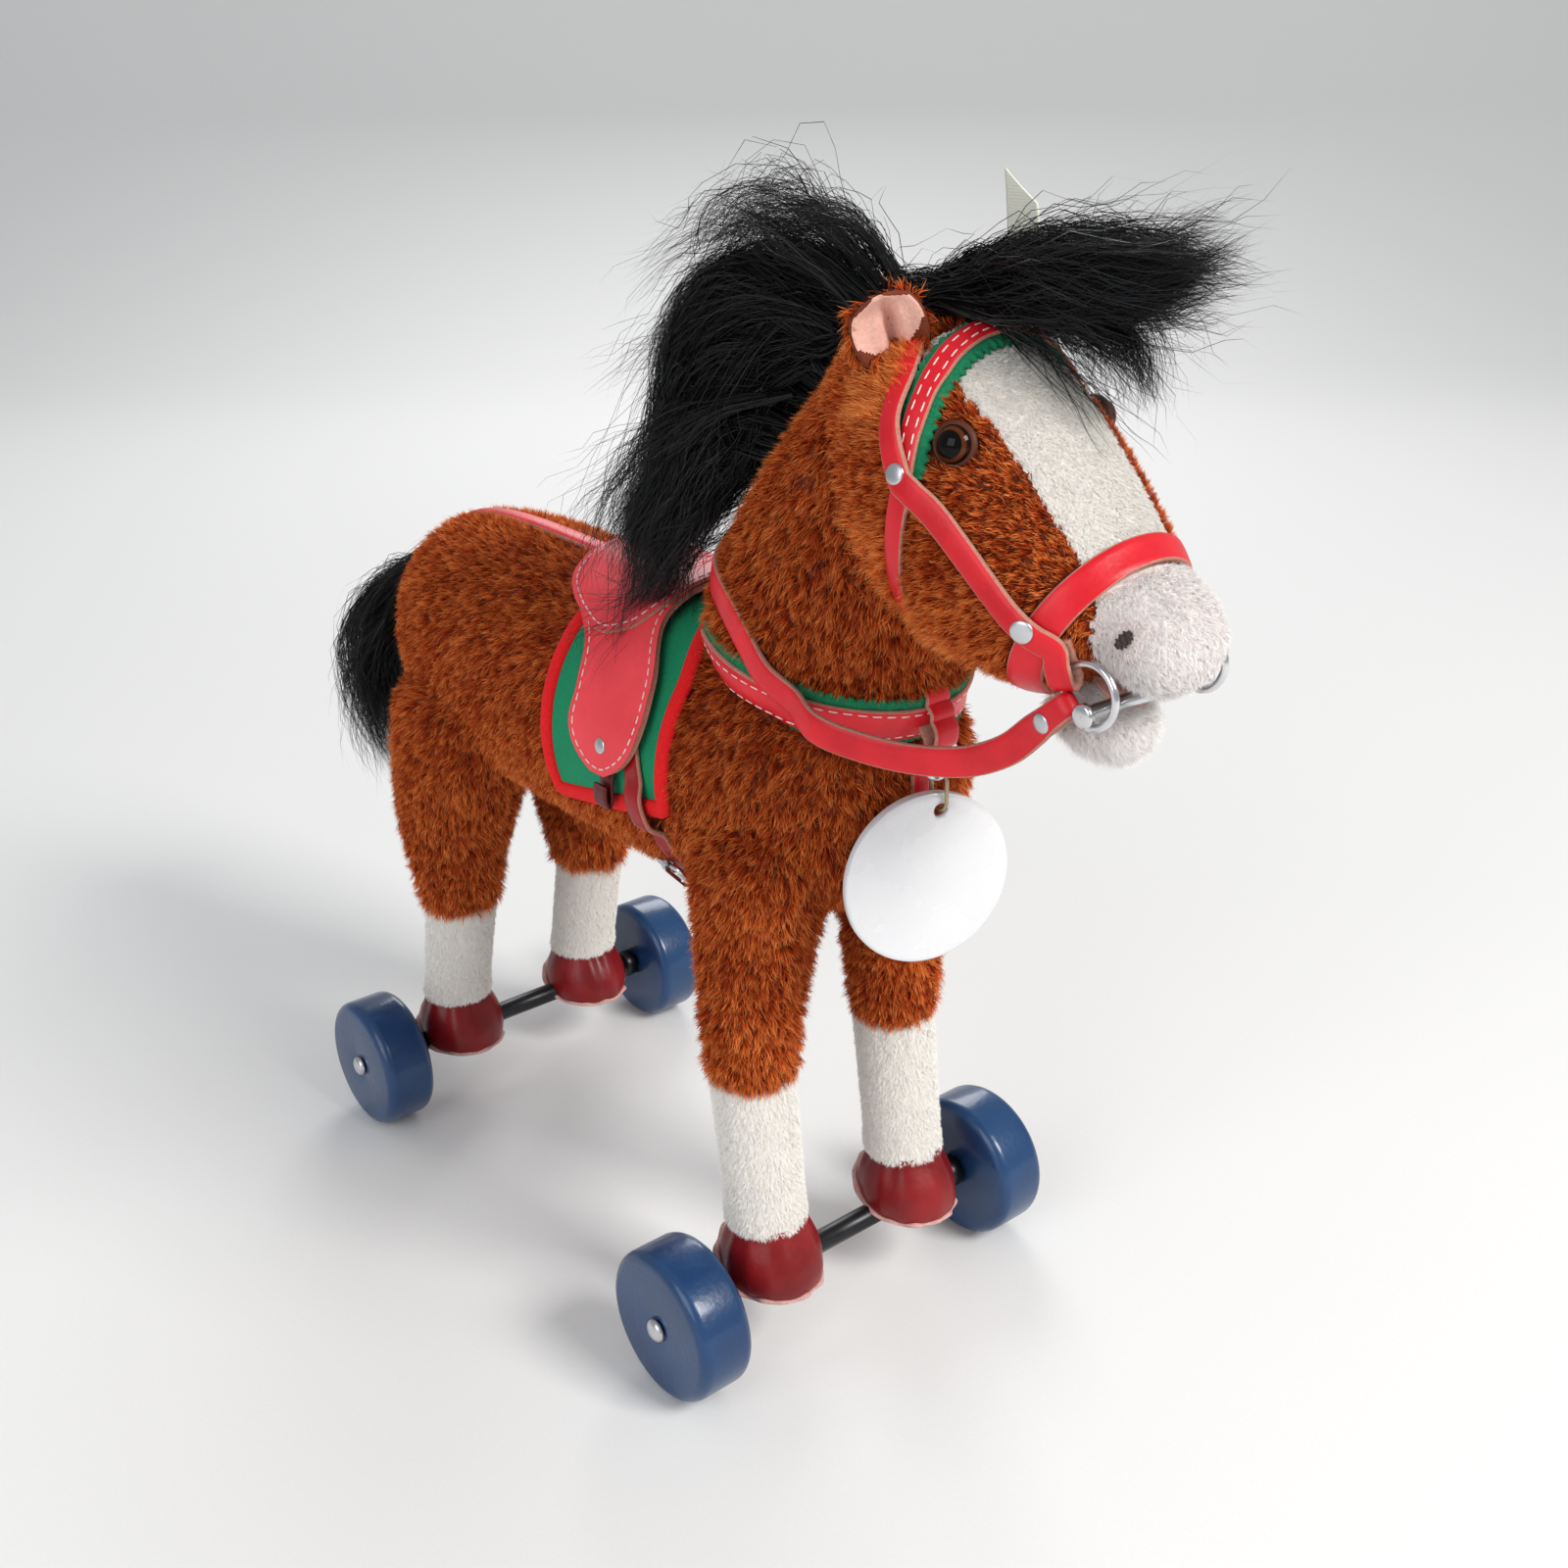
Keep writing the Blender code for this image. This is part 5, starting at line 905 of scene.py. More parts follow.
blanket_grid = [
    [blanket_point(share, length_share, STRAP_LIFT) for length_share in spread(0, 1, 19)]
    for share in spread(-1, 1, 61)
]
blanket_sheet = Sheet(blanket_grid, CLOTH)
blanket = blanket_sheet.piece("blanket_felt", [GREEN, GREEN, GREEN], "blanket", "green_felt", 0)
points, alongs, outs = blanket_sheet.outline(0.0014, 0.0009, -0.0001)
section = circle((0.0024, 0), (0, PIPING_THICKNESS / 2), 16)
points, faces = swept(points, outs, section, closed=True)
piping = new_piece("blanket_piping", points, [faces], [PIPING])
cloth = blanket_sheet.grid
flat_width = float(np.linalg.norm(np.diff(cloth, axis=0), axis=-1).sum(0).max())
flat_length = float(np.linalg.norm(np.diff(cloth, axis=1), axis=-1).sum(1).max())
cut = np.cross(cloth[1:, 1:] - cloth[:-1, :-1], cloth[1:, :-1] - cloth[:-1, 1:])
flat_area = float(np.linalg.norm(cut, axis=-1).sum() / 2)
print("blanket, laid flat:", round(flat_width, 4), "x", round(flat_length, 4), "area", round(flat_area, 5))

# %% Saddle: flaps, seat and their stitching
SADDLE_MIDDLE, SADDLE_HALF = -0.0160 + SHIFT, 0.0240
SADDLE_TURN = radians(91)
SADDLE_TABLE = (
    (0.000, 1.00, -0.88), (0.120, 0.98, -0.88), (0.240, 0.86, -0.89), (0.350, 0.58, -0.98),
    (0.430, 0.20, -1.14), (0.500, -0.06, -1.29), (0.600, -0.20, -1.41), (0.720, -0.26, -1.44),
    (0.830, -0.24, -1.38), (0.910, -0.32, -1.24), (0.970, -0.50, -1.06), (1.000, -0.68, -0.90),
)
SEAT_SHARE, SEAT_LIFT, SADDLE_LEATHER, SEAT_LEATHER = 0.47, 0.0016, 0.0015, 0.0011
SEAT_TABLE = (
    (0.0, 1.00, -0.86), (0.20, 0.97, -0.86), (0.45, 0.88, -0.86),
    (0.70, 0.66, -0.80), (0.90, 0.20, -0.62), (1.0, -0.16, -0.36),
)


def crowded(widest, power, count):
    """Shares from -widest to widest that crowd towards both ends."""
    return [widest * copysign(1 - (1 - abs(s)) ** power, s) for s in spread(-1, 1, count)]


def saddle_grid(shares, table, widest, lift):
    """Rows over the back. The table gives the rear and the front edge at each share of the widest."""
    grid = []
    for share in shares:
        rear, front = (SADDLE_MIDDLE + SADDLE_HALF * edge for edge in blended(table, abs(share) / widest))
        grid.append([draped(front + (rear - front) * u, share * SADDLE_TURN, lift) for u in spread(0, 1, 21)])
    return grid


saddle_sheet = Sheet(saddle_grid(crowded(1, 1.25, 81), SADDLE_TABLE, 1, OVER_PIPING), SADDLE_LEATHER)
saddle = saddle_sheet.piece("saddle_flaps", [SADDLE_RED, CUT_EDGE, SUEDE], "saddle")
seat_rows = saddle_grid(crowded(SEAT_SHARE, 1.4, 61), SEAT_TABLE, SEAT_SHARE, OVER_PIPING + SEAT_LIFT)
seat_sheet = Sheet(seat_rows, SEAT_LEATHER)
seat = seat_sheet.piece("saddle_seat", [SADDLE_RED, CUT_EDGE, SUEDE])
pitch = STITCH + STITCH_GAP
shapes = [saddle_sheet.outline(pitch, 0.0016, STITCH_LIFT), seat_sheet.outline(pitch, 0.0015, STITCH_LIFT)]
places, alongs, outs = (np.concatenate(parts) for parts in zip(*shapes))
points, faces = beads(places, alongs, outs, (STITCH / 2, STITCH_HALF, 0.00018))
new_piece("saddle_stitching", points, faces, [WHITE_THREAD])
print("saddle stitches:", len(places))

# %% [markdown]
# ## Breast collar, rein, girth and crupper
#
# The breast collar is a red strap sewn with two rows of white thread to a wider strip of green felt. The
# felt's edges are pinked, that is cut to a zigzag so that they can't fray. The browband is made the same
# way. The rein is one plain strap that hangs slack by the right cheek and lies over the neck. Each piece
# that lies on another is cast on what is under it, so the layers never cut through each other.

# %% Pinked felt and rows of stitches
TOOTH, TOOTH_DEPTH, FELT_THICKNESS = 0.0022, 0.0010, 0.0013
FELT_SECTION = (
    (-1, 0.5), (-0.93, 1), (-0.6, 1.1), (0, 1), (0.6, 1.1), (0.93, 1), (1, 0.5),
    (0.93, 0), (0, 0), (-0.93, 0),
)


def pinked(name, strap, half, start):
    """Felt under a strap, wider than it, with a zigzag edge on each side."""
    end = strap.length - start
    count = int((end - start) / (TOOTH / 8))
    distance = np.linspace(start, end, count)
    wave = np.abs((distance / TOOTH) % 1 * 2 - 1) ** 1.4
    reach = half - TOOTH_DEPTH * wave
    curl = (1 - wave) * 0.0004 * np.sin(distance * 900)
    columns = []
    for share, height in FELT_SECTION:
        lift = (height - 1) * FELT_THICKNESS - strap.thickness + curl * share * share
        columns.append(strap.at(distance, (reach * share)[:, None], lift[:, None])[0])
    points = np.stack(columns, 1).reshape(-1, 3)
    faces = grid_faces(count, len(columns), False, True)
    groups = [faces[:, ::-1], end_caps(count, len(columns))]
    return new_piece(name, points, groups, [PINKED])


def sewn(name, strap, rows, start):
    """Rows of stitches along a strap, at distances across it."""
    parts = [stitch_row(strap, across, start, strap.length - start) for across in rows]
    places, alongs, outs = (np.concatenate(part) for part in zip(*parts))
    points, faces = beads(places, alongs, outs, (STITCH / 2, STITCH_HALF, 0.00016))
    new_piece(name, points, faces, [WHITE_THREAD])
    print(name, len(places))


BROW_WIDTH, BROW_FELT = 0.0044, 0.0009
brow_up = (BROW_TOP - BROW_RIVET).normalized()
browband_strap, browband = leather_strap("browband_leather", "browband", rows_round(
    HEAD_TREES, BROW_RIVET.lerp(BROW_TOP, -0.45), brow_up, X.cross(brow_up), BROW_WIDTH,
    BAND_LIFT + BROW_FELT, fan(70, 41),
), thickness=0.0010)
brow_felt = pinked("browband_felt", browband_strap, 0.0047, 0.0015)
sewn("browband_stitches", browband_strap, (-0.0010, 0.0011), 0.004)

# %% Breast collar
COLLAR_BASE = Vector((0, -0.0800 + SHIFT, 0.1824))
COLLAR_SLOPE, COLLAR_WIDTH = radians(11.3), 0.0086
forward = Vector((0, -cos(COLLAR_SLOPE), -sin(COLLAR_SLOPE)))
collar_strap, collar = leather_strap("breast_collar_leather", "breast_collar", rows_round(
    TRUNK_TREES, COLLAR_BASE, forward, forward.cross(X), COLLAR_WIDTH, STRAP_LIFT + FELT_THICKNESS,
    fan(132, 61),
)[::-1], thickness=0.0011, smoothing=5)
collar_felt = pinked("breast_collar_felt", collar_strap, 0.0074, 0.0)
sewn("breast_collar_stitches", collar_strap, (-0.0031, 0.0031), 0.003)

# %% Chest ring, folded tab and martingale
TAB_WIDTH, TAB_TOP = 0.0070, 0.1822
low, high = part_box("chest_ring")
ring_middle = (low + high) / 2
ring_radius = (high.z - low.z) / 2 - RING_WIRE
wire_ring("chest_ring_nickel", "chest_ring", ring_middle, X, Z, ring_radius)

eye = ring_middle + Z * ring_radius
over = [tree_over([collar.data])] + TRUNK_TREES
inner = RING_WIRE + 0.0003
folds = [eye + Vector((0, y, z)) for y, z in (
    (0.0030, 0.0030), (inner, inner * 0.6), (inner * 0.6, -inner * 0.8), (-inner * 0.1, -inner * 1.05),
    (-inner * 0.9, -inner * 0.6), (-inner * 1.3, inner * 0.5), (-inner * 1.4, 0.0030),
)]
for height in spread(TAB_TOP, eye.z + 0.0016, 6)[-3::-1]:
    origin = Vector((0, COLLAR_BASE.y, height))
    folds.append(origin - Y * (reach_of(over, origin, -Y) + 0.0004) - Y * 0.0012)
folds += [folds[-1] + Vector((0, 0.0008, 0.0016)), folds[-1] + Vector((0, 0.0030, 0.0024))]
tab = leather_strap(
    "chest_tab_leather", "chest_tab", [flat_row(fold, X, TAB_WIDTH) for fold in folds],
    thickness=0.0011, spacing=0.0005, smoothing=1,
)[1]

MARTINGALE_BASE, MARTINGALE_WIDTH = Vector((0, -0.0620 + SHIFT, 0.1520)), 0.0056
martingale = leather_strap("martingale_leather", "martingale", rows_round(
    TRUNK_TREES, MARTINGALE_BASE, -Y, X, MARTINGALE_WIDTH, BAND_LIFT,
    spread(radians(-14), radians(101), 31), -Z,
)[::-1])[1]

# %% Blank disc on its hook
DISC_RADIUS, DISC_HALF, DISC_RIM, DISC_STEPS = 0.0205, 0.0013, 0.0007, 96
HOLE_RADIUS, HOLE_OFFSET = 0.0017, 0.0163
HOLE_PLACE = Vector((0, ring_middle.y, 0.1558))
face_turn = Matrix.Rotation(radians(-16.6), 3, "Z") @ Matrix.Rotation(radians(-2.9), 3, "X")
face_turn = array(face_turn @ Matrix.Rotation(radians(11), 3, "Y"))
rim_share = 1 - DISC_RIM / (DISC_RADIUS - HOLE_RADIUS)
quarter = spread(0, pi / 2, 5)
rim = [(1 - (1 - rim_share) * (1 - sin(a)), DISC_HALF - DISC_RIM * (1 - cos(a))) for a in quarter]
profile = [(0, -DISC_HALF), (0, DISC_HALF - 0.0002), (0.02, DISC_HALF), (0.5, DISC_HALF + 0.0001)] + rim
profile += [(share, -height) for share, height in rim[::-1]] + [(0.5, -DISC_HALF)]
rings = []
for share, height in profile:
    ring = circle(X, Z, DISC_STEPS) * (HOLE_RADIUS + (DISC_RADIUS - HOLE_RADIUS) * share)
    ring = ring + array((0, 0, -HOLE_OFFSET * share)) - array((0, height, 0))
    rings.append(ring @ face_turn.T + array(HOLE_PLACE))
ENAMEL = Finish("disc_enamel", Coat_Weight=0.6, Coat_Roughness=0.06)
haze = ENAMEL.noise(90, 3)
ENAMEL.set("Base Color", haze.mix((0.70, 0.70, 0.72), (0.76, 0.76, 0.77)))
ENAMEL.set("Roughness", haze * 0.10 + 0.22)
disc_faces = grid_faces(len(rings), DISC_STEPS, True, True)
new_piece("blank_disc", rings, [disc_faces], [ENAMEL], "medallion", "hanging_disc")

HOOK_WIRE, HOOK_TURN = 0.0005, 0.0024
hook_top = array(ring_middle - Z * ring_radius + Z * (0.0016 - HOOK_TURN))
hook_low = array(HOLE_PLACE + Z * HOOK_TURN)
bend = [array((0, cos(a), sin(a))) * HOOK_TURN for a in spread(0, pi, 13)]
hook_line = array([hook_top + step for step in bend] + [hook_low - step for step in bend])
across = np.tile((1.0, 0, 0), (len(hook_line), 1))
points, faces = swept(hook_line, across, round_section(HOOK_WIRE, 12), closed=True)
new_piece("disc_hook", points, [faces], [BRONZE], "medallion_hook", "hanging_disc")
print("disc hangs at", [round(v, 4) for v in HOLE_PLACE])

# %% Girth, buckle and crupper
GIRTH_TURNS = [radians(turn) for turn in (76, 83, 90, 96, 106.5, 111, 122, 134, 146, 157, 169, 180)]
GIRTH_Y, GIRTH_SWEEP, GIRTH_WIDTH, GIRTH_STRAIGHT = -0.0440 + SHIFT, 0.0060, 0.0062, radians(108)


def girth_lift(turn):
    if turn < GIRTH_TURNS[3]:
        return UNDER_LAYER
    return OVER_PIPING + 0.0003 if turn < GIRTH_TURNS[5] else STRAP_LIFT + 0.0002


def girth_row(sign, turn):
    blend = min(1, (turn - GIRTH_TURNS[0]) / (GIRTH_STRAIGHT - GIRTH_TURNS[0]))
    middle = GIRTH_Y - GIRTH_SWEEP * blend
    return [draped(middle + share * GIRTH_WIDTH, sign * turn, girth_lift(turn)) for share in (-0.5, 0, 0.5)]


girth_rows = [girth_row(-1, turn) for turn in GIRTH_TURNS]
girth_rows += [girth_row(1, turn) for turn in GIRTH_TURNS[-2::-1]]
girth = leather_strap("girth_strap", "girth", girth_rows, DARK_RED, thickness=0.0012, smoothing=1)[1]

low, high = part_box("buckle_frame")
BUCKLE_TURN, BUCKLE_WIRE, BUCKLE_CORNER = radians(134), 0.0007, 0.0015
BUCKLE_WIDE, BUCKLE_DEEP = 0.0031, 0.0025
buckle_out, buckle_down = outward_turn(-BUCKLE_TURN, Z), outward_turn(-BUCKLE_TURN - pi / 2, Z)
buckle_middle = (low + high) / 2
line = []
for wide, deep, start in ((1, 1, 0), (-1, 1, 1), (-1, -1, 2), (1, -1, 3)):
    for angle in spread(pi / 2 * start, pi / 2 * (start + 1), 6):
        corner = Vector((cos(angle), sin(angle))) * BUCKLE_CORNER
        across, down = wide * BUCKLE_WIDE + corner.x, deep * BUCKLE_DEEP + corner.y
        line.append(tuple(buckle_middle + Y * across + buckle_down * down))
outs = np.tile(array(buckle_out), (len(line), 1))
points, faces = swept(array(line), outs, round_section(BUCKLE_WIRE, 12), closed=True)
buckle = new_piece("buckle_nickel", points, [faces], [NICKEL], "buckle_frame")

CRUPPER_WIDTH, CRUPPER_END = 0.0062, 0.0680 + SHIFT
crupper_rows = [
    cast_row(TRUNK_TREES, Vector((0, y, BACK)), Z, X, CRUPPER_WIDTH, STRAP_LIFT)
    for y in spread(0.0030 + SHIFT, CRUPPER_END, 12)
]
crupper_rows += rows_round(
    TRUNK_TREES, Vector((0, CRUPPER_END, BACK)), Z, X, CRUPPER_WIDTH, STRAP_LIFT,
    [radians(turn) for turn in (7, 14, 21, 27, 33, 38, 43, 47)], Y,
)
crupper = leather_strap("crupper_leather", "crupper", crupper_rows, smoothing=4)[1]

# %% Rein
REIN_WIDTH = 0.0066
REIN_SLACK = (
    (-0.0166, -0.1565, 0.1920), (-0.0172, -0.1500, 0.1855), (-0.0182, -0.1400, 0.1802),
    (-0.0215, -0.1270, 0.1778), (-0.0262, -0.1160, 0.1786), (-0.0305, -0.1060, 0.1806),
)
REIN_ON_NECK = ((-0.0960, 0.1838), (-0.0885, 0.1878), (-0.0820, 0.1925), (-0.0765, 0.1972))
REIN_LEFT_ON_NECK = ((-0.0860, 0.1990), (-0.1000, 0.1985))
REIN_LEFT = ((0.0290, -0.1180, 0.1980), (0.0235, -0.1400, 0.1968), (0.0190, -0.1540, 0.1950))
REIN_EYE_ANGLE, REIN_RISE = radians(200), radians(14)
REIN_BASE = Vector((0, -0.0790 + SHIFT, 0.1990))


def laid_row(trees, base, outward, along, width, lift):
    """A flat row across a strap, resting on the highest of what lies under it."""
    across = along.cross(outward).normalized()
    shares = (-0.5, -0.25, 0, 0.25, 0.5)
    reach = max(reach_of(trees, base + across * (share * width), outward) for share in shares)
    return flat_row(base + outward * (reach + lift), across, width)


def rows_along(points, outwards, width):
    rows = []
    for index, (point, outward) in enumerate(zip(points, outwards)):
        ahead, behind = points[min(index + 1, len(points) - 1)], points[max(index - 1, 0)]
        rows.append(flat_row(point, (ahead - behind).cross(outward).normalized(), width))
    return rows


def moved(points):
    return [Vector(point) + Y * SHIFT for point in points]


def rein_end(sign, toward):
    wire = ring_centre(sign) + ring_offset(REIN_EYE_ANGLE, RING_RADIUS)
    around = ring_offset(REIN_EYE_ANGLE + pi / 2, 1)
    reaching = (wire - toward).normalized()
    across = (around - reaching * around.dot(reaching)).normalized()
    out = reaching.cross(across)
    if out.dot(X * sign) < 0:
        across, out = -across, -out
    return folded(wire, reaching, out, across, EYE_WIDTH)


rein_trees = TRUNK_TREES + [tree_over([piece.data]) for piece in (collar, collar_felt)]
slack = moved(REIN_SLACK)
facing = [Vector((-1, -share, 0)).normalized() for share in spread(0, 3 / 4, len(slack))]
rein_rows = rows_along(slack, facing, REIN_WIDTH)
(y0, z0), (y1, z1) = REIN_ON_NECK[0], REIN_ON_NECK[-1]
rising = Vector((0, y1 - y0, z1 - z0))
stations = [(Vector((0, y + SHIFT, z)), -X, rising, 0.0005) for y, z in REIN_ON_NECK]
backward = Vector((0, cos(REIN_RISE), sin(REIN_RISE)))
for turn in spread(-pi * 2 / 5, pi * 2 / 5, 9):
    outward, along = outward_turn(turn, backward), outward_turn(turn + pi / 2, backward)
    stations.append((REIN_BASE, outward, along, 0.0009))
stations += [(Vector((0, y + SHIFT, z)), X, -Y, 0.0009) for y, z in REIN_LEFT_ON_NECK]
rein_rows += [laid_row(rein_trees, *station[:3], REIN_WIDTH, station[3]) for station in stations]
rein_rows += rows_along(moved(REIN_LEFT), [X] * 3, REIN_WIDTH)
first = rein_end(-1, slack[0])[::-1]
last = rein_end(1, moved(REIN_LEFT)[-1])


def facing_alike(rows):
    """Turns rows round where their direction across is opposite to the row before."""
    fixed = [rows[0]]
    for row in rows[1:]:
        before = fixed[-1][2] - fixed[-1][0]
        fixed.append(row if (row[2] - row[0]).dot(before) > 0 else row[::-1])
    return fixed


rein_rows = facing_alike(first + rein_rows + last)
middle_out = Strap(rein_rows, smoothing=1).out
if middle_out[len(middle_out) // 2].dot(array(backward)) < 0:
    rein_rows = [row[::-1] for row in rein_rows]
rein_strap, rein = leather_strap("rein_leather", "rein", rein_rows, smoothing=1)

# %% [markdown]
# ## Rivets and stirrup straps
#
# Domed nickel rivets hold the bridle where straps cross, at each brow and at the noseband, and one
# closes the rein's folded end. Another goes through each saddle flap and holds the stirrup strap, whose
# end is folded to a loop. The loop hangs on its own body and swings a little on the rivet.

# %% Rivets
DOME = (0.8, 0.6, 0.4, 0.2, 0.01)


def rivet(name, place, out, radius=0.0021, height=0.0007):
    profile = [(radius, -0.0008), (radius, height * 0.3), (radius * 0.96, height * 0.55)]
    profile += [(radius * share, height * (0.55 + 0.45 * (1 - share * share))) for share in DOME]
    points, faces = turned(profile, 32, place, unit(array(out)))
    new_piece(name, points, [faces], [RIVET_NICKEL])


def nearest_on(strap, place):
    """The place on a strap's outer face nearest to a point, and the way it faces."""
    index = int(np.argmin(np.linalg.norm(strap.middle - array(place), axis=1)))
    return strap.middle[index] + strap.out[index] * strap.thickness, strap.out[index]


BRIDLE_RIVETS = (
    ("brow", RIVET_ALONG, RIVET_LEVEL, 0.0021), ("nose", NOSEBAND_ALONG - 0.0006, CHEEK_LEVEL, 0.0023),
)
for side, sign in SIDES:
    for label, along, level, radius in BRIDLE_RIVETS:
        near = on_head(sign * 0.027, level, along)
        rivet(label + "_rivet_" + side, *nearest_on(headstall_strap, near), radius=radius)
    count = len(rein_strap.middle)
    third = np.arange(count // 3) if sign < 0 else np.arange(count - count // 3, count)
    wire = array(ring_centre(sign) + ring_offset(REIN_EYE_ANGLE, RING_RADIUS))
    gap = np.linalg.norm(rein_strap.middle[third] - wire, axis=1)
    near = third[np.abs(gap - 0.0058) < 0.0008]
    inside, outs = rein_strap.middle[near], rein_strap.out[near]
    faces = [*zip(inside + outs * LEATHER, outs), *zip(inside, -outs)]
    rivet("rein_rivet_" + side, *max(faces, key=lambda face: face[0][0] * sign))
print("rivets:", 2 * (len(BRIDLE_RIVETS) + 1))

# %% Stirrup straps and flap rivets
STIRRUP_SHARES = (
    (0.0, -0.25), (0.0, 0.08), (0.18, 0.28), (0.50, 0.48), (0.52, 0.62), (0.48, 0.84),
    (0.72, 0.97), (1.08, 1.00), (1.38, 0.84), (1.42, 0.68), (1.34, 0.54),
)
saddle_trees = [tree_over([saddle.data])]
STIRRUP_Y, STIRRUP_TURN, FLAP_TURN = -0.0363 + SHIFT, radians(83), radians(80)
STIRRUP_OUT, STIRRUP_DROP, STIRRUP_WIDTH = 0.0032, 0.0140, 0.0054
for side, sign in SIDES:
    body = side + "_stirrup_strap"
    pivot = draped(STIRRUP_Y, sign * STIRRUP_TURN, UNDER_LAYER)
    rows = []
    for out, down in STIRRUP_SHARES:
        place = pivot + Vector((sign * out * STIRRUP_OUT, 0, -down * STIRRUP_DROP))
        rows.append(flat_row(place, -Y * sign, STIRRUP_WIDTH))
    strap = Strap(rows, thickness=0.0009, spacing=0.0005, smoothing=1)
    strap.piece("stirrup_loop_" + side, [STIRRUP_BROWN] * 3, "red_leather", "stirrup_" + side, body)
    origin = Vector((0, pivot.y, BACK))
    outward = outward_turn(sign * FLAP_TURN, Z)
    reach = reach_of(saddle_trees, origin, outward)
    rivet("flap_rivet_" + side, origin + outward * reach, outward, 0.0020, 0.0006)
print("stirrups ready")

# %% [markdown]
# ## Wheels and axles
#
# The wheels are turned from wood, with rounded shoulders, and dipped in glossy navy paint. Paint on
# wood shows a faint orange-peel and sinks a little into the grain, so the bump is very shallow and the
# coat is smooth. The axles are black steel. A small domed cap pressed on each end keeps the wheel on.

# %% Wheels
WHEEL_RADIUS, WHEEL_WIDTH, WHEEL_OUTER, SHOULDER = 0.0200, 0.0157, 0.0597, 0.0030
WHEEL_GAP, CAP_RADIUS = 0.0003, 0.0031
AXLES = (("front", -0.07965 + SHIFT), ("rear", 0.07965 + SHIFT))
NAVY = Finish("navy_paint", Coat_Weight=0.30, Coat_Roughness=0.12, Specular_IOR_Level=0.35)
peel = NAVY.noise(750, 1)
sunk = NAVY.noise(60, 2)
NAVY.set("Base Color", sunk.ramp(0.3, 0.7).mix((0.008, 0.040, 0.120), (0.012, 0.054, 0.150)))
NAVY.set("Roughness", peel * 0.10 + 0.26)
NAVY.bump(peel, 0.22, 0.0003)
BLACK = metal("black_steel_bar", (0.035, 0.035, 0.038), 0.34)
BLACK.set("Metallic", 0.85)

half = WHEEL_WIDTH / 2
profile = [(0.0022, half - 0.0006), (0.0034, half - 0.0003), (0.0060, half)]
for angle in spread(0, pi / 2, 9):
    radius = WHEEL_RADIUS - SHOULDER * (1 - sin(angle))
    profile.append((radius, half - SHOULDER * (1 - cos(angle))))
profile += [(radius, -height) for radius, height in profile[::-1]]
profile.append(profile[0])
rise = [(CAP_RADIUS * cos(a), 0.0016 * sin(a)) for a in spread(0, pi / 2 - 0.02, 8)]
shoulder = WHEEL_OUTER - WHEEL_WIDTH - WHEEL_GAP
steps = [(0.0001, WHEEL_OUTER), (0.0019, WHEEL_OUTER), (0.0019, shoulder), (0.0041, shoulder)]
steps += [(0.0044, shoulder - 0.0003), (0.0044, shoulder - 0.0039), (0.0041, shoulder - 0.0042)]
steps.append((0.0030, shoulder - 0.0042))
for place, y in AXLES:
    for side, sign in SIDES:
        points, faces = turned(profile, 96, (sign * (WHEEL_OUTER - half), y, WHEEL_RADIUS), X)
        end, body = "_%s_%s" % (place, side), "%s_%s_wheel" % (place, side)
        new_piece("painted_wheel" + end, points, [faces], [NAVY], "wheel" + end, body)
        start = (sign * (WHEEL_OUTER + WHEEL_GAP), y, WHEEL_RADIUS)
        dome = [(CAP_RADIUS, -sign * 0.0002)] + [(radius, sign * height) for radius, height in rise]
        points, faces = turned(dome, 32, start, X)
        new_piece("domed_cap" + end, points, [faces], [RIVET_NICKEL], "axle_cap" + end)
    points, faces = turned(steps + [(r, -h) for r, h in steps[::-1]], 32, (0, y, WHEEL_RADIUS), X)
    new_piece("steel_axle_" + place, points, [faces], [BLACK], "axle_" + place)
print("wheels ready")

# %% [markdown]
# ## Hide
#
# Under its pile the toy is a stuffed cloth body. The solids of body, neck, legs and head meet in hard
# creases, but a sewn and stuffed hide is drawn smooth over them. A voxel remesh of all of them together,
# then smoothed, gives that one soft skin. The alternative, a separate skin for each solid, would show a
# gap at every seam. Which solid lies nearest tells which cloth a place is made of.

# %% One skin over the stuffed solids
def skin_over(names, voxel, smoothing):
    """Points and faces of one smooth skin round the named solids."""
    points, faces = union_of(solids(*names))
    mesh = bpy.data.meshes.new("union")
    mesh.from_pydata(points, [], faces)
    union = linked("union", mesh)
    remesh = union.modifiers.new("voxels", "REMESH")
    remesh.mode, remesh.voxel_size, remesh.adaptivity = "VOXEL", voxel, 0
    smooth = union.modifiers.new("smooth", "SMOOTH")
    smooth.factor, smooth.iterations = 0.5, smoothing
    bpy.context.view_layer.update()
    shape = union.evaluated_get(bpy.context.evaluated_depsgraph_get()).to_mesh()
    out = np.empty(len(shape.vertices) * 3)
    shape.vertices.foreach_get("co", out)
    corners = np.empty(len(shape.loops), int)
    shape.loops.foreach_get("vertex_index", corners)
    bpy.data.objects.remove(union, do_unlink=True)
    return out.reshape(-1, 3), corners.reshape(-1, 4)


def four(kind):
    """The names of a kind's four solids, one at each foot."""
    return ["%s_%s_%s" % (kind, place, side) for place, _ in AXLES for side, _ in SIDES]


TRUNK = ["body", "neck"] + four("leg")
FACE = ["head", "face_blaze", "muzzle", "chin"]
ZONES = (TRUNK, ["head"], ["face_blaze"], ["muzzle", "chin"], ["inner_frame"])
ZONE_TREES = [tree_over(solids(*names)) for names in ZONES]
TRUNK_ZONE, HEAD_ZONE, BLAZE_ZONE, MUZZLE_ZONE, FRAME_ZONE = range(5)
ZONE_REACH = 0.03


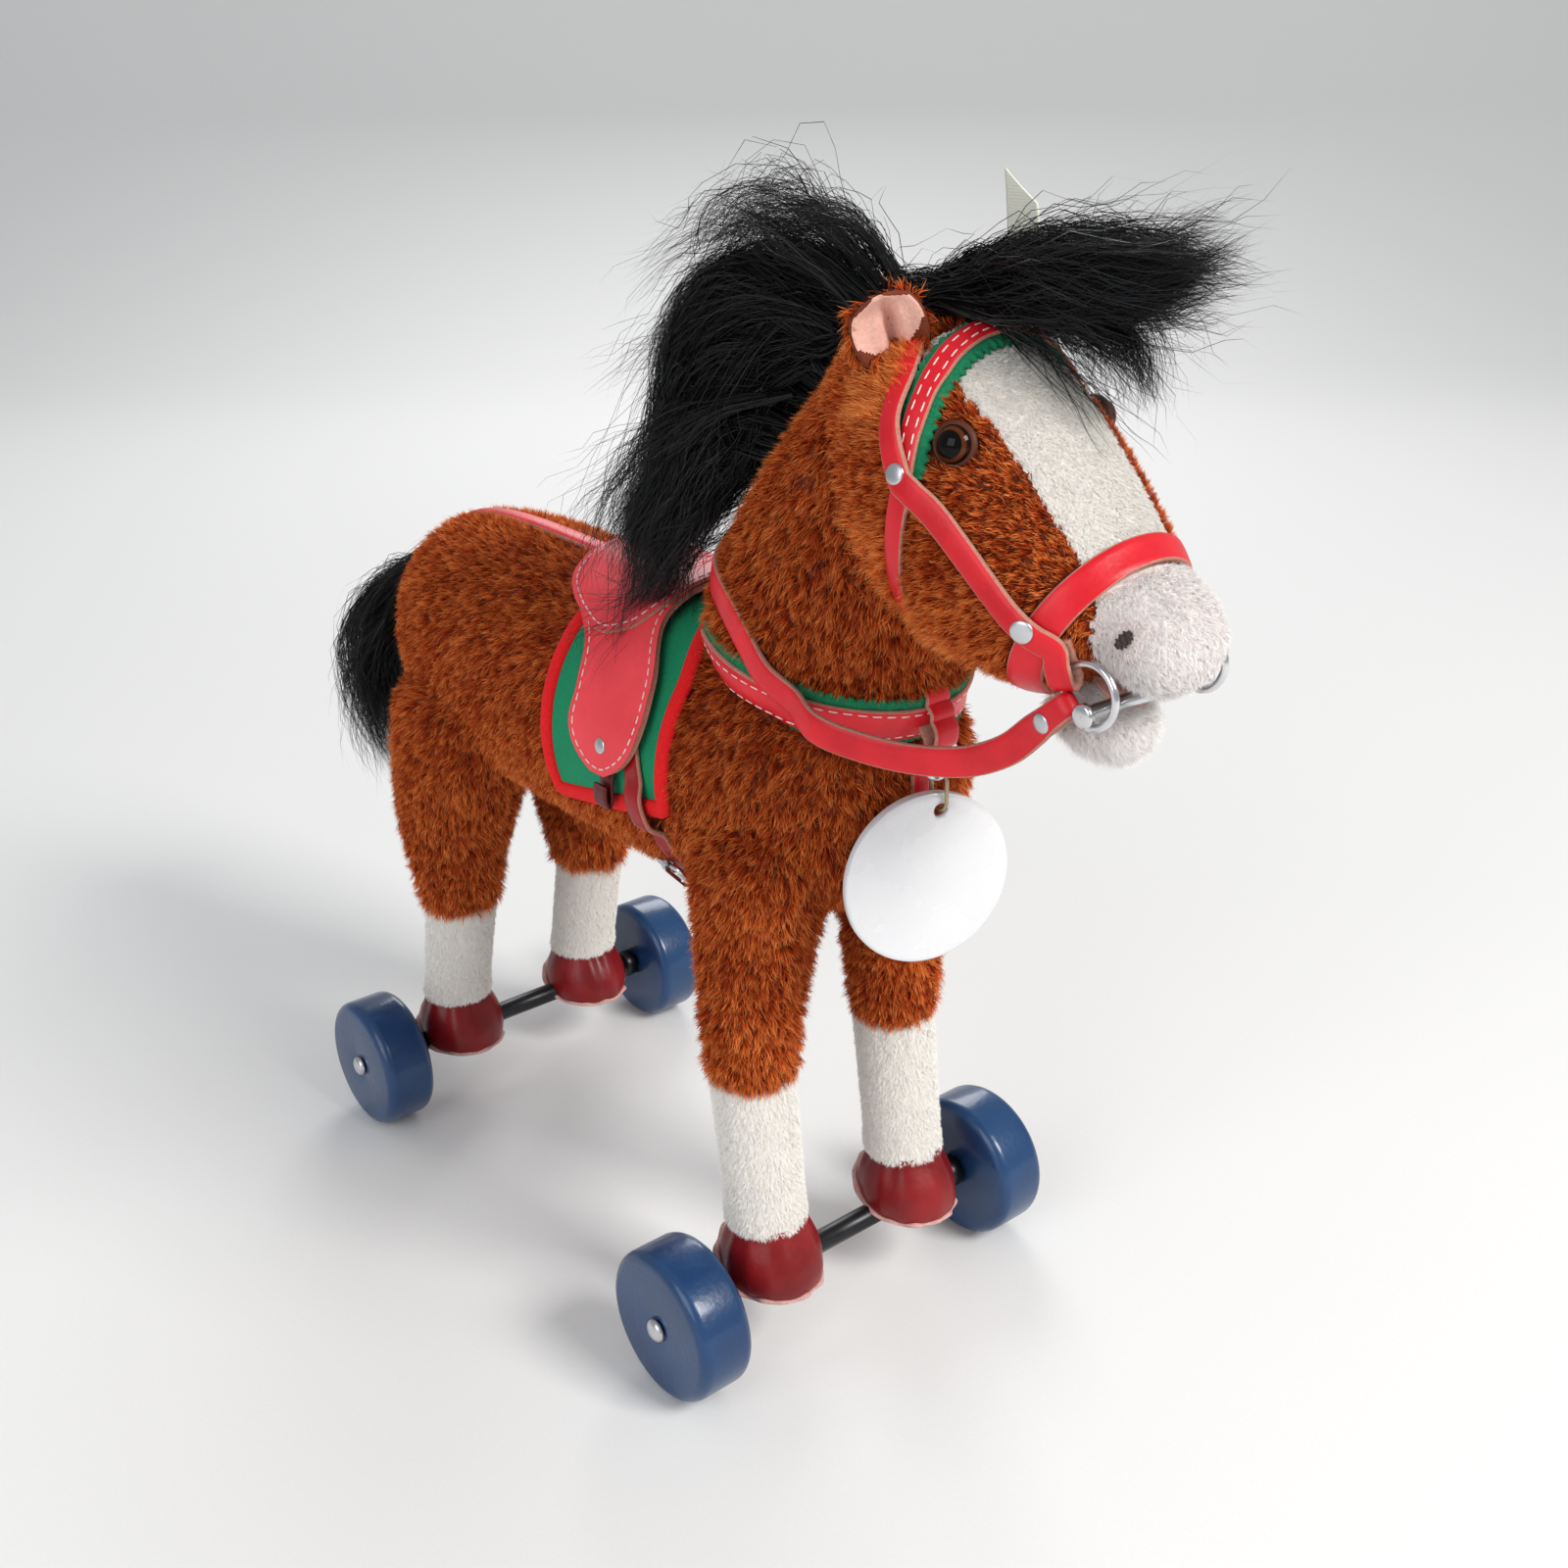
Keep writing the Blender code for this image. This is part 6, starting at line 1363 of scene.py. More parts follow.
def zones_of(points):
    """For each point, the number of the zone whose solid is nearest."""
    zones = np.zeros(len(points), int)
    for index, point in enumerate(points):
        place = Vector(point)
        best, reach = 0, ZONE_REACH
        for zone, tree in enumerate(ZONE_TREES):
            hit = tree.find_nearest(place, reach)
            if hit[0] is not None and hit[3] < reach:
                best, reach = zone, hit[3]
        zones[index] = best
    return zones


def pile_cloth(name, colour, dark):
    finish = Finish(name, Roughness=0.95)
    weave = finish.noise(1400, 4)
    finish.set("Base Color", weave.mix(dark, colour))
    finish.bump(weave, 0.6, 0.0006)
    return finish


BROWN_CLOTH = pile_cloth("brown_cloth", (0.200, 0.036, 0.007), (0.110, 0.016, 0.003))
CREAM_CLOTH = pile_cloth("cream_cloth", (0.920, 0.860, 0.780), (0.850, 0.760, 0.660))
WHITE_CLOTH = pile_cloth("white_cloth", (0.930, 0.850, 0.810), (0.880, 0.760, 0.710))

HIDE_POINTS, HIDE_FACES = skin_over(TRUNK + FACE + ["inner_frame"], 0.0013, 7)
middles = HIDE_POINTS[HIDE_FACES].mean(1)
HIDE_ZONES = zones_of(middles)
kept = HIDE_ZONES != FRAME_ZONE
HIDE_FACES, HIDE_ZONES = HIDE_FACES[kept], HIDE_ZONES[kept]
slots = np.select([HIDE_ZONES == BLAZE_ZONE, HIDE_ZONES == MUZZLE_ZONE], [1, 2], 0)
cloths = [BROWN_CLOTH, CREAM_CLOTH, WHITE_CLOTH]
hide = new_piece("stuffed_hide", HIDE_POINTS, [HIDE_FACES], cloths, slots=slots)
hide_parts(*TRUNK, *FACE)
print("hide:", len(HIDE_FACES), "faces")

SOCKS = four("sock")
SOCK_POINTS, SOCK_FACES = skin_over(SOCKS, 0.0009, 4)
CUFF, CUFF_DROP, CUFF_FLARE = 0.0050, 0.0026, 0.07
for name in SOCKS:
    low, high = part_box(name)
    from_middle = SOCK_POINTS[:, :2] - array((low + high) / 2)[:2]
    near = np.abs(from_middle).max(1) < (high.x - low.x) * 0.75
    near &= (SOCK_POINTS[:, 2] > low.z - 0.002) & (SOCK_POINTS[:, 2] < high.z + 0.002)
    share = clipped(1 - (SOCK_POINTS[:, 2] - low.z) / CUFF) ** 1.5 * near
    SOCK_POINTS[:, :2] += from_middle * (share * CUFF_FLARE)[:, None]
    SOCK_POINTS[:, 2] -= share * CUFF_DROP
socks = new_piece("sock_sleeves", SOCK_POINTS, [SOCK_FACES], [CREAM_CLOTH])
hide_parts(*SOCKS)
print("socks:", len(SOCK_FACES), "faces")

# %% [markdown]
# ## Ears and eyes
#
# Each ear is a cupped leaf, felt inside and pile outside, thinning to a soft rim where its two sides meet.
# The eyes are glass on a wire: a clear dome over a brown ring and a black pupil, set in a dark lid that
# hides the hole in the hide. The ring and pupil are told apart by the distance from the eye's own axis.

# %% Ears
PINK = felt("ear_felt", (0.840, 0.520, 0.430), (0.700, 0.360, 0.280))
LINING = felt("mouth_felt", (0.800, 0.420, 0.330), (0.640, 0.290, 0.220))
EAR_SHARES = array(((0, 0.55), (0.18, 0.82), (0.45, 1.0), (0.72, 0.94), (0.90, 0.70), (1.0, 0.40)))
EAR_HEIGHT, EAR_HALF, EAR_THICK = 0.0158, 0.0071, 0.0027
EAR_ROWS, EAR_COLUMNS = 30, 33


def hill(values, middle, width):
    """A soft hill, 1 at its middle."""
    return np.exp(-(((values - middle) / width)**2))


ear_roots = []
for side, sign in SIDES:
    turn = Matrix.LocRotScale(on_head(sign * 0.0170, 0.0138, -0.0027), None, None)
    lean = Matrix.Rotation(sign * radians(34), 4, "Z") @ Matrix.Rotation(sign * radians(24), 4, "Y")
    turn = array(turn @ lean @ Matrix.Rotation(radians(10), 4, "X"))
    ups = np.linspace(0, 1, EAR_ROWS)
    wide = np.array([blended(EAR_SHARES, up)[0] for up in ups])
    wide = wide * np.sqrt(clipped(1 - clipped((ups - 0.80) / 0.20)**2 * 0.85))
    a, u = np.meshgrid(np.sin(np.linspace(-1, 1, EAR_COLUMNS) * pi / 2), ups)
    curl = np.interp(u, (0, 0.35, 0.75, 1), (1.75, 1.45, 1.15, 0.8))
    radius = wide[:, None] * EAR_HALF / np.sin(np.minimum(curl, pi / 2))
    angle = a * curl
    across, back = radius * np.sin(angle), radius * (np.cos(angle) - np.cos(curl)) * 0.72
    thick = EAR_THICK * np.sqrt(clipped(1 - a**6)) * np.sqrt(clipped(1 - clipped((u - 0.84) / 0.16)**2))
    from_fold = a - 0.10 - (u - 0.5) * 0.25
    pinch = hill(from_fold, 0, 0.13) * clipped((0.86 - u) / 0.3) * 0.0026
    pinch -= hill(from_fold, -0.42, 0.28) * clipped((1 - u) / 0.4) * 0.0012
    pinch -= hill(from_fold, 0.36, 0.20) * clipped((1 - u) / 0.4) * 0.0009
    leaning = clipped((u - 0.7) / 0.3)**2 * 0.0016
    sheets = []
    for half in (-0.5, 0.5):
        out = half * thick + (pinch if half < 0 else 0)
        local = [across + np.sin(angle) * out, back + np.cos(angle) * out - leaning]
        local = np.stack(local + [u * EAR_HEIGHT, np.ones_like(a)], -1)
        sheets.append(local.reshape(-1, 4) @ turn.T[:, :3])
    points = np.concatenate(sheets)
    face, count = grid_faces(EAR_ROWS, EAR_COLUMNS), EAR_ROWS * EAR_COLUMNS
    inside = ((a + 0.02) / 1.1)**2 + ((u - 0.66) / 0.50)**2 < 1
    hairy = (np.abs(a) < 0.93) & (u < 0.90)
    pink, hairy, low_inside = (part.reshape(-1)[face].all(1) for part in (inside, hairy, u < 0.28))
    slots = np.concatenate([~pink, np.ones(len(face))])
    groups = [face, face[:, ::-1] + count]
    ear = new_piece(
        "ear_leaf_" + side, points, groups, [PINK, BROWN_CLOTH], "ear_" + side, slots=slots,
    )
    ear_roots.append((points, np.concatenate([face[low_inside], face[hairy][:, ::-1] + count])))
points, faces = skin_over(["mouth_lining"], 0.0004, 4)
lining = new_piece("mouth_felt_lining", points, [faces], [LINING], "mouth_lining")
print("ears ready")

# %% Eyes
EYE_RADIUS, LID_DROP, LID_THICKNESS = 0.0041, 0.0038, 0.0009
LID = leather("eye_lid", (0.120, 0.028, 0.010), (0.050, 0.010, 0.004), 0.6)
eye_pieces = []
for side, sign in SIDES:
    low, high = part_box("eye_" + side)
    centre = (low + high) / 2
    facing = (centre - Vector((0, centre.y + 0.006, centre.z - 0.004))).normalized()
    centre = centre - facing * 0.0012
    glass = Finish("glass_eye_" + side, Coat_Weight=0.18, Coat_Roughness=0.02, Roughness=0.10)
    glass.set("Specular IOR Level", 0.05)
    offset = glass.place() - array(centre)
    along = glass.node("VectorMath", {"operation": "DOT_PRODUCT"}, {0: offset, 1: facing}, output=1)
    ring = glass.noise(700, 3).mix((0.030, 0.006, 0.002), (0.150, 0.036, 0.008))
    pupil = (along / EYE_RADIUS).ramp(0.735, 0.765)
    rim = (along / EYE_RADIUS).ramp(0.55, 0.60)
    glass.set("Base Color", pupil.mix(rim.mix((0.010, 0.004, 0.002), ring), (0.002, 0.002, 0.002)))
    profile = [(EYE_RADIUS * sin(t), EYE_RADIUS * cos(t)) for t in spread(0.01, pi - 0.01, 28)]
    points, faces = turned(profile, 40, centre, facing)
    ball = new_piece("glass_eye_ball_" + side, points, [faces], [glass], "eye_" + side)
    first = facing.cross(Z).normalized()
    oval = circle(array(first) * EYE_RADIUS, array(first.cross(facing)) * LID_DROP, 40)
    line = array(centre + facing * 0.0008) + oval
    points, faces = swept(line, unit(oval), round_section(LID_THICKNESS, 10, 0.8), closed=True)
    eye_pieces += [ball, new_piece("eye_lid_" + side, points, [faces], [LID])]
print("eyes ready")

# %% [markdown]
# ## Pile
#
# Mohair pile is the look of this toy. Each fibre bundle is a thin blade of mesh: a root, a middle and a
# pointed tip. Its colour is dark at the root, a painted shade deep in the pile, and golden at the tip, a
# painted highlight where light goes through a real fibre's end. Blades lean down and back, as the pile
# was brushed, and gather into tufts. Hair curves would render as well, but meshes can be measured, moved
# and baked like every other piece. A strap presses on the pile: no blade grows under leather, and those
# beside it stand up until they clear it.

# %% Roots on the hide
BLADES_IN_PIECE = 62000
rng = np.random.default_rng(7)


def rooted(points, faces, density, keep=1.0):
    """Random places on four-sided faces: points, the face of each, and the skin's smooth normals there."""
    quads = points[faces]
    normal = np.cross(quads[:, 2] - quads[:, 0], quads[:, 3] - quads[:, 1])
    count = rng.poisson(np.linalg.norm(normal, axis=1) / 2 * keep * density * 1e6)
    face = np.repeat(np.arange(len(faces)), count)
    s, t = rng.random((2, len(face), 1))
    q = quads[face]
    place = (q[:, 0] * (1 - s) + q[:, 1] * s) * (1 - t) + (q[:, 3] * (1 - s) + q[:, 2] * s) * t
    smooth = np.zeros_like(points)
    for corner in range(4):
        np.add.at(smooth, faces[:, corner], normal)
    return place, face, unit(unit(smooth)[faces[face]].mean(1))


HARNESS = [
    noseband, browband, brow_felt, throatlatch, collar, collar_felt, tab, martingale, girth, crupper,
    rein, blanket, piping, saddle, seat, buckle, headstall, *eye_pieces,
]
UNDER_FUR = 0.0070
ROOT_DEPTH, COVER = 0.0008, 0.0060
HEAD_INVERSE = HEAD_FRAME.inverted()


def makes_way(mesh, face):
    """Whether fur makes way for a face. It covers the top of the headstall."""
    return mesh != headstall.data or (HEAD_INVERSE @ face.center).z > UNDER_FUR


HARNESS_TREE = tree_over([piece.data for piece in HARNESS], makes_way)


def in_head_measure(points):
    """Points in the head's own measure: sideways, out of the face, and towards the mouth."""
    return (np.concatenate([points, np.ones((len(points), 1))], 1) @ array(HEAD_INVERSE).T)[:, :3]


def distance_beside(points, place):
    """How far points are from a place or from its mirror image, whichever is nearer."""
    return np.linalg.norm(np.abs(points) * (1, 0, 0) + points * (0, 1, 1) - place, axis=1)


def flat_to(vectors, normals):
    """Vectors with the part along the normals taken out, made one long."""
    return unit(vectors - (vectors * normals).sum(1, keepdims=True) * normals)


def tufts(roots, per_tuft):
    """For each root, the number of the tuft centre nearest to it, and which roots are the centres."""
    centres = rng.choice(len(roots), max(1, int(len(roots) / per_tuft)), replace=False)
    tree = KDTree(len(centres))
    for index, centre in enumerate(centres):
        tree.insert(roots[centre], index)
    tree.balance()
    nearest = np.fromiter((tree.find(root)[1] for root in roots), int, len(roots))
    return nearest, centres


def grow(roots, normals, flow, length, stand, per_tuft, gather, wild, width, avoid=None):
    """Three points down each blade, its side and width, which blades are kept, and the tuft of each."""
    count = len(roots)
    tuft, centres = tufts(roots, per_tuft)
    tuft_way = rng.normal(size=(len(centres), 3)) * wild
    way = unit(normals * stand[:, None] + flow + tuft_way[tuft] + rng.normal(size=(count, 3)) * wild * 0.5)
    length = length * rng.uniform(0.72, 1.12, count)
    middle = roots + way * (length * 0.5)[:, None]
    bent = unit(way + flow * 0.55 + rng.normal(size=(count, 3)) * wild * 0.5)
    tip = middle + bent * (length * 0.5)[:, None]
    pull = gather * rng.uniform(0.6, 1.0, count)[:, None]
    centre_root, centre_middle, centre_tip = roots[centres][tuft], middle[centres][tuft], tip[centres][tuft]
    middle = middle * (1 - pull * 0.35) + (centre_middle + (roots - centre_root) * 0.5) * pull * 0.35
    tip = tip * (1 - pull) + (centre_tip + (roots - centre_root) * 0.25) * pull
    lift = ((tip - roots) * normals).sum(1)
    tip += normals * np.clip(length * 0.22 - lift, 0, None)[:, None]
    keep = np.ones(count, bool)
    if avoid is not None:
        for index in range(count):
            root, normal = Vector(roots[index]), Vector(normals[index])
            if avoid.ray_cast(root - normal * ROOT_DEPTH, normal, ROOT_DEPTH + COVER)[0] is not None:
                keep[index] = False
                continue
            for attempt in range(3):
                first, second = Vector(middle[index]), Vector(tip[index])
                one, two = first - root, second - first
                clear = avoid.ray_cast(root, one, one.length)[0] is None
                if clear and avoid.ray_cast(first, two, two.length * 1.05)[0] is None:
                    break
                rise, run = normals[index] * length[index], flow[index] * length[index]
                middle[index] = array(root) + rise * 0.42 + run * (0.12 - 0.12 * attempt)
                tip[index] = middle[index] + rise * 0.40 + run * (0.10 - 0.15 * attempt)
            else:
                keep[index] = False
    side = np.cross(tip - roots, normals + rng.normal(size=(count, 3)) * 0.45)
    return roots, middle, tip, unit(side), width, keep, tuft


def in_pieces(name, points, patterns, tone, run, finish, limit, node=None):
    """Meshes of many like shapes, at most limit in each. points has a row for each shape.

    patterns are the faces of the first shape. tone, 0..1, is one for each shape, and run one for each
    of a shape's points: together they are the map that colours a blade or hair.
    """
    starts, corners = range(0, len(points), limit), points.shape[1]
    for part, start in enumerate(starts):
        some, tones = points[start:start + limit], np.clip(tone[start:start + limit], 0.01, 0.99)
        base = np.arange(len(some))[:, None, None] * corners
        groups = [(base + pattern).reshape(-1, len(pattern[0])) for pattern in patterns]
        uvs = np.stack([np.repeat(tones, corners), np.tile(run, len(some))], 1)
        label, stands_for = "%s_%d" % (name, part + 1), None if part else node
        new_piece(label, some, groups, [finish], stands_for, uvs=uvs)
    print(name, "shapes:", len(points), "pieces:", len(starts))


def blades(name, finish, shape, tone):
    """Meshes of blades, four-sided at the foot and three-sided at the tip."""
    roots, middle, tip, side, width, keep, _ = shape
    r, m, t, half = roots[keep], middle[keep], tip[keep], side[keep] * (width / 2)
    points = np.stack([r - half, r + half, m + half * 0.8, m - half * 0.8, t], 1)
    patterns, run = ([(0, 1, 2, 3)], [(3, 2, 4)]), (0.02, 0.02, 0.5, 0.5, 0.98)
    in_pieces(name, points, patterns, tone[keep], run, finish, BLADES_IN_PIECE)


def pile_finish(name, stops, roughness=0.55, gleam=0.5, sheen=0.0):
    """Colour runs along a blade by stops, from a painted shade at the root to a painted highlight at the tip,
    and from dark to light by its tone.
    """
    finish = Finish(name, Roughness=roughness, Specular_IOR_Level=gleam, Sheen_Weight=sheen)
    tone, run, _ = finish.parts(finish.map("OFBake"))
    # Both ramps run from a painted shade at the root to a painted highlight at the tip.
    down = finish.node("ValToRGB", {"stops": stops[0]}, {"Fac": run})
    up = finish.node("ValToRGB", {"stops": stops[1]}, {"Fac": run})
    finish.set("Base Color", tone.mix(down, up))
    return finish


print("pile tools ready")

# %% Brown mohair
EAR_PLACE, NOSTRIL_PLACE = (0.021, 0.012, 0.001), (0.0125, SHIFT - 0.1725, 0.2130)
# Each blade runs from a painted shade at its root to a painted golden highlight at its tip. The two ramps are
# its dark and light tones.
BROWN_PILE = pile_finish("brown_mohair", (
    ((0.0, (0.080, 0.005, 0.001)), (0.5, (0.250, 0.017, 0.002)), (1.0, (0.500, 0.055, 0.006))),
    ((0.0, (0.280, 0.026, 0.003)), (0.5, (0.800, 0.140, 0.020)), (1.0, (1.000, 0.480, 0.140))),
), 0.6, 0.05)

brown_faces = (HIDE_ZONES == TRUNK_ZONE) | (HIDE_ZONES == HEAD_ZONE)
middle_local = in_head_measure(middles[kept])
crown = (HIDE_ZONES == HEAD_ZONE) & (middle_local[:, 2] < 0.006) & (np.abs(middle_local[:, 0]) > 0.008)
dense = np.where(HIDE_ZONES == HEAD_ZONE, 1.45, 1.0) * np.where(crown, 1.4, 1.0)
roots, face, root_normals = rooted(HIDE_POINTS, HIDE_FACES, 5.2, brown_faces * dense)
hide_tree = BVHTree.FromPolygons([Vector(p) for p in HIDE_POINTS], [tuple(f) for f in HIDE_FACES])
sock_tree = tree_over([socks.data])
CREASE, SOCK_GAP = 0.004, 0.0012


def in_open_air(root, normal):
    """Whether a root lies neither in a crease of the hide nor under a sock."""
    root, normal = Vector(root), Vector(normal)
    clear = hide_tree.ray_cast(root + normal * (CREASE / 10), normal, CREASE)[0] is None
    return clear and sock_tree.find_nearest(root, SOCK_GAP)[0] is None


open_air = np.fromiter(map(in_open_air, roots, root_normals), bool, len(roots))
roots, face, root_normals = (table[open_air] for table in (roots, face, root_normals))
on_the_head = HIDE_ZONES[face] == HEAD_ZONE
height = roots[:, 2]
local = in_head_measure(roots)
forward_share = clipped((0.02 - (roots[:, 1] - SHIFT)) / 0.10)
flow = np.stack([np.zeros(len(roots)), 0.50 - 0.35 * forward_share, np.full(len(roots), -1.0)], 1)
flow = np.where((height < 0.120)[:, None], array((0, 0.10, -1.0)), flow)
flow = np.where(on_the_head[:, None], array(-HEAD_ALONG) * 0.75 + array((0, 0, -0.55)), flow)
flow[:, 0] += np.sin(roots[:, 1] * 90 + roots[:, 2] * 70) * 0.22
flow = flat_to(flow, root_normals)
jaw = on_the_head * clipped((-0.006 - local[:, 1]) / 0.012) * clipped((0.052 - local[:, 2]) / 0.012)
by_ear = clipped(2 - distance_beside(local, EAR_PLACE) / 0.0065)
ankle = clipped((0.088 - height) / 0.020)
face_front = clipped((local[:, 1] - 0.004) / 0.012) * on_the_head
length = np.where(on_the_head, 0.0029, 0.0039) + jaw * 0.0030 + by_ear * 0.0034 + ankle * 0.0012
length = length * (1 - 0.15 * face_front)
stand = np.where(on_the_head, 1.7, 1.15) - jaw * 1.1 - by_ear * 0.4 - ankle * 0.4
print("roots:", len(roots))
shape = grow(roots, root_normals, flow, length, stand, 8, 0.34, 0.62, 0.00021, HARNESS_TREE)
tuft = shape[6]
tuft_tone = rng.normal(size=tuft.max() + 1) * 0.20
x, y, z = roots.T
patch = np.sin(y * 210 + np.sin(z * 260)) * np.sin(z * 190 + x * 230)
fleck = np.sin(y * 1300 + np.sin(z * 900) * 2) * np.sin(z * 1150 + x * 1250)
tone = 0.35 + 0.13 * patch + 0.18 * fleck + tuft_tone[tuft] + rng.normal(size=len(roots)) * 0.15
tone += clipped((0.150 - height) / 0.05) * 0.08
tone += 0.30 * jaw + 0.34 * by_ear + 0.22 * ankle
tone = np.where(rng.random(len(roots)) < 0.05, 0.95, tone)
blades("brown_pile", BROWN_PILE, shape, tone)

# %% Cream and white pile
# The roots are a little darker and warmer than the tips: painted shade in the short pile. The light tips are
# near the pile's own white.
CREAM_PILE = pile_finish("cream_pile", (
    ((0.0, (0.880, 0.810, 0.720)), (0.5, (0.930, 0.890, 0.830)), (1.0, (0.960, 0.940, 0.900))),
    ((0.0, (0.920, 0.870, 0.800)), (0.5, (0.960, 0.940, 0.900)), (1.0, (0.980, 0.970, 0.950))),
), 0.8, 0.1, 0.4)
WHITE_PILE = pile_finish("white_pile", (
    ((0.0, (0.900, 0.720, 0.660)), (0.5, (0.940, 0.850, 0.810)), (1.0, (0.970, 0.940, 0.920))),
    ((0.0, (0.940, 0.880, 0.850)), (0.5, (0.970, 0.950, 0.940)), (1.0, (0.980, 0.980, 0.975))),
), 0.8, 0.1, 0.4)


def short_pile(
    name, finish, skin, density, long, stand, wild, width, way=HEAD_ALONG, avoid=HARNESS_TREE,
):
    """Short even pile on a skin, which is given as points, faces and which of the faces grow it."""
    roots, _, root_normals = rooted(*skin[:2], density, *skin[2:])
    flow = flat_to(array(way) + rng.normal(size=(len(roots), 3)) * 0.2, root_normals)
    long = np.full(len(roots), long) if np.isscalar(long) else long(roots)
    shape = grow(roots, root_normals, flow, long, np.full(len(roots), stand), 7, 0.10, wild, width, avoid)
    tone = 0.72 + rng.normal(size=len(roots)) * 0.18
    tone -= clipped(1.3 - distance_beside(roots, NOSTRIL_PLACE) / 0.005) * 0.6
    blades(name, finish, shape, tone)


def muzzle_length(roots):
    """Short on top of the nose, long and fluffy towards the chin."""
    rise = in_head_measure(roots)[:, 1]
    return np.interp(rise, (-0.022, -0.012, 0.002, 0.012), (0.0042, 0.0034, 0.0024, 0.0017))


BLAZE_SKIN = HIDE_POINTS, HIDE_FACES, HIDE_ZONES == BLAZE_ZONE
MUZZLE_SKIN = HIDE_POINTS, HIDE_FACES, HIDE_ZONES == MUZZLE_ZONE
short_pile("blaze_pile", CREAM_PILE, BLAZE_SKIN, 46, 0.0012, 0.60, 0.40, 0.00011)
short_pile("muzzle_pile", WHITE_PILE, MUZZLE_SKIN, 32, muzzle_length, 0.80, 0.60, 0.00012)
short_pile(
    "sock_pile", CREAM_PILE, (SOCK_POINTS, SOCK_FACES), 24, 0.0014, 0.70, 0.45, 0.00013,
    (0, 0, -1), None,
)
for skin, (side, _) in zip(ear_roots, SIDES):
    roots, _, root_normals = rooted(*skin, 9)
    flow = flat_to(array((0, 0.5, -1.0)), root_normals)
    long, stand = 0.0026 + 0.0024 * rng.random(len(roots)), np.full(len(roots), 0.5)
    shape = grow(roots, root_normals, flow, long, stand, 7, 0.3, 0.55, 0.00022, HARNESS_TREE)
    tone = 0.55 + rng.normal(size=len(roots)) * 0.2
    blades("ear_pile_" + side, BROWN_PILE, shape, tone)

# %% [markdown]
# ## Mane, forelock and tail
#
# The hair is long, black and slightly waved, sewn in along the crest of the neck. It hangs in locks, so
# each lock is one guide line and its hairs follow the line with small offsets that close again towards
# the tip. The mane's locks run between two guide lines: one along the crest, and one along the outline
# that the hair makes where it stands up, blows back and falls over the front of the saddle.

# %% Hairs along locks
HAIR_POINTS, GUIDE_POINTS, HAIRS_IN_PIECE = 12, 24, 9400


def along_lines(lines, reach):
    """Each line read at HAIR_POINTS places from its start to reach, which may be a little over 1."""
    count, steps = lines.shape[:2]
    at = np.linspace(0, 1, HAIR_POINTS)[None] * reach[:, None] * (steps - 1)
    low = np.clip(at.astype(int), 0, steps - 2)
    share = (at - low)[..., None]
    row = np.arange(count)[:, None]
    return lines[row, low] * (1 - share) + lines[row, low + 1] * share


def eased(value):
    value = clipped(value)
    return value * value * (3 - 2 * value)


def hair(name, lines, per_lock, bulk, wave, width, loose, node=None):
    """Hairs round each guide line. bulk and wave are in metres, loose is the share that strays."""
    lock = np.repeat(np.arange(len(lines)), per_lock)
    count = len(lock)
    reach = rng.uniform(0.70, 1.06, count)
    line = along_lines(lines[lock], reach)
    along = unit(np.gradient(line, axis=1))
    side = unit(np.cross(along, (0.9, 0.3, 0.2)))
    up = np.cross(side, along)
    t = np.linspace(0, 1, HAIR_POINTS)[None]
    angle = rng.uniform(0, tau, count)[:, None]
    far = np.sqrt(rng.random(count))[:, None]
    stray = (rng.random(count) < loose)[:, None]
    body = 0.45 + 2.1 * t * (1 - t) + 0.20 * t
    body = np.where(stray, body + 2.2 * t**1.5, body)
    offset = far * bulk * body
    turn = angle + t * rng.uniform(-1.5, 1.5, count)[:, None]
    lock_phase = rng.uniform(0, tau, (len(lines), 2))[lock]
    own = rng.uniform(0.6, 1.5, count)[:, None] * np.where(stray, 1.8, 1.0)
    curly = rng.uniform(0.5, 1.7, (len(lines), 1))[lock] * wave
    whole, frizz = curly * eased(t * 2), wave * 0.34 * own * t
    sway = np.sin(t * 8.5 + lock_phase[:, :1]) * whole + np.sin(t * 21 + angle) * frizz
    swing = np.cos(t * 7.0 + lock_phase[:, 1:]) * whole + np.cos(t * 18 + angle * 2) * frizz
    drift = rng.normal(size=(count, 1, 3)) * np.where(stray, 0.0042, 0.0009)[..., None] * (t**1.6)[..., None]
    line = line + side * (np.cos(turn) * offset + sway)[..., None]
    line = line + up * (np.sin(turn) * offset + swing)[..., None] + drift
    along = unit(np.gradient(line, axis=1))
    flat = unit(np.cross(along, rng.normal(size=(count, 1, 3))))
    half = (width * rng.uniform(0.7, 1.2, count)[:, None] / 2 * np.sqrt(clipped(1.02 - t**2)))[..., None]
    left, right = line - flat * half, line + flat * half
    tone = 0.5 + rng.normal(size=count) * 0.2 + (rng.random(len(lines))[lock] - 0.5) * 0.4
    pairs = np.stack([left[:, :-1], right[:, :-1]], 2).reshape(count, -1, 3)
    points = np.concatenate([pairs, line[:, -1:]], 1)
    rungs = np.arange(HAIR_POINTS - 2)[:, None] * 2 + (0, 1, 3, 2)
    tips = points.shape[1] - np.array([(3, 2, 1)])
    run = np.append(np.repeat(np.linspace(0.02, 0.9, HAIR_POINTS - 1), 2), 0.98)
    in_pieces(name, points, (rungs, tips), tone, run, HAIR, HAIRS_IN_PIECE, node)


# The black hair turns a faint blue-grey towards the tip: a painted highlight on the wisps.
HAIR = pile_finish("black_long_hair", (
    ((0.0, (0.0020, 0.0020, 0.0020)), (0.5, (0.0030, 0.0030, 0.0032)), (1.0, (0.0050, 0.0052, 0.0058))),
    ((0.0, (0.0040, 0.0040, 0.0042)), (0.5, (0.0070, 0.0072, 0.0078)), (1.0, (0.0160, 0.0170, 0.0190))),
), 0.38, 0.28)


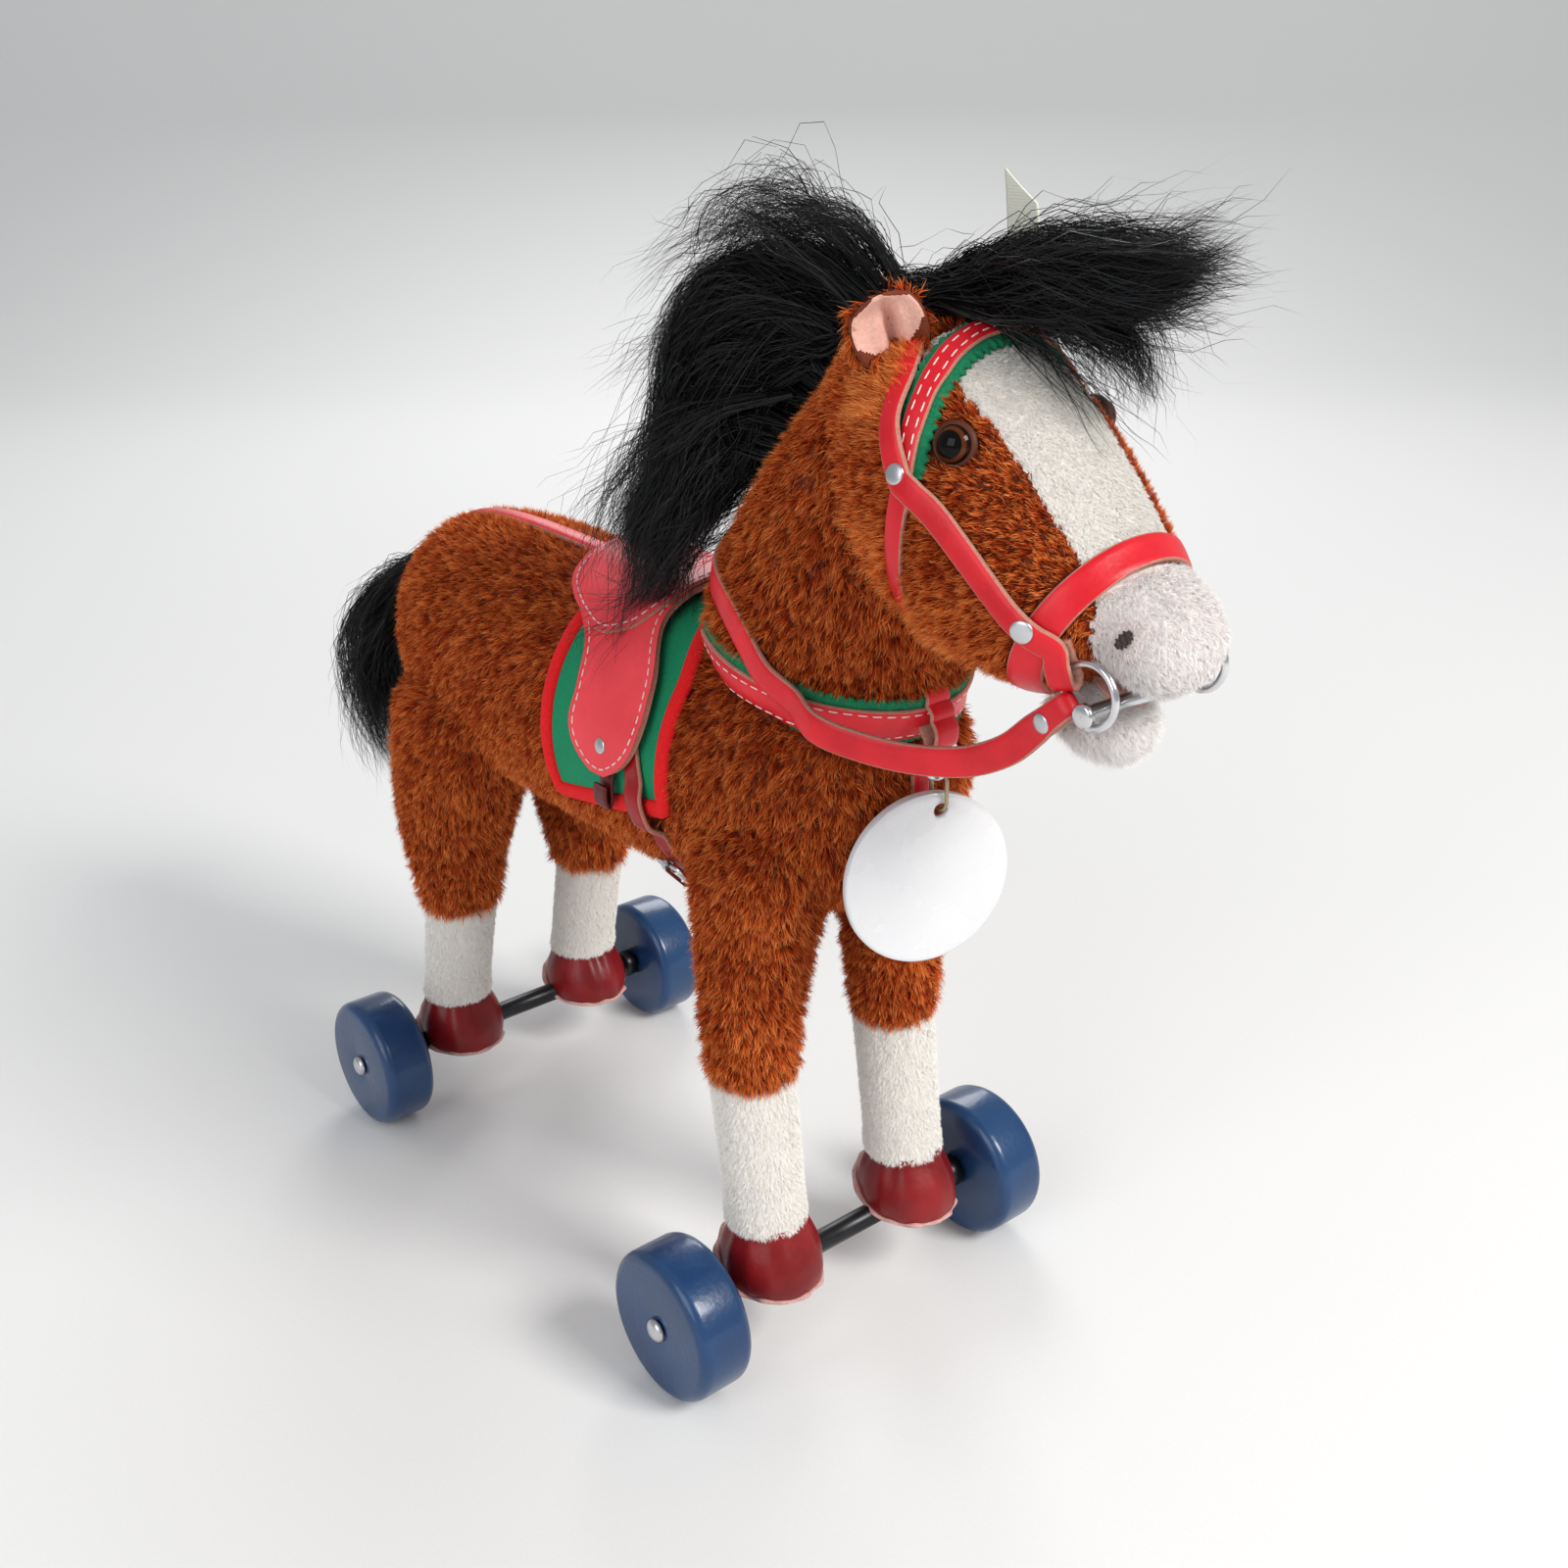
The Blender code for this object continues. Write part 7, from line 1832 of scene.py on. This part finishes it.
def bent(lines, reach):
    """Each guide line with a slow bend of its own, which grows towards the tip."""
    share = np.linspace(0, 1, lines.shape[1])[None, :, None]
    each = (len(lines), 1, 3)
    pace, start = rng.uniform(3, 9, each), rng.uniform(0, tau, each)
    return lines + np.sin(share * pace + start) * eased(share * 1.2) * rng.normal(size=each) * reach


def guide(rows, count=GUIDE_POINTS):
    """A smooth line through points given in millimetres."""
    return smooth_line(array(rows) * MM + array((0, SHIFT, 0)), count)


print("hair tools ready")

# %% Mane
MANE_ROWS = 48
OUTER = guide((
    (-1, -106, 266), (-3, -92, 277), (-6, -66, 278), (-9, -42, 268), (-11, -29, 256), (-14, -26, 239),
    (-18, -29, 220), (-21, -21, 202), (-25, -27, 184),
), MANE_ROWS)
INNER = guide((
    (0, -104, 264), (0, -90, 259), (-1, -76, 248), (-4, -63, 233), (-8, -52, 219), (-14, -45, 206),
    (-19, -42, 195),
), MANE_ROWS)
CREST = guide((
    (0, -103, 260), (0, -95, 253), (0, -84, 244), (0, -76, 235), (0, -67, 224), (-1, -57, 211),
    (-2, -50, 200),
), MANE_ROWS)
LATERAL = array((0.30, 0.62, 0.95, 1.0, 0.98, 0.80, 0.55, 0.42, 0.30)) * 0.027
LOCKS = 160
t = np.linspace(0, 1, GUIDE_POINTS)[None]
start = rng.random(LOCKS)[:, None] ** 1.2 * 0.58
level = rng.random(LOCKS)[:, None] ** 0.75
across = rng.random(LOCKS)[:, None]
to_front = rng.random((LOCKS, 1)) < 0.55
end = np.where(to_front, rng.uniform(0.85, 1.02, (LOCKS, 1)), rng.uniform(0.55, 0.9, (LOCKS, 1)))
run = clipped(start + (end - start) * t)


def read(table):
    """A table read along each lock's run."""
    places = np.linspace(0, 1, len(table))
    return np.stack([np.interp(run, places, column) for column in table.T], -1)


rise = (level * eased(t / 0.42))[..., None]
lines = read(INNER) * (1 - rise) + read(OUTER) * rise
root_side = rng.uniform(-0.007, 0.007, (LOCKS, 1))
blend, rise = eased(t / 0.35), rise[..., 0]
side_shift = across * read(LATERAL[:, None])[..., 0] * blend * (0.35 + 0.65 * rise)
side_shift += root_side * (1 - blend) - (1 - rise) * 0.006 * blend
lines[..., 0] += side_shift
lines[..., 2] -= clipped(side_shift / 0.026)**2 * 0.010
free = eased(t / 0.16)[..., None]
lines = (read(CREST) + root_side[..., None] * (0.8, 0, 0)) * (1 - free) + lines * free
hair("mane_locks", bent(lines, 0.0026), 80, 0.0025, 0.0019, 0.00019, 0.14, "mane")

WISPS = (
    ((0, -100, 262), (-2, -84, 275), (-3, -62, 280), (-4, -46, 277), (-6, -34, 272), (-8, -26, 269)),
    ((0, -96, 261), (-3, -76, 274), (-6, -55, 278), (-9, -38, 271), (-11, -27, 262), (-12, -19, 256)),
    ((-1, -88, 258), (-5, -64, 266), (-9, -45, 262), (-12, -31, 251), (-14, -22, 243), (-16, -16, 237)),
    ((-3, -70, 245), (-9, -52, 240), (-13, -36, 228), (-17, -26, 215), (-21, -20, 205), (-24, -17, 196)),
    ((-6, -60, 228), (-12, -46, 212), (-18, -36, 200), (-22, -28, 190), (-25, -24, 180), (-27, -22, 171)),
)
picked = np.repeat(np.arange(len(WISPS)), 9)
lines = array([guide(rows) for rows in WISPS])[picked]
lines = lines + rng.normal(size=(len(picked), 1, 3)) * (0.0035, 0.0028, 0.0028)
aside = np.linspace(0.2, 1, GUIDE_POINTS)[None] * (picked < 3)[:, None]
lines[..., 0] += rng.uniform(0, 0.020, (len(picked), 1)) * aside
hair("mane_wisps", bent(lines, 0.0035), 34, 0.0018, 0.0026, 0.00018, 0.35)

# %% Forelock
upper = guide(((0, -106, 264), (2, -116, 273), (5, -133, 277), (8, -152, 277), (9, -171, 281)))
lower = guide(((1, -108, 263), (3, -118, 268), (7, -131, 268), (10, -150, 267), (9, -168, 268)))
droop = guide(((3, -108, 264), (6, -120, 269), (9, -133, 267), (11, -144, 259), (12, -151, 247)))
LOCKS = 58
mix = rng.random((LOCKS, 1, 1)) ** 0.8
lines = upper[None] * mix + lower[None] * (1 - mix)
droops = (rng.random(LOCKS) < 0.34)[:, None, None]
lines = np.where(droops, droop[None] * (0.75 + 0.25 * mix) + lines * (0.25 - 0.25 * mix), lines)
lines[..., 0] += rng.normal(size=(LOCKS, 1)) * 0.0046 * (0.8 + 0.5 * np.sin(t * pi))
lines[..., 2] += rng.normal(size=(LOCKS, 1)) * 0.0013 * t
hair("forelock_locks", bent(lines, 0.0026), 80, 0.0021, 0.0021, 0.00018, 0.24, "forelock")
CROWN_WAYS = (
    ((-1, -98, 261), (-4, -102, 266), (-5, -109, 268), (-3, -117, 268), (1, -124, 265)),
    ((0, -102, 262), (-3, -107, 266), (-4, -115, 267), (-3, -123, 263), (-1, -130, 257)),
    ((1, -104, 262), (3, -109, 267), (6, -117, 269), (9, -127, 269), (11, -137, 266)),
    ((2, -104, 261), (8, -108, 264), (12, -115, 265), (15, -122, 262), (17, -128, 256)),
)
lines = np.repeat([guide(rows) for rows in CROWN_WAYS], 7, axis=0)
lines = lines + rng.normal(size=(len(lines), 1, 3)) * (0.0026, 0.0022, 0.0010)
hair("crown_locks", bent(lines, 0.0018), 40, 0.0018, 0.0018, 0.00018, 0.16)
fallen = guide(((2, -117, 268), (2, -126, 264.5), (4, -137, 257.5), (6, -146, 250), (8, -155, 242)))
thin = fallen[None] + rng.normal(size=(5, 1, 3)) * (0.0030, 0.0012, 0.0005)
hair("fallen_hairs", thin, 9, 0.0010, 0.0008, 0.00018, 0.3)

# %% Tail
route = guide(((0, 96, 172), (0, 107, 165), (0, 118, 152), (-1, 127, 136), (-1, 129, 118), (0, 125, 97)))
shares = array((0.24, 0.46, 0.86, 1.10, 1.10, 0.95)) * 0.0205
LOCKS = 76
angle, far = rng.uniform(0, tau, (LOCKS, 1)), np.sqrt(rng.random((LOCKS, 1)))
size = np.interp(t, np.linspace(0, 1, len(shares)), shares)
up = unit(np.cross(X, directions(route)))
lines = route[None] + (np.cos(angle) * far * size)[..., None] * array(X)
lines = lines + (np.sin(angle) * far * size)[..., None] * up
hair("tail_locks", bent(lines, 0.0026), 84, 0.0028, 0.0026, 0.00020, 0.14, "tail")

# %% [markdown]
# ## Hooves, nostrils and tag
#
# A hoof is a pocket of dark red leather pulled over the foot and gathered round the ankle, so it puffs
# out and creases a little. Its lower edge is left raw: a thin wavy flange that shows the pale inside of
# the leather. The nostrils are a few stitches of dark thread. The woven tag at the left ear stays blank.

# %% Hooves
HOOF = leather("hoof_leather", (0.270, 0.010, 0.012), (0.150, 0.004, 0.005), 0.36, 700)
HOOF_EDGE = felt("hoof_raw_edge", (0.740, 0.500, 0.460), (0.560, 0.240, 0.210), 0.1)
HOOF_TABLE = (
    (0.000, 0.06, 0.90, 0.94), (0.070, 0.06, 1.01, 1.06), (0.220, 0.06, 1.09, 1.13),
    (0.420, 0.05, 1.09, 1.11), (0.600, 0.03, 1.02, 1.02), (0.780, 0.01, 0.90, 0.89),
    (0.900, 0.00, 0.82, 0.80), (1.000, 0.00, 0.78, 0.76),
)
HOOF_HEIGHT, HOOF_HALF, HOOF_LONG = 0.0190, 0.0118, 0.0124
HOOF_STEPS, HOOF_LEVELS = 96, 22
CREASES = ((3, 0.5), (5, 0.8), (7, 0.8), (9, 0.7), (11, 0.6), (14, 0.4))
FLANGE = ((-0.0006, 0.0007), (0.0008, 0.0006), (0.0013, 0.0001), (0.0008, -0.0004), (-0.0006, -0.0007))
angle = np.arange(HOOF_STEPS) * tau / HOOF_STEPS


def hoof(end, bottom):
    low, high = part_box("hoof" + end)
    core = array(((low.x + high.x) / 2, (low.y + high.y) / 2, bottom))
    phase = rng.uniform(0, tau, len(CREASES))
    crease = sum(np.cos(angle * n + p) * weight for (n, weight), p in zip(CREASES, phase))
    rings = []
    for up in np.linspace(0, 1, HOOF_LEVELS):
        shift, wide, long = blended(HOOF_TABLE, up)
        toe = 1 + 0.06 * clipped(-np.sin(angle)) * (1 - up)
        ring = [np.cos(angle) * HOOF_HALF * wide, (np.sin(angle) * long * toe - shift) * HOOF_LONG, angle * 0]
        ring = np.stack(ring, 1) * (1 + crease * (0.00008 + 0.00030 * up**3) / HOOF_HALF)[:, None]
        rings.append(ring + core + (0, 0, HOOF_HEIGHT * up))
    middle, top = core + (0, 0, HOOF_HEIGHT), rings[-1]
    for inset, drop in ((0.94, -0.0003), (0.80, -0.0010)):
        rings.append((top - middle) * (inset, inset, 1) + middle + (0, 0, drop))
    wave = np.cos(angle * 9 + phase[0]) * 0.5 + np.cos(angle * 14 + phase[1]) * 0.5
    level = 1.2 + clipped(np.sin(angle) * 0.8 + 0.25) ** 1.3 * 9 + wave * 0.5
    under = np.clip(level.astype(int), 0, HOOF_LEVELS - 2)
    share = (level - under)[:, None]
    skin, column = array(rings[:HOOF_LEVELS]), np.arange(HOOF_STEPS)
    base = skin[under, column] * (1 - share) + skin[under + 1, column] * share
    way = unit((base - core) * (1, 1, 0))
    flange = []
    for reach, lift in FLANGE:
        flange.append(base + way * (reach + (wave * 0.00035)[:, None] * (reach > 0)) + (0, 0, lift))
    faces = grid_faces(len(rings), HOOF_STEPS, False, True)
    edges = grid_faces(len(FLANGE), HOOF_STEPS, True, True) + len(rings) * HOOF_STEPS
    sole = np.stack([column[1:-1], column[2:], column[2:] * 0], 1)
    groups = [faces, edges[:, ::-1], sole[:, ::-1]]
    slots = np.concatenate([np.full(len(group), number % 2) for number, group in enumerate(groups)])
    points = np.concatenate(rings + flange)
    piece = new_piece(
        "leather_hoof" + end, points, groups, [HOOF, HOOF_EDGE], "hoof" + end, slots=slots,
    )


for (place, _), bottom in zip(AXLES, (0.0198, 0.0172)):
    for side, _ in SIDES:
        hoof("_%s_%s" % (place, side), bottom)
NODES["inner_frame"].data.materials[0] = BLACK.material
print("hooves ready")

# %% Nostrils
DARK_THREAD = thread("nostril_thread", (0.070, 0.040, 0.035), (0.020, 0.012, 0.010))
STITCHES, STITCH_PITCH = 9, 0.00046
rows = []
for _, sign in SIDES:
    hit, normal, _, _ = hide_tree.find_nearest(Vector((sign * 0.0115, -0.1725 + SHIFT, 0.2130)))
    along = (HEAD_ALONG - normal * HEAD_ALONG.dot(normal)).normalized()
    across = normal.cross(along)
    for step in range(STITCHES):
        place = hit + across * ((step - STITCHES // 2) * STITCH_PITCH) + normal * 0.0011
        place += along * (0.00025 * (step % 2))
        way = (along + across * 0.10 * (step % 3 - 1)).normalized()
        rows.append([tuple(place), tuple(way), tuple(normal)])
places, alongs, outs = array(rows).transpose(1, 0, 2)
oval = np.sqrt(1.05 - np.tile(np.linspace(-1, 1, STITCHES)**2, 2) * 0.8)[:, None, None]
points, faces = beads(places, alongs, outs, (0.0013 * oval, 0.00036, 0.00034))
new_piece("nostril_stitches", points, faces, [DARK_THREAD])
print("nostril stitches:", len(places))

# %% Blank tag
TAPE = Finish("tag_tape", Roughness=0.8)
weft, warp = (
    TAPE.node(
        "TexWave", {"wave_type": "BANDS", "bands_direction": way},
        {"Vector": TAPE.place(), "Scale": 520, "Distortion": 0.6},
    )
    for way in "ZY"
)
TAPE.set("Base Color", (weft * 0.5 + warp * 0.5).mix((0.780, 0.770, 0.640), (0.860, 0.860, 0.760)))
TAPE.bump(weft * warp, 0.35, 0.0002)
low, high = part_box("ear_tag")
TAG_ROWS, TAG_COLUMNS, TAG_HALF_THICK = 30, 14, 0.00018
u, v = np.meshgrid(np.linspace(0, 1, TAG_COLUMNS), np.linspace(0, 1, TAG_ROWS))
tag_width, tag_height = 0.0085, 0.0212
front_edge, rear_edge = np.interp(v, (0, 1), (0.35, 0.65)), np.interp(v, (0, 1), (-0.65, -0.42))
tag_y = (low.y + tag_width * 0.65) + (rear_edge + (front_edge - rear_edge) * u) * tag_width
tag_z = low.z + tag_height * v * (1 - (1 - (0.70 + 0.30 * u)) * v)
tag_x = (low.x + high.x) / 2 + np.sin(v * 2.2) * 0.0007 + (u - 0.5)**2 * 0.0012
sides = [np.stack([tag_x + off, tag_y, tag_z], -1) for off in (-TAG_HALF_THICK, TAG_HALF_THICK)]
faces = slab_faces(TAG_ROWS, TAG_COLUMNS)
new_piece("blank_tag", sides, faces, [TAPE], "ear_tag", smooth=False)
print("tag", round(tag_width, 4), "x", round(tag_height, 4))
